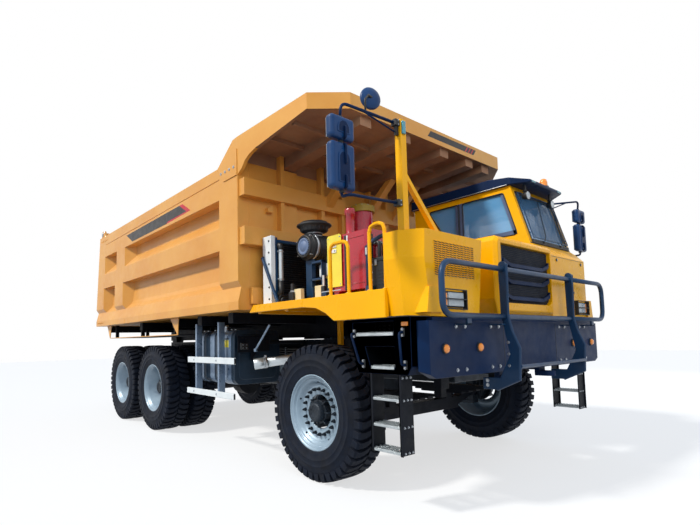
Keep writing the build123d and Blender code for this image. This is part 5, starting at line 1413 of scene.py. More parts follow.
    def guard(self) -> None:
        """Bent tube loops through two flanged plates that hook under the bumper."""
        shape = Shape(BLUE_GREY_TUBE)
        y, x, px, r = front(self.guard_y), self.guard_half, self.plate_x, self.guard_tube
        z0, z1 = self.guard_z
        shape.tube([(px - 0.02, y, z1), (x, y, z1), (x, y, z0), (px - 0.02, y, z0)], r, 0.13, 24)
        profile = [(self.guard_y - 0.036, 1.995), (self.guard_y - 0.027, 2.018), (self.guard_y - 0.01, 2.029),
                   (self.guard_y + 0.01, 2.029), (self.guard_y + 0.027, 2.018), (self.guard_y + 0.036, 1.995),
                   (self.guard_y + 0.03, 1.56), (self.guard_y - 0.002, 1.4), (-1.56, 1.213), (-1.459, 1.011),
                   (-1.295, 1.011), (-1.295, 0.908), (-1.423, 0.908), (-1.629, 1.005), (-1.643, 1.27),
                   (-1.584, 1.412), (self.guard_y - 0.03, 1.543)]
        shape.plate(behind(profile), "x", px - 0.013, px + 0.013, 0.003)
        rim = behind(profile[12:] + profile[:1])
        for a, b in zip(rim, rim[1:]):
            shape.rod((px, a[0], a[1]), (px, b[0], b[1]), 0.013, sides=8)
            shape.ball((px, b[0], b[1]), (0.0135, 0.0135, 0.0135), 2)
        for z in (z0, z1):
            shape.rod((px - 0.022, y + 0.004, z), (px + 0.022, y + 0.004, z), r + 0.002, sides=24, edge=0.003)
        for tie in (px + 0.04, 1.25):
            shape.block(about(tie, 0.03), (y - 0.01, front(self.bumper_face)), (1.47, 1.482), 0.002)
        shape.block((1.22, 1.28), about(y, 0.01), (1.47, z0), 0.002)
        shape.use(ZINC).bolts(at(px + 0.013, -1.34, 0.945), at(px + 0.013, -1.34, 0.985), 2, LEFT)
        shape.bolts(at(px + 0.013, -1.55, 1.12), at(px + 0.013, -1.55, 1.32), 3, LEFT, 0.01)
        shape.both_sides()
        shape.use(BLUE_GREY_TUBE)
        for z in (z0, z1):
            shape.rod((-px, y, z), (px, y, z), r, sides=24)
        shape.rod(at(-px, -1.64, 1.115), at(px, -1.64, 1.115), 0.0165, sides=20)
        shape.place("guard_tubes", "chassis", "steel_blue", ["guard_bar"])

    def step_housings(self) -> None:
        """Side housings with two serrated steps, grab handles, a marker lamp and their bolts."""
        shape = Shape(NAVY_STEEL).cad("step_housings", 0.006)
        shape.repaint(CHASSIS_BLACK, lambda c, n: 1.46 < abs(c.x) < 1.735 and -1.18 < c.y - front(0) < -0.7
                      and 1.14 < c.z < 1.515)
        x1 = self.step_x[1]
        for y0, y1, z in ((-1.165, -0.735, 1.413), (-1.165, -0.925, 1.146)):
            shape.use(TREAD_ALUMINIUM).block((x1 - 0.27, x1 - 0.002), span(y0, y1), (z, z + 0.008), 0.002)
            shape.block((x1 - 0.012, x1 + 0.003), span(y0, y1), (z - 0.016, z + 0.008), 0.002)
            for i in range(int((y1 - y0) / 0.018)):
                y = front(y0) + 0.009 + i * 0.018
                for x in (x1 - 0.03, x1 - 0.14):
                    tooth = [(x, z + 0.008), (x + 0.03, z + 0.008), (x + 0.015, z + 0.017)]
                    shape.plate(tooth, "y", y - 0.003, y + 0.003, 0.0)
        for dots in range(2):
            for i in range(7):
                y, z = -1.12 + i * 0.055, 1.455 + dots * 0.03
                shape.use(BLACK_PLASTIC).rod(at(x1 - 0.26, y, z), at(x1 - 0.283, y, z), 0.006, sides=8)
        shape.use(AMBER).block((x1, x1 + 0.014), span(-1.318, -1.258), (1.468, 1.5), 0.004, 2)
        for y0, y1 in ((-0.74, -0.838), (-1.262, -1.278)):
            for y, z in ((y0, 1.42), (y1, 1.17)):
                shape.use(BLACK_PLASTIC).block((x1, x1 + 0.004), about(front(y), 0.02),
                                               about(z, 0.034), 0.002)
                for dz in (-0.024, 0.024):
                    shape.use(ZINC).bolt(at(x1 + 0.004, y, z + dz), LEFT, 0.008)
        shape.both_sides()
        shape.place("step_boxes", "chassis", "steel_blue", ["step_housings"])

    def ladders(self) -> None:
        """Ladders with a wide front stile, serrated aluminium treads and bolted angles."""
        shape = Shape(CHASSIS_BLACK, TREAD_ALUMINIUM)
        x1 = self.step_x[1]
        for y in (-0.905, -1.205):
            shape.use(CHASSIS_BLACK).block((1.585, x1), about(front(y), 0.006), (0.47, 1.0917), 0.002)
            shape.block((x1 - 0.006, x1), (front(y) - 0.022, front(y) + 0.006), (0.47, 1.0917), 0.002)
        for z in (0.903, 0.695, 0.5):
            shape.use(TREAD_ALUMINIUM).block((1.59, x1 - 0.004), span(-1.199, -0.911), (z - 0.022, z), 0.003)
            for i in range(15):
                y = front(-1.188) + i * 0.0188
                for x in (1.615, 1.665, 1.715):
                    shape.plate([(x - 0.016, z), (x + 0.016, z), (x, z + 0.01)], "y", y - 0.003, y + 0.003,
                                0.0)
            for x in (1.61, 1.655, 1.7):
                shape.use(ZINC).bolt(at(x, -1.211, z - 0.012), AHEAD, 0.007)
                shape.bolt(at(x, -0.899, z - 0.012), BEHIND, 0.007)
        for x in (1.61, 1.66, 1.71):
            shape.use(ZINC).bolt(at(x, -1.211, 1.065), AHEAD, 0.008)
        shape.both_sides()
        shape.place("ladder_rungs", "chassis", "frame_black", ["ladders"])


# Cab


@dataclass
class Cab:
    """Offset cab: shell, roof with visor, seals, guard mesh, wipers, lamps, door and interior."""

    side: Range = (0.56, 1.6)
    front_y: float = -1.2
    sill: float = 2.41
    roof: float = 3.1
    lean: float = 0.2                  # top of the windscreen behind its foot
    mesh_pitch: float = 0.036
    seat_x: float = 1.08
    floor: float = 1.82
    right_front: Sequence[Pair] = ((-1.065, 2.52), (-0.917, 3.03), (-0.38, 3.03), (-0.38, 2.52))
    right_rear: Sequence[Pair] = ((-0.32, 2.52), (-0.32, 3.03), (0.122, 3.03), (-0.14, 2.6),
                                                 (-0.14, 2.52))
    left_rear: Sequence[Pair] = ((0.15, 2.44), (0.15, 3.03), (0.3, 3.03), (0.3, 2.44))
    door_pane: Sequence[Pair] = ((-0.93, 2.44), (-0.8, 2.97), (0.02, 2.97), (0.02, 2.44))

    def build(self) -> None:
        """Make every piece of the cab."""
        self.shell()
        self.seals()
        self.top()
        self.screen_guard()
        self.wipers()
        self.door()
        self.dash()
        self.seat()

    def screen_y(self, z: float) -> float:
        """Place on Y of the windscreen's outer face at a height."""
        return front(self.front_y + self.lean * (z - self.sill) / (self.roof - self.sill))

    def shell(self) -> None:
        """Pressed shell with rounded edges, dark trim inside and the door's hinge leaves."""
        x0, x1 = self.side
        shape = Shape(CAB_YELLOW).cad("cab_shell", 0.007)
        shape.repaint(HEADLINER, lambda c, n: x0 + 0.04 < c.x < x1 - 0.04 and c.y > self.screen_y(c.z) + 0.035
                      and c.y < front(0.312) and self.floor - 0.01 < c.z < self.roof - 0.04)
        shape.use(BLACK_PLASTIC)
        for z in (1.9, 2.02):
            shape.rod(at(x0 - 0.014, 0.3, z), at(x0 - 0.014, 0.22, z), 0.006, sides=12)
        for z in (2.02, 2.26):
            shape.block((x1, x1 + 0.01), span(0.14, 0.32), (z, z + 0.012), 0.003)
        shape.place("cab_body", "chassis", "cab_paint", ["cab_shell"])

    @staticmethod
    def outline_seal(shape: Shape, outline: Sequence[Pair], x: float, radius: float) -> None:
        """Run a rubber seal round a side window.

        Args:
            shape: Mesh that takes it.
            outline: Corners of the window as (y, z).
            x: Place of the seal on X.
            radius: Radius of the seal.
        """
        spots = [at(x, y, z) for y, z in outline]
        middle = tuple((a + b) / 2 for a, b in zip(spots[0], spots[-1]))
        shape.tube([middle, *spots, middle], radius, 0.035, 8)

    def seals(self) -> None:
        """Rubber seals, grey inner frames and the dark printed border of the right windows."""
        x0, x1 = self.side
        seal = Shape(HOSE_RUBBER)
        for outline in (self.right_front, self.right_rear):
            self.outline_seal(seal, outline, x0 - 0.001, 0.007)
        self.outline_seal(seal, self.left_rear, x1 + 0.001, 0.007)
        z0, z1 = self.sill + 0.02, self.roof - 0.06
        corners = [(x0 + 0.06, self.screen_y(z0), z0), (x0 + 0.06, self.screen_y(z1), z1),
                   (x1 - 0.06, self.screen_y(z1), z1), (x1 - 0.06, self.screen_y(z0), z0)]
        middle = ((x0 + x1) / 2, corners[0][1], z0)
        seal.tube([middle, *reversed(corners), middle], 0.009, 0.05, 8)
        rear = front(0.351)
        back = [(x0 + 0.12, rear, 2.44), (x0 + 0.12, rear, 3.03), (x1 - 0.12, rear, 3.03),
                (x1 - 0.12, rear, 2.44)]
        seal.tube([(1.08, rear, 2.44), *back, (1.08, rear, 2.44)], 0.008, 0.05, 8)
        seal.place("window_seals", "chassis", "black_plastic")
        frame_part = Shape(WINDOW_FRAME, HEADLINER)
        pillar = [(-1.06, 2.525), (-0.912, 3.025), (-0.872, 3.025), (-1.02, 2.525)]
        frame_part.plate(behind(pillar), "x", x0 + 0.008, x0 + 0.014, 0.001)
        divider = [(-0.386, 2.515), (-0.386, 3.035), (-0.283, 3.035), (-0.283, 2.515)]
        frame_part.plate(behind(divider), "x", x0 - 0.004, x0 + 0.012, 0.002)
        low = [(-1.06, 2.522), (-1.045, 2.575), (-0.386, 2.56), (-0.386, 2.522)]
        frame_part.plate(behind(low), "x", x0 + 0.008, x0 + 0.013, 0.001)
        frame_part.use(BLACK_PLASTIC).block((x0 - 0.0055, x0), span(-0.341, -0.329), (2.515, 3.035), 0.001)
        border = [(-0.945, 2.968), (-0.92, 3.028), (0.118, 3.028), (-0.136, 2.604), (-0.142, 2.7),
                  (-0.15, 2.812), (-0.17, 2.868), (-0.212, 2.908), (-0.283, 2.93), (-0.381, 2.939)]
        frame_part.use(HEADLINER).plate(behind(border), "x", x0 + 0.029, x0 + 0.032, 0.0)
        frame_part.place("window_frames", "chassis", "black_plastic")

    def top(self) -> None:
        """Roof and visor with a pale drip edge, marker lenses, work lamps and a flashing beacon."""
        x0, x1 = self.side
        shape = Shape(NAVY_STEEL).cad("cab_roof", 0.01)
        shape.use(ALUMINIUM)
        shape.rod(at(x0 - 0.031, -0.98, 3.106), at(x0 - 0.031, 0.37, 3.106), 0.005, sides=8)
        shape.rod(at(x1 + 0.031, -0.98, 3.106), at(x1 + 0.031, 0.37, 3.106), 0.005, sides=8)
        teal = [(x0 + 0.1, x0 + 0.19), (x1 - 0.28, x1 - 0.19)]
        for a, b in teal:
            shape.use(TEAL_LENS).block((a, b), span(self.front_y - 0.016, self.front_y), (3.106, 3.128),
                                       0.004)
        shape.place("cab_roof_panel", "chassis", "steel_blue", ["cab_roof"])
        lamp, light = Shape(BLACK_PLASTIC), Shape(LENS, REFLECTOR)
        for x in (0.69, 1.31):
            spot = at(x, -1.15, 2.97)
            lamp.lathe([(0.0, 0.046), (0.004, 0.05), (0.014, 0.049), (0.05, 0.042), (0.07, 0.024),
                        (0.072, 0.0005)], spot, BEHIND, 32)
            lamp.block(about(x, 0.028), span(-1.135, -1.095), (3.018, 3.026), 0.002)
            lamp.block(about(x, 0.012), span(-1.125, -1.105), (3.024, 3.1), 0.002)
            light.use(REFLECTOR).lathe([(0.001, 0.0005), (0.0, 0.02), (-0.002, 0.034), (-0.003, 0.044)], spot,
                                       AHEAD, 32)
            light.use(LENS).lathe([(0.001, 0.045), (0.006, 0.04), (0.009, 0.022), (0.01, 0.0005)], spot,
                                  AHEAD, 32)
        beacon = at(1.3, -1.06, 3.18)
        lamp.lathe([(0.0, 0.062), (0.03, 0.06), (0.034, 0.052), (0.034, 0.0005)], beacon, UP, 32)
        lamp.place("cab_lamp_cases", "chassis", "black_plastic")
        light.use(AMBER).lathe([(0.034, 0.048), (0.085, 0.046), (0.118, 0.036), (0.13, 0.018),
                                (0.133, 0.0005)], beacon, UP, 32)
        light.place("cab_lamp_lenses", "chassis", "glass")

    def screen_guard(self) -> None:
        """Diagonal wire mesh in a flat frame, standing in front of the windscreen."""
        shape = Shape(BLUE_GREY_TUBE)
        x0, x1 = self.side[0] + 0.075, self.side[1] - 0.075
        z0, z1 = self.sill + 0.06, self.roof - 0.075
        wide, high = x1 - x0, z1 - z0
        for lean in (1, -1):
            for i in range(int((wide + high) / self.mesh_pitch)):
                start = (i + 0.5) * self.mesh_pitch
                a, b = max(0.0, start - high), min(wide, start)
                ends = [(x0 + s, z0 + start - s) for s in (a, b)]
                if lean < 0:
                    ends = [(x0 + x1 - x, z) for x, z in ends]
                spots = [(x, self.screen_y(z) - 0.026, z) for x, z in ends]
                shape.rod(spots[0], spots[1], 0.0016, sides=4)
        corners = [(x0, z0), (x1, z0), (x1, z1), (x0, z1)]
        for (xa, za), (xb, zb) in zip(corners, corners[1:] + corners[:1]):
            shape.rod((xa, self.screen_y(za) - 0.026, za), (xb, self.screen_y(zb) - 0.026, zb), 0.006,
                      sides=8)
        for x in (x0, x1):
            for z in (z0 + 0.06, z1 - 0.06):
                shape.rod((x, self.screen_y(z) - 0.026, z), (x, self.screen_y(z) + 0.002, z), 0.005, sides=8)
        shape.place("screen_mesh", "chassis", "steel_blue")

    def wipers(self) -> None:
        """Two wipers on a black scuttle panel."""
        shape = Shape(BLACK_PLASTIC)
        x0, x1 = self.side
        y = front(self.front_y)
        shape.block((x0 + 0.05, x1 - 0.05), (y - 0.014, y + 0.01), (self.sill - 0.004, self.sill + 0.04),
                    0.005, 2)
        for i in range(16):
            x = x0 + 0.12 + i * 0.054
            shape.block((x, x + 0.03), (y - 0.017, y - 0.012), (self.sill + 0.01, self.sill + 0.026), 0.0015)
        for x in (0.86, 1.3):
            z = self.sill + 0.022
            shape.rod((x, y - 0.03, z), (x, y + 0.004, z), 0.012, sides=16)
            tip = (x + 0.22, self.screen_y(z + 0.36) - 0.014, z + 0.36)
            shape.tube([(x, y - 0.026, z), (x + 0.05, y - 0.022, z + 0.07), tip], 0.005, 0.03, 8)
            low = (x + 0.16, self.screen_y(z + 0.1) - 0.01, z + 0.1)
            high = (x + 0.28, self.screen_y(z + 0.56) - 0.01, z + 0.56)
            shape.rod(low, high, 0.0055, sides=6)
        shape.place("wipers", "chassis", "black_plastic")

    def door(self) -> None:
        """Door leaf with its seal, grab handle and lock."""
        x1 = self.side[1]
        leaf = Shape(CAB_YELLOW).cad("door_left", 0.006)
        leaf.repaint(HEADLINER, lambda c, n: n.x < -0.7)
        leaf.place("door_leaf", "door_left", "cab_paint", ["door_left"])
        trim = Shape(HOSE_RUBBER)
        self.outline_seal(trim, self.door_pane, x1 + 0.001, 0.007)
        trim.use(BLACK_PLASTIC).block((x1 + 0.0002, x1 + 0.006), span(-0.06, 0.07), (2.262, 2.322), 0.004, 2)
        trim.tube([at(x1 + 0.002, -0.02, 1.95), at(x1 + 0.045, -0.02, 1.95), at(x1 + 0.045, -0.02, 2.2),
                   at(x1 + 0.002, -0.02, 2.2)], 0.009, 0.03, 12)
        trim.use(ZINC).rod(at(x1 + 0.006, 0.045, 2.292), at(x1 + 0.01, 0.045, 2.292), 0.011, sides=20)
        trim.place("door_trim", "door_left", "black_plastic")

    def dash(self) -> None:
        """Dashboard with its hood, instruments, steering wheel and levers."""
        x0, x1 = self.side
        shape = Shape(BLACK_PLASTIC, HEADLINER)
        profile = [(-1.15, 1.82), (-1.15, 2.4), (-1.01, 2.43), (-0.86, 2.33), (-0.9, 2.18), (-1.05, 1.82)]
        shape.plate(behind(profile), "x", x0 + 0.05, x1 - 0.05, 0.012, 2)
        x = self.seat_x
        hood = [(-1.0, 2.425), (-0.98, 2.475), (-0.86, 2.455), (-0.865, 2.335)]
        shape.plate(behind(hood), "x", x - 0.2, x + 0.2, 0.01, 2)
        for dx in (-0.11, 0.0, 0.11):
            shape.use(ZINC).lathe([(0.0, 0.0005), (0.001, 0.038), (0.006, 0.043), (0.0, 0.045)],
                                  at(x + dx, -0.858, 2.395), (0, 1, 0.1), 24)
        shape.use(BLACK_PLASTIC).rod(at(x, -0.9, 2.22), at(x, -0.69, 2.34), 0.032, sides=20)
        turns = [math.tau * i / 10 for i in range(11)]
        ring = [(0.013 * math.cos(turn), 0.211 + 0.013 * math.sin(turn)) for turn in turns]
        shape.lathe(ring, at(x, -0.675, 2.348), (0, 0.87, 0.5), 48)
        for angle in (0.35, math.pi - 0.35, 1.5 * math.pi):
            dx, rise = 0.205 * math.cos(angle), 0.205 * math.sin(angle)
            shape.rod(at(x, -0.685, 2.342), (x + dx, front(-0.675) - rise * 0.5, 2.348 + rise * 0.87), 0.01,
                      sides=8)
        shape.lathe([(0.0, 0.05), (0.02, 0.048), (0.026, 0.03), (0.027, 0.0005)], at(x, -0.69, 2.34),
                    (0, 0.87, 0.5), 28)
        shape.rod(at(x + 0.33, -0.3, 1.82), at(x + 0.33, -0.34, 2.36), 0.009, sides=10)
        shape.ball(at(x + 0.33, -0.34, 2.375), (0.024, 0.024, 0.03), 2)
        shape.block(about(x, 0.18), span(-0.42, -0.06), (self.floor, self.floor + 0.285), 0.02, 2)
        shape.place("dashboard", "chassis", "black_plastic", ["cab_interior"])

    def seat(self) -> None:
        """Driver's seat: crowned cushion, back and head pad in woven fabric."""
        x = self.seat_x
        parts = (
            ("seat_cushion", at(x, -0.25, 2.175), (0.245, 0.25, 0.068), 0.0),
            ("seat_back", at(x, 0.095, 2.53), (0.225, 0.062, 0.29), -0.2),
            ("seat_head_pad", at(x, 0.175, 2.885), (0.13, 0.045, 0.075), -0.2),
        )
        for name, centre, size, lean in parts:
            piece = self.cushion(name, centre, size, lean)

    @staticmethod
    def cushion(name: str, centre: Point, size: Point, lean: float) -> bpy.types.Object:
        """Make a crowned cushion with soft edges.

        Args:
            name: Name of the piece.
            centre: Its middle.
            size: Half of its width, depth and height.
            lean: Turn about X.

        Returns:
            The finished cushion.
        """
        shape = Shape(SEAT_FABRIC)
        bm = bmesh.new()
        bmesh.ops.create_cube(bm, size=2.0)
        bmesh.ops.subdivide_edges(bm, edges=bm.edges[:], cuts=11, use_grid_fill=True)
        thin = min(range(3), key=lambda i: size[i])
        for vert in bm.verts:
            flat = [vert.co[i] for i in range(3) if i != thin]
            crown = (1 - flat[0] ** 4) * (1 - flat[1] ** 4)
            vert.co[thin] *= 0.45 + 0.55 * crown ** 0.5
            for i in range(3):
                if i != thin:
                    vert.co[i] *= 1 - 0.05 * vert.co[thin] ** 2
        for i in range(2):
            bmesh.ops.smooth_vert(bm, verts=bm.verts, factor=0.5, use_axis_x=True, use_axis_y=True,
                                  use_axis_z=True)
        turn = Matrix.Translation(centre) @ Matrix.Rotation(lean, 4, "X") @ Matrix.Diagonal((*size, 1.0))
        bmesh.ops.transform(bm, matrix=turn, verts=bm.verts)
        shape.keep(bm, 0.0, True)
        return shape.place(name, "chassis", "seat")


# Mirrors


@dataclass
class Mirrors:
    """A pair of housings on bent arms at each side, and a round mirror on the right."""

    reach: float = 2.325
    arm_x: float = 2.197
    y: float = -1.1
    large: Range = (2.484, 2.846)
    small: Range = (2.87, 3.05)
    tube: float = 0.012

    def build(self) -> None:
        """Make both sides."""
        for side in Side:
            self.one(side)

    def one(self, side: Side) -> None:
        """Make the mirrors of one side, drawn for the left and turned for the right.

        Args:
            side: Side of the truck.
        """
        shape = Shape(MIRROR_PLASTIC, BLACK_PLASTIC, MIRROR_GLASS)
        x, y = self.arm_x, front(self.y)
        inner = self.reach - 0.243
        right = side is Side.RIGHT
        low_y, high_y, root_x, high_z = -1.06, -0.96, 1.64, 3.07
        if right:
            low_y, high_y, root_x, high_z = -1.245, -1.245, 1.74, 3.09
        for z0, z1 in (self.large, self.small):
            shape.use(MIRROR_PLASTIC).block((inner, self.reach), (y - 0.045, y + 0.035), (z0, z1), 0.03, 4)
            shape.use(MIRROR_GLASS).block((inner + 0.016, self.reach - 0.016), (y + 0.034, y + 0.038),
                                          (z0 + 0.016, z1 - 0.016), 0.0015)
            for z in (z0 - 0.004, z1 + 0.004):
                shape.use(BLACK_PLASTIC).rod((x, y, z - 0.011), (x, y, z + 0.011), 0.02, sides=20, edge=0.003)
            self.recess(shape, (z0, z1), y - 0.045, z0 == self.large[0])
        shape.use(NAVY_STEEL)
        low = at(root_x, low_y, 2.437)
        shape.tube([low, (x, front(low_y) + 0.06, 2.437), (x, y, 2.44), (x, y, 2.49)], self.tube, 0.05, 16)
        high, elbow = at(root_x, high_y, high_z), (x, y - 0.015, 3.168)
        shape.tube([high, elbow, (x, y, 3.05)], self.tube, 0.06, 16)
        shape.rod((x, y, 2.84), (x, y, 2.88), self.tube, sides=16)
        brace = Vector(high).lerp(Vector(elbow), 0.62)
        shape.tube([(root_x, high[1], high_z - 0.075), brace], 0.007, 0.02, 8)
        for spot in (low, high):
            shape.use(BLACK_PLASTIC).block((spot[0] - 0.0395, spot[0] + 0.012),
                                           about(spot[1], 0.026),
                                           about(spot[2], 0.026), 0.004, 2)
            for dz in (-0.017, 0.017):
                shape.use(ZINC).bolt((spot[0] - 0.02, spot[1] - 0.026, spot[2] + dz), AHEAD, 0.005, 0.006)
        shape.use(BLACK_PLASTIC).block((root_x - 0.04, root_x - 0.006), about(high[1], 0.012),
                                       (high_z - 0.1, high_z - 0.02), 0.003)
        if right:
            self.round_mirror(shape, high, elbow)
        shape.turned(side)
        shape.place(f"mirror_set_{side.word}", "chassis", "mirror_plastic", [f"mirrors_{side.word}"])

    def recess(self, shape: Shape, height: Range, face: float, lower: bool) -> None:
        """Draw an arched pocket on the back of a housing: a raised arched pad whose darker inner plate is
        painted shade for the pocket's depth, with the arm running into it.

        Args:
            shape: Mesh that takes it.
            height: Low and high edge of the housing.
            face: Place of the housing's back on Y.
            lower: Whether the pocket opens downwards too.
        """
        x, (z0, z1) = self.arm_x + 0.0065, height
        z0, z1 = (z0 + 0.05, z1 - 0.06) if lower else (z0 + 0.045, z1 - 0.04)
        half = 0.062
        turns = [math.pi * i / 12 for i in range(13)]
        arc = [(x - half * math.cos(turn), z1 - half + half * math.sin(turn)) for turn in turns]
        arch = [(x - half, z0), *arc, (x + half, z0)]
        inner = [(x + (a - x) * 0.8, z0 + 0.008 + (b - z0) * 0.9) for a, b in arch]
        shape.use(MIRROR_PLASTIC).plate(arch, "y", face - 0.006, face + 0.004, 0.004, 2)
        # Darker inner plate: painted shade standing for the inside of the pocket.
        shape.use(NAVY_STEEL).plate(inner, "y", face - 0.0075, face - 0.005, 0.001)
        runs = ((z0 - 0.04, z0 + 0.06), (z1 - 0.11, z1 + 0.045)) if lower else ((z0 - 0.04, z1 - 0.04),)
        dx, deep, out = x - 0.006, face + 0.006, face - 0.014
        for a, b in runs:
            shape.tube([(dx, deep, a), (dx, out, a + 0.012), (dx, out, b - 0.012), (dx, deep, b)], 0.011,
                       0.01, 12)

    @staticmethod
    def round_mirror(shape: Shape, root: Point, elbow: Point) -> None:
        """Hang the round wide-angle mirror over the upper arm.

        Args:
            shape: Mesh that takes it.
            root: Start of the upper arm.
            elbow: End of the upper arm.
        """
        foot = Vector(root).lerp(Vector(elbow), 0.55)
        head = foot + Vector((-0.3, 0.05, 1.0)) * 0.152
        shape.use(HOSE_RUBBER).tube([foot, foot + Vector((0, 0, 0.1)), head], 0.008, 0.03, 12)
        way = Vector((-0.009, 0.028, 0.0)).normalized()
        spot = head + Vector((-0.046, 0.008, 0.0))
        dish = [(0.034, 0.084), (0.028, 0.09), (0.016, 0.091), (0.006, 0.08), (-0.004, 0.05),
                (-0.006, 0.0005)]
        shape.use(MIRROR_PLASTIC).lathe(dish, spot, way, 40)
        glass = [(0.036, 0.0005), (0.034, 0.04), (0.03, 0.085)]
        shape.use(MIRROR_GLASS).lathe(glass, spot, way, 40)
        shape.use(HOSE_RUBBER).rod(head, spot, 0.01, sides=12)


# Deck gear on the right side


@dataclass
class DeckGear:
    """Deck and what stands on it: cooler, air cleaner, oil tank, battery box, valves and handrails."""

    top: float = 1.775
    can_z: float = 2.39
    can_y: float = 0.33
    tank_x: Range = (-1.5, -1.0)
    tank_y: Range = (-0.7, -0.19)
    tank_z: Range = (1.835, 2.38)

    def build(self) -> None:
        """Make every piece of the deck."""
        self.deck()
        self.cooler()
        self.elbow()
        self.air_cleaner()
        self.tank()
        self.tank_dress()
        self.reservoir()
        self.valves()
        self.battery()
        self.rails()

    def deck(self) -> None:
        """Deck sheet with rounded edges and tread studs near its right edge."""
        shape = Shape(CAB_YELLOW).cad("deck", 0.005)
        for row in range(9):
            for column in range(5):
                spot = at(-1.645 + column * 0.026, -0.3 + row * 0.026, self.top)
                shape.lathe([(-0.001, 0.007), (0.002, 0.006), (0.003, 0.0005)], spot, UP, 8)
        shape.place("deck_sheet", "chassis", "cab_paint", ["deck"])

    def cooler(self) -> None:
        """Cooler frame, its finned core and the strut beside it."""
        frame_part = Shape(RAIL_SILVER, BLUE_GREY_TUBE)
        for x0, x1 in ((-1.6, -1.54), (-0.62, -0.56)):
            frame_part.use(RAIL_SILVER).block((x0, x1), span(0.7, 0.865), (self.top, 2.56), 0.006, 2)
        frame_part.use(BLUE_GREY_TUBE).block((-1.5395, -1.512), span(0.694, 0.704), (1.8, 2.545), 0.003)
        frame_part.block((-1.54, -0.62), span(0.835, 0.865), (2.5, 2.56), 0.005, 2)
        frame_part.block((-1.54, -0.62), span(0.7, 0.835), (1.815, 1.85), 0.004)
        frame_part.block((-1.54, -0.62), span(0.7, 0.835), (2.485, 2.52), 0.006)
        frame_part.use(BLACK_PLASTIC)
        frame_part.bolts(at(-1.6, 0.74, 1.84), at(-1.6, 0.74, 2.5), 6, RIGHT, 0.009)
        frame_part.place("cooler_frame", "chassis", "frame_black", ["cooler_pack"])
        core = Shape(FIN_METAL)
        core.block((-1.538, -0.622), span(0.715, 0.825), (1.85, 2.486), 0.0)
        core.use(CHASSIS_BLACK)
        for i in range(24):
            z = 1.862 + i * 0.0262
            core.block((-1.536, -0.624), span(0.704, 0.834), (z, z + 0.009), 0.0015)
        for i in range(17):
            x = -1.53 + i * 0.0555
            core.use(FIN_METAL).block((x, x + 0.004), span(0.707, 0.716), (1.852, 2.484), 0.0)
        core.place("cooler_core", "chassis", "frame_black")
        strut = Shape(BLUE_GREY_TUBE)
        strut.rod(at(-1.62, 0.842, 2.316), at(-1.614, 0.56, 1.782), 0.018, sides=20)
        strut.use(BLACK_PLASTIC).block((-1.625, -1.6), span(0.535, 0.58), (self.top, 1.8), 0.004)
        strut.block((-1.624, -1.6002), span(0.828, 0.856), (2.296, 2.336), 0.004)
        strut.place("cooler_strut", "chassis", "aluminium")

    @staticmethod
    def elbow() -> None:
        """Coolant pipe coming down in front of the core, with clamps and a sleeve."""
        shape = Shape(HOSE_RUBBER)
        x, y = -1.5, front(0.65)
        shape.tube([at(x, 0.702, 2.45), (x, y, 2.45), (x, y, 2.395)], 0.03, 0.045, 24)
        shape.tube([(x, y, 2.045), (x, y, 1.9), at(x, 0.703, 1.9)], 0.03, 0.045, 24)
        shape.use(ALUMINIUM).rod((x, y, 2.04), (x, y, 2.4), 0.026, sides=28)
        for z in (2.062, 2.376):
            shape.use(ZINC).rod((x, y, z - 0.006), (x, y, z + 0.006), 0.0325, sides=28, edge=0.002)
            shape.block((x - 0.044, x - 0.028), about(y, 0.006), about(z, 0.007), 0.002)
        shape.place("coolant_pipe", "chassis", "black_plastic")

    def air_cleaner(self) -> None:
        """Horizontal air cleaner: ringed cap, ribbed can, straps, neck and rain bowl."""
        y, z = front(self.can_y), self.can_z
        can = Shape(BLACK_PLASTIC)
        profile = [(-1.39, 0.0005), (-1.39, 0.14), (-1.382, 0.15)]
        for i in range(10):
            x = -1.3 + i * 0.036
            profile += [(x, 0.15), (x + 0.004, 0.147), (x + 0.014, 0.147), (x + 0.018, 0.15)]
        profile += [(-0.918, 0.15), (-0.91, 0.142), (-0.91, 0.0005)]
        can.lathe(profile, (0.0, y, z), LEFT, 64)
        can.place("air_can", "chassis", "black_plastic", ["air_cleaner"])
        cap = Shape(BLACK_PLASTIC)
        rim = [(-1.388, 0.0005), (-1.388, 0.14), (-1.396, 0.141), (-1.4, 0.128), (-1.42, 0.127),
               (-1.43, 0.121), (-1.436, 0.108), (-1.43, 0.1), (-1.424, 0.098), (-1.424, 0.0005)]
        cap.lathe(rim, (0.0, y, z), LEFT, 64)
        disc = [(-1.423, 0.097), (-1.43, 0.096), (-1.434, 0.088), (-1.434, 0.07), (-1.43, 0.066),
                (-1.43, 0.058), (-1.436, 0.052), (-1.436, 0.0005)]
        cap.use(PALE_CAP).lathe(disc, (0.0, y, z), LEFT, 64)
        cap.use(BLACK_PLASTIC)
        for i in range(24):
            angle = math.tau * i / 24
            way = Vector((0.0, math.cos(angle), math.sin(angle)))
            a, b = Vector((-1.4315, y, z)) + way * 0.089, Vector((-1.4355, y, z)) + way * 0.103
            cap.rod(a, b, 0.0035, sides=6)
        for angle in (0.5, 2.3, 3.9, 5.6):
            way = Vector((0.0, math.cos(angle), math.sin(angle)))
            spot = Vector((-1.395, y, z)) + way * 0.143
            cap.use(ZINC).rod(spot - Vector((0.025, 0, 0)), spot + Vector((0.035, 0, 0)), 0.006, sides=8)
        cap.place("air_cap", "chassis", "black_plastic")
        bowl = Shape(BLACK_PLASTIC)
        bowl.lathe([(2.5, 0.09), (2.556, 0.09), (2.566, 0.14), (2.574, 0.15), (2.612, 0.156), (2.622, 0.186),
                    (2.632, 0.196), (2.642, 0.194), (2.65, 0.18), (2.656, 0.16), (2.671, 0.15),
                    (2.671, 0.0005)], (-1.27, y, 0.0), UP, 64)
        for a, b in circle(20, 0.152, -1.27, y):
            bowl.rod((a, b, 2.576), (a, b, 2.612), 0.005, sides=6)
        for z0 in (2.54, 2.508):
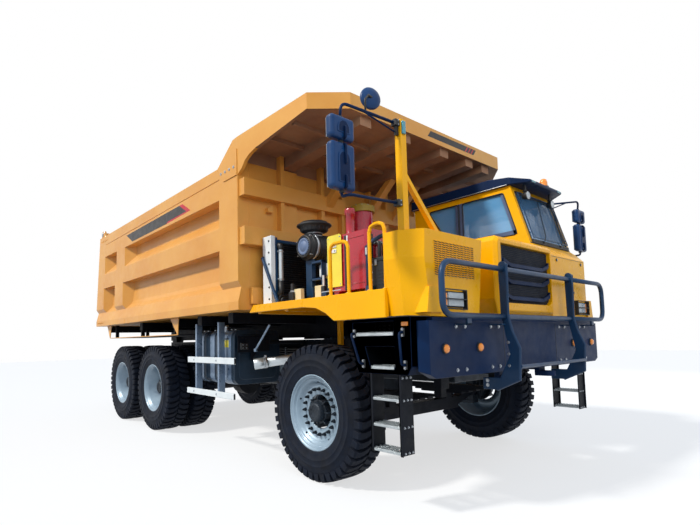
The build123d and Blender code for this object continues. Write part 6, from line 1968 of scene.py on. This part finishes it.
            bowl.use(ZINC).lathe(band(z0, z0 + 0.012, 0.091, 0.094), (-1.27, y, 0.0), UP, 48)
        bowl.place("rain_bowl", "chassis", "black_plastic")
        legs = Shape(BLUE_GREY_TUBE)
        for x0, x1 in ((-1.35, -1.31), (-1.05, -1.01)):
            legs.block((x0, x1), about(y, 0.06), (self.top, z - 0.142), 0.004, 2)
            legs.use(ZINC).lathe(band(x0 + 0.004, x1 - 0.004, 0.15, 0.153), (0.0, y, z), LEFT, 64)
            legs.use(BLUE_GREY_TUBE)
        legs.place("air_cleaner_legs", "chassis", "frame_black")
        duct = Shape(HOSE_RUBBER)
        duct.tube([(-0.915, y, z), (-0.78, y, z), (-0.7, y, 2.28), (-0.7, y, 2.05), (-0.66, y, 1.78)], 0.062,
                  0.11, 28)
        for spot, way in (((-0.9, y, z), LEFT), ((-0.7, y, 2.16), UP)):
            duct.use(ZINC).lathe(band(-0.007, 0.007, 0.063, 0.066), spot, way, 32)
        duct.place("intake_duct", "chassis", "black_plastic")

    def tank(self) -> None:
        """Hydraulic oil tank with welded seams, a ribbed filler cap and a bolted lid."""
        shape = Shape(TANK_CRIMSON).cad("hydraulic_tank", 0.006)
        x0, (y0, y1) = self.tank_x[0], self.tank_y
        for z in (self.tank_z[0] + 0.055, self.tank_z[1] - 0.055):
            shape.tube([at(x0 - 0.001, y0 + 0.055, z), at(x0 - 0.001, y1 - 0.055, z)], 0.004, 0.01, 6)
        x, y = -1.33, front(-0.3)
        shape.lathe([(2.378, 0.052), (2.386, 0.05), (2.392, 0.044), (2.606, 0.044), (2.61, 0.05),
                     (2.665, 0.05), (2.673, 0.044), (2.673, 0.0005)], (x, y, 0.0), UP, 40)
        for a, b in circle(18, 0.05, x, y):
            shape.rod((a, b, 2.618), (a, b, 2.66), 0.003, sides=6)
        shape.place("oil_tank", "chassis", "tank_red", ["hydraulic_tank"])
        lid = Shape(TANK_CRIMSON)
        lid.lathe([(2.378, 0.088), (2.394, 0.088), (2.398, 0.084), (2.398, 0.0005)], at(-1.14, -0.46, 0.0),
                  UP, 40)
        for a, b in circle(8, 0.074, -1.14, front(-0.46)):
            lid.use(ZINC).bolt((a, b, 2.397), UP, 0.007, 0.006)
        lid.place("tank_lid", "chassis", "tank_red")

    def tank_dress(self) -> None:
        """Yellow end plate with two gauges, straps, pipes and a flat foot beside the oil tank."""
        x = self.tank_x[0]
        plate = Shape(BODY_PLATE_YELLOW)
        outline = [(-0.358, 1.88), (-0.358, 2.372), (-0.338, 2.392), (-0.172, 2.392), (-0.154, 2.374),
                   (-0.154, 1.88)]
        plate.plate(behind(outline), "x", x - 0.016, x - 0.01, 0.002)
        for z in (1.905, 2.365):
            for y in (-0.338, -0.174):
                plate.use(ZINC).bolt(at(x - 0.016, y, z), RIGHT, 0.006, 0.005)
        plate.use(BLACK_PLASTIC).block((x - 0.012, x + 0.004), span(-0.345, -0.195), (1.9, 2.36), 0.002)
        for z in (2.233, 2.284):
            plate.use(WHITE_ENAMEL).block((x - 0.024, x - 0.015), span(-0.292, -0.228), about(z, 0.018),
                                          0.004, 2)
            plate.use(CHASSIS_BLACK).rod(at(x - 0.0255, -0.276, z), at(x - 0.022, -0.276, z), 0.007, sides=14)
        plate.place("tank_plate", "chassis", "aluminium")
        straps = Shape(BLACK_PLASTIC)
        y0 = self.tank_y[0]
        for y, finish, wide in ((-0.4, BLACK_PLASTIC, 0.011), (-0.428, WHITE_ENAMEL, 0.009)):
            straps.use(finish).block((x - 0.006, x + 0.001), span(y - wide, y + wide), (1.84, 2.36), 0.001)
        straps.use(BLACK_PLASTIC).block((x + 0.02, x + 0.06), span(y0 - 0.004, y0 + 0.001), (1.9, 2.33),
                                        0.001)
        straps.use(ALUMINIUM).block((x - 0.004, x + 0.055), span(-0.326, -0.039), (1.8452, 1.856), 0.002)
        straps.use(BLUE_GREY_TUBE).block((x - 0.012, x + 0.03), span(-0.12, -0.06), (self.top, 1.846), 0.003)
        straps.place("tank_straps", "chassis", "black_plastic")
        hose = Shape(HOSE_RUBBER)
        for dx in (-1.42, -1.36):
            hose.tube([at(dx, y0 + 0.002, 2.25), at(dx, y0 - 0.06, 2.25), at(dx, y0 - 0.06, 1.774)],
                      0.019, 0.05, 18)
            hose.use(ZINC).rod(at(dx, y0 - 0.024, 2.25), at(dx, y0, 2.25), 0.025, sides=6, edge=0.002)
            hose.use(HOSE_RUBBER)
        hose.use(FOIL).tube([at(-1.18, y0 + 0.002, 2.3), at(-1.18, y0 - 0.075, 2.3),
                             at(-1.18, y0 - 0.075, 1.774)], 0.026, 0.06, 22)
        hose.place("tank_pipes", "chassis", "black_plastic")

    def reservoir(self) -> None:
        """Coolant header tank on cream posts, with pale bars behind it."""
        posts = Shape(CREAM_ENAMEL)
        for y in (0.045, 0.395):
            posts.block((-1.47, -1.42), span(y - 0.058, y + 0.058), (self.top, 1.93), 0.004, 2)
        posts.use(BLUE_GREY_TUBE)
        for y0, y1, z in ((0.0, 0.18, 1.99), (0.0, 0.18, 2.17)):
            posts.block((-1.455, -1.4), span(y0, y1), (z, z + 0.024), 0.003)
        for y in (0.0, 0.165):
            posts.block((-1.455, -1.4), span(y, y + 0.015), (1.925, 2.194), 0.002)
        posts.place("reservoir_posts", "chassis", "frame_black")
        jar = Shape(WHITE_ENAMEL)
        jar.block((-1.4, -1.18), span(-0.06, 0.12), (2.02, 2.165), 0.025, 3)
        jar.block((-1.18, -1.13), span(0.0, 0.08), (1.8, 2.05), 0.01, 2)
        jar.use(BLACK_PLASTIC).rod(at(-1.29, 0.03, 2.16), at(-1.29, 0.03, 2.2), 0.028, sides=24, edge=0.004)
        jar.use(HOSE_RUBBER).tube([at(-1.355, 0.03, 2.16), at(-1.355, 0.03, 2.24), at(-1.355, -0.12, 2.24),
                                   at(-1.355, -0.12, 1.776)], 0.011, 0.04, 12)
        jar.place("reservoir", "chassis", "black_plastic")

    def valves(self) -> None:
        """Small valve blocks and pipes between the cooler and the tank."""
        shape = Shape(BLACK_PLASTIC)
        shape.block((-1.5, -1.44), span(0.44, 0.52), (self.top, 1.9), 0.006, 2)
        shape.rod(at(-1.47, 0.48, 1.895), at(-1.47, 0.48, 1.993), 0.022, sides=20, edge=0.003)
        shape.use(ZINC).rod(at(-1.47, 0.48, 1.9), at(-1.47, 0.48, 1.918), 0.03, sides=6, edge=0.002)
        shape.use(WHITE_ENAMEL).rod(at(-1.48, -0.052, 1.912), at(-1.48, -0.052, 2.023), 0.012, sides=16)
        shape.use(BLACK_PLASTIC).block((-1.5, -1.46), span(-0.078, -0.026), (self.top, 1.914), 0.004)
        for i, y in enumerate((0.56, 0.6)):
            shape.use(HOSE_RUBBER).tube([at(-1.56, y, self.top - 0.001), at(-1.56, y, 1.84 + 0.03 * i),
                                         at(-1.3, y, 1.84 + 0.03 * i), at(-1.3, y, self.top - 0.001)],
                                        0.012, 0.035, 12)
        shape.use(HOSE_RUBBER).tube([at(-1.47, 0.48, 1.97), at(-1.42, 0.48, 1.97), at(-1.42, 0.56, 1.9),
                                     at(-1.42, 0.56, 1.776)], 0.01, 0.03, 10)
        shape.place("deck_valves", "chassis", "black_plastic")

    def battery(self) -> None:
        """Battery box with a lipped lid, vents, latches, and the arch tube over it."""
        shape = Shape(BLACK_PLASTIC)
        shape.block((-1.56, -1.18), span(-1.06, -0.76), (self.top, 2.05), 0.01, 2)
        shape.block((-1.566, -1.174), span(-1.066, -0.754), (2.044, 2.08), 0.008, 2)
        for y in (-0.79, -1.03):
            shape.use(ZINC).bolts(at(-1.56, y, 1.82), at(-1.56, y, 2.02), 4, RIGHT, 0.008)
        for y in (-0.84, -0.98):
            shape.use(ZINC).block((-1.572, -1.56), span(y - 0.014, y + 0.014), (2.01, 2.062), 0.003)
        for i in range(5):
            z = 1.84 + i * 0.03
            shape.use(HOSE_RUBBER).block((-1.5625, -1.5595), span(-0.965, -0.855), (z, z + 0.01), 0.001)
        shape.use(BLUE_GREY_TUBE).block((-1.64, -1.54), span(-0.82, -0.78), (self.top, 1.835), 0.004)
        shape.tube([at(-1.62, -0.8, self.top), at(-1.62, -0.8, 2.2), at(-1.62, -1.04, 2.26),
                    at(-1.62, -1.052, 2.075)], 0.018, 0.08, 24)
        shape.block((-1.6205, -1.6155), span(-0.835, -0.765), (2.1, 2.19), 0.002)
        shape.use(WHITE_ENAMEL).rod(at(-1.632, -0.8, 2.105), at(-1.632, -0.8, 2.165), 0.01, sides=12)
        shape.place("battery_case", "chassis", "frame_black", ["battery_box"])

    def rails(self) -> None:
        """Yellow tube hoops with feet and bolts."""
        shape = Shape(CAB_YELLOW)
        shape.cad("handrails", 0.0)
        for x, ys in ((-1.7, (-0.402, -0.64, -0.9, -1.072)), (1.715, (0.17, 0.78))):
            for y in ys:
                shape.use(CAB_YELLOW).rod(at(x, y, self.top), at(x, y, self.top + 0.008), 0.03, sides=28,
                                          edge=0.002)
                for dx in (-0.0215, 0.0215):
                    shape.use(ZINC).bolt(at(x + dx, y, self.top + 0.008), UP, 0.005, 0.004)
        shape.place("hoops", "chassis", "cab_paint", ["handrails"])


# Fuel tanks, side rails and exhaust


@dataclass
class SideGear:
    """Fuel tank of each side with straps, the side guard rails, and the exhaust."""

    tank_x: Range = (0.865, 1.551)
    tank_y: Range = (1.6, 2.655)
    tank_z: Range = (0.832, 1.515)
    corner: float = 0.09
    straps: Sequence[Pair] = ((1.79, 0.105), (2.18, 0.06), (2.5, 0.065))

    def build(self) -> None:
        """Make the pieces of both sides."""
        for side in Side:
            self.tank(side)
            self.rails(side)
            self.bracket(side)
        self.exhaust()

    def ring(self, grow: float) -> list[Pair]:
        """Give the tank's rounded section.

        Args:
            grow: How far outside the tank's own section it lies.

        Returns:
            Corners as (x, z) round the section.
        """
        (x0, x1), (z0, z1), r = self.tank_x, self.tank_z, self.corner
        spots = []
        for cx, cz, start in ((x1 - r, z1 - r, 0.0), (x0 + r, z1 - r, 0.5), (x0 + r, z0 + r, 1.0),
                              (x1 - r, z0 + r, 1.5)):
            for i in range(9):
                angle = math.pi * (start + i / 16)
                spots.append((cx + (r + grow) * math.cos(angle), cz + (r + grow) * math.sin(angle)))
        return spots

    def tank(self, side: Side) -> None:
        """Ribbed steel tank with rolled seams, wide straps, a yellow label and a filler.

        Args:
            side: Side of the truck.
        """
        y0, y1 = (front(y) for y in self.tank_y)
        shape = Shape(TANK_STEEL)
        shape.plate(self.ring(-0.002), "y", y0, y1, 0.01, 3)
        shape.plate(self.ring(0.005), "y", y0 - 0.004, y0 + 0.014, 0.003, 2)
        shape.plate(self.ring(0.005), "y", y1 - 0.014, y1 + 0.004, 0.003, 2)
        scale = [(x * 0.84 + 0.16 * sum(self.tank_x) / 2, z * 0.84 + 0.16 * sum(self.tank_z) / 2)
                 for x, z in self.ring(0.0)]
        shape.plate(scale, "y", y0 - 0.014, y0 + 0.002, 0.01, 3)
        shape.plate(scale, "y", y1 - 0.002, y1 + 0.014, 0.01, 3)
        for y in (2.015, 2.36):
            shape.use(TANK_STEEL).plate(self.ring(0.003), "y", front(y - 0.01), front(y + 0.01), 0.002)
        for y, half in self.straps:
            shape.use(STRAP_STEEL).plate(self.ring(0.007), "y", front(y - half), front(y + half), 0.002)
            x, z = self.tank_x[1] - 0.02, self.tank_z[1] + 0.006
            shape.use(ZINC).bolts(at(x, y - half + 0.02, z), at(x - 0.06, y - half + 0.02, z), 2, UP,
                                  0.009)
        x = self.tank_x[1] + 0.007
        shape.use(LABEL_YELLOW).block((x, x + 0.0012), span(1.742, 1.838), (1.3, 1.392), 0.0)
        shape.use(BLACK_PLASTIC).block((x, x + 0.004), span(1.735, 1.845), (1.402, 1.416), 0.001)
        neck = (self.tank_x[1] - 0.075, front(1.93), self.tank_z[1] - 0.02)
        shape.use(ZINC).rod(neck, (neck[0] + 0.012, neck[1], neck[2] + 0.06), 0.036, sides=28)
        shape.use(ALUMINIUM).rod((neck[0] + 0.01, neck[1], neck[2] + 0.055),
                                 (neck[0] + 0.018, neck[1], neck[2] + 0.088), 0.046, sides=28, edge=0.004)
        shape.block((neck[0] - 0.03, neck[0] + 0.05), about(neck[1], 0.008),
                    (neck[2] + 0.084, neck[2] + 0.096), 0.003)
        shape.turned(side)
        names = ["fuel_tanks"] if side is Side.LEFT else []
        shape.place(f"fuel_tank_{side.word}", "chassis", "aluminium", names)

    @staticmethod
    def rails(side: Side) -> None:
        """Two bright rails on upright posts beside the tank.

        Args:
            side: Side of the truck.
        """
        shape = Shape(RAIL_SILVER)
        for (y0, y1), (z0, z1) in (((1.364, 2.64), (1.097, 1.176)), ((1.38, 2.662), (0.675, 0.75))):
            shape.block((1.67, 1.7), span(y0, y1), (z0, z1), 0.005, 2)
            for y in (y0, y1):
                shape.use(BLACK_PLASTIC).block((1.673, 1.697), span(y - 0.002, y + 0.002),
                                               (z0 + 0.006, z1 - 0.006), 0.001)
                shape.use(RAIL_SILVER)
        for y in (1.811, 2.444):
            shape.use(STRAP_STEEL).block((1.58, 1.67), span(y - 0.02, y + 0.02), (0.675, 1.625), 0.005, 2)
            for z in (0.712, 1.136):
                shape.use(ZINC).bolt(at(1.7, y, z), LEFT, 0.01, 0.007)
        shape.turned(side)
        names = ["side_rails"] if side is Side.LEFT else []
        shape.place(f"side_rails_{side.word}", "chassis", "aluminium", names)

    @staticmethod
    def bracket(side: Side) -> None:
        """Tank bracket with a bolt row, a small black box and a gusset in front of the tank.

        Args:
            side: Side of the truck.
        """
        shape = Shape(CHASSIS_BLACK)
        y = front(1.575)
        shape.block((1.05, 1.53), (y - 0.022, y - 0.01), (1.235, 1.44), 0.004, 2)
        shape.block((0.44, 1.06), (y - 0.03, y - 0.006), (1.33, 1.375), 0.003)
        shape.bolts((1.1, y - 0.022, 1.405), (1.49, y - 0.022, 1.405), 6, AHEAD, 0.01)
        shape.use(BLACK_PLASTIC).block((1.398, 1.505), (y - 0.06, y - 0.022), (1.268, 1.352), 0.006, 2)
        for x in (1.425, 1.478):
            for z in (1.29, 1.33):
                shape.use(ZINC).bolt((x, y - 0.06, z), AHEAD, 0.007, 0.006)
        gusset = [(1.34, 1.245), (1.34, 1.13), (1.325, 1.13), (1.25, 1.245)]
        shape.use(CHASSIS_BLACK).plate(gusset, "y", y - 0.022, y - 0.012, 0.001)
        shape.use(STRAP_STEEL).rod(at(1.5, 1.192, 1.272), at(1.5, 0.891, 1.559), 0.012, sides=14)
        shape.block((1.486, 1.514), span(1.17, 1.215), (1.245, 1.285), 0.004)
        shape.turned(side)
        shape.place(f"tank_bracket_{side.word}", "chassis", "frame_black")

    @staticmethod
    def exhaust() -> None:
        """Exhaust pipe with a muffler, band clamps and a sleeve at its tail end."""
        shape = Shape(ALUMINIUM)
        way = [at(-0.44, 1.01, 1.16), at(-0.95, 1.01, 1.16), at(-1.36, 1.208, 1.11)]
        shape.tube(way, 0.058, 0.1, 32)
        a, b = Vector(way[2]), Vector(at(-1.48, 1.28, 1.09))
        ahead = (b - a).normalized()
        start = a - ahead * 0.03
        wall = [(0.0, 0.062), (0.002, 0.065), (0.16, 0.065), (0.162, 0.063), (0.16, 0.06), (0.01, 0.059)]
        shape.lathe(wall, start, ahead, 40)
        for along in (0.012, 0.03):
            shape.use(ZINC).lathe(band(along, along + 0.01, 0.066, 0.07), start, ahead, 40)
        spot = start + ahead * 0.02
        shape.block(about(spot.x, 0.012), about(spot.y, 0.016),
                    (spot.z + 0.062, spot.z + 0.088), 0.003)
        shape.use(HEAT_STEEL).lathe([(-0.902, 0.06), (-0.898, 0.104), (-0.888, 0.118), (-0.872, 0.12),
                                     (-0.592, 0.12), (-0.574, 0.118), (-0.562, 0.104), (-0.558, 0.06)],
                                    at(0.0, 1.01, 1.16), LEFT, 48)
        for x in (-0.84, -0.64):
            shape.use(ZINC).lathe(band(x, x + 0.022, 0.1195, 0.123), at(0.0, 1.01, 1.16), LEFT, 48)
        shape.place("exhaust_line", "chassis", "aluminium", ["exhaust"])


# Chassis, axles, driveline and hoist


@dataclass
class Underside:
    """Chassis frame, springs, axles, brakes, driveline, engine, knuckles and hoist."""

    rail_x: float = 0.44
    rail_z: Range = (1.02, 1.38)
    hoist_y: float = 0.812

    def build(self) -> None:
        """Make every piece below the deck and the body."""
        self.frame()
        self.pipes()
        self.castings()
        self.hoist()
        self.tail_lamps()

    def frame(self) -> None:
        """Frame rails and cross members with rounded edges and huck-bolt rows."""
        shape = Shape(CHASSIS_BLACK).cad("chassis_frame", 0.005)
        x, (z0, z1) = self.rail_x + 0.0005, self.rail_z
        for sign in (-1, 1):
            for z in (z0 + 0.05, z1 - 0.05):
                for y0, y1, count in ((0.95, 2.75, 19), (3.2, 5.95, 26)):
                    shape.bolts(at(sign * x, y0, z), at(sign * x, y1, z), count, (sign, 0, 0), 0.012)
        shape.place("frame_rails", "chassis", "frame_black", ["chassis_frame"])

    def pipes(self) -> None:
        """Brake pipes and a cable loom clipped along the right rail, and two air tanks."""
        shape = Shape(HOSE_RUBBER)
        for i in range(3):
            z = 1.185 + i * 0.034
            shape.rod(at(-self.rail_x - 0.022, 0.95, z), at(-self.rail_x - 0.022, 5.6, z), 0.009 + 0.002 * i,
                      sides=10)
        for k in range(10):
            y = front(1.05 + k * 0.47)
            shape.use(ZINC).block((-self.rail_x - 0.036, -self.rail_x), about(y, 0.01), (1.168, 1.274), 0.003)
        shape.place("frame_pipes", "chassis", "black_plastic")
        tanks = Shape(CHASSIS_BLACK)
        for x in (-0.3, 0.02):
            y, z = front(1.78), 1.18
            tanks.lathe([(0.0, 0.0005), (0.012, 0.075), (0.04, 0.112), (0.075, 0.12), (0.545, 0.12),
                         (0.58, 0.112), (0.608, 0.075), (0.62, 0.0005)], (x + 0.14, y, z), BEHIND, 40)
            for dy in (0.14, 0.46):
                tanks.use(ZINC).lathe(band(dy, dy + 0.024, 0.1195, 0.123), (x + 0.14, y, z), BEHIND, 40)
            tanks.use(CHASSIS_BLACK)
        for y in (1.93, 2.25):
            tanks.block((-0.436, 0.436), span(y, y + 0.03), (1.3, 1.33), 0.004)
            for x in (-0.16, 0.16):
                tanks.block(about(x, 0.02), span(y, y + 0.024), (1.295, 1.304), 0.002)
        tanks.place("air_tanks", "chassis", "frame_black")

    @staticmethod
    def castings() -> None:
        """Axles with their springs, driveline, engine and steering knuckles, with rounded edges."""
        rows = (
            ("front_beam", "front_axle", CHASSIS_BLACK, 0.004),
            ("rear_axle_cases", "rear_axles", CHASSIS_BLACK, 0.005),
            ("drive_shafts", "driveline", HUB_IRON, 0.004),
            ("engine", "engine_block", HUB_IRON, 0.008),
        )
        for name, node, finish, edge in rows:
            Shape(finish).cad(node, edge).place(name, "chassis", "frame_black", [node])
        for side in Side:
            node = f"knuckle_{side.word}"
            Shape(HUB_IRON).cad(node, 0.004).place(f"knuckle_casting_{side.word}", node, "frame_black",
                                                   [node])

    def hoist(self) -> None:
        """Hoist cover with bolts and bands, its chromed stages, and the foot."""
        y = front(self.hoist_y)
        cover = Shape(HOIST_CRIMSON).cad("hoist_cover", 0.004)
        cover.repaint(OLIVE_YELLOW, lambda c, n: c.z > 3.08)
        for a, b in circle(12, 0.158, 0.0, y, 0.5):
            cover.use(ZINC).bolt((a, b, 3.165), UP, 0.01, 0.009)
        cover.use(HOIST_CRIMSON)
        for z in (2.2, 2.62):
            ring = [(z, 0.1445), (z + 0.003, 0.15), (z + 0.017, 0.15), (z + 0.02, 0.1445)]
            cover.lathe(ring, (0.0, y, 0.0), UP, 64)
        cover.place("hoist_case", "hoist_cover", "hoist_red", ["hoist_cover"])
        for number in (1, 2):
            stage = Shape(CHROME).cad(f"hoist_stage_{number}", 0.002)
            stage.place(f"hoist_tube_{number}", f"hoist_stage_{number}", "hoist_chrome",
                        [f"hoist_stage_{number}"])
        foot = Shape(CHROME).cad("hoist_foot", 0.002)
        foot.repaint(HOIST_CRIMSON, lambda c, n: c.z < 1.11)
        foot.place("hoist_rod", "hoist_foot", "hoist_chrome", ["hoist_foot"])

    @staticmethod
    def tail_lamps() -> None:
        """Tail lamp boxes on short brackets at the rear cross member."""
        shape = Shape(BLACK_PLASTIC)
        y = front(6.19)
        for sign in (-1, 1):
            shape.use(BLACK_PLASTIC).block((sign * 0.5, sign * 0.84), (y - 0.06, y), (1.18, 1.29), 0.01, 2)
            shape.use(CHASSIS_BLACK).block((sign * 0.438, sign * 0.52), (y - 0.05, y - 0.02), (1.21, 1.26),
                                           0.004)
            for k, finish in enumerate((RED_LENS, AMBER, LENS)):
                cx = sign * (0.56 + 0.11 * k)
                shape.use(finish).lathe([(-0.002, 0.045), (0.006, 0.043), (0.012, 0.028), (0.013, 0.0005)],
                                        (cx, y, 1.235), BEHIND, 28)
        shape.place("tail_lamps", "chassis", "black_plastic")


def dress_frame() -> None:
    """Give every CAD node that stays in view its finish."""
    dress(CHASSIS_BLACK, "chassis_frame", "front_axle", "rear_axles", "driveline", "engine_block",
          "knuckle_left", "knuckle_right")
    dress(BODY_OCHRE, "bed_shell", "bed_side_frames", "bed_headboard", "bed_canopy", "bed_subframe",
          "mudguards", "tailgate")
    dress(CAB_YELLOW, "cab_shell", "deck", "right_cowl", "left_panel", "grille_housing", "door_left",
          "handrails")
    dress(NAVY_STEEL, "bumper", "step_housings", "ladders", "grille", "cab_roof", "battery_box")
    dress(BLUE_GREY_TUBE, "guard_bar")
    dress(MIRROR_PLASTIC, "mirrors_left", "mirrors_right")
    dress(BLACK_PLASTIC, "headlamps", "air_cleaner")
    dress(GLASS, "cab_glass", "door_glass")
    dress(SEAT_FABRIC, "cab_interior")
    dress(TANK_CRIMSON, "hydraulic_tank")
    dress(HOIST_CRIMSON, "hoist_cover")
    dress(CHROME, "hoist_foot", "hoist_stage_1", "hoist_stage_2")
    dress(ALUMINIUM, "fuel_tanks", "side_rails", "exhaust")
    dress(FIN_METAL, "cooler_pack")
    for side in Side:
        dress(TYRE_RUBBER, f"tyre_front_{side.word}", f"tyres_mid_{side.word}", f"tyres_rear_{side.word}")
        dress(RIM_ENAMEL, f"rim_front_{side.word}", f"rims_mid_{side.word}", f"rims_rear_{side.word}")


def main() -> None:
    """Build the studio and every dressed sub-assembly, in order."""
    logging.basicConfig(level=logging.INFO, format="%(name)s: %(message)s")
    bpy.context.scene.view_settings.view_transform = "Standard"
    Studio().build()
    dress_frame()
    Wheels().build()
    Bed().build()
    FrontEnd().build()
    Cab().build()
    Mirrors().build()
    DeckGear().build()
    SideGear().build()
    Underside().build()


if __name__ == "__main__":
    main()
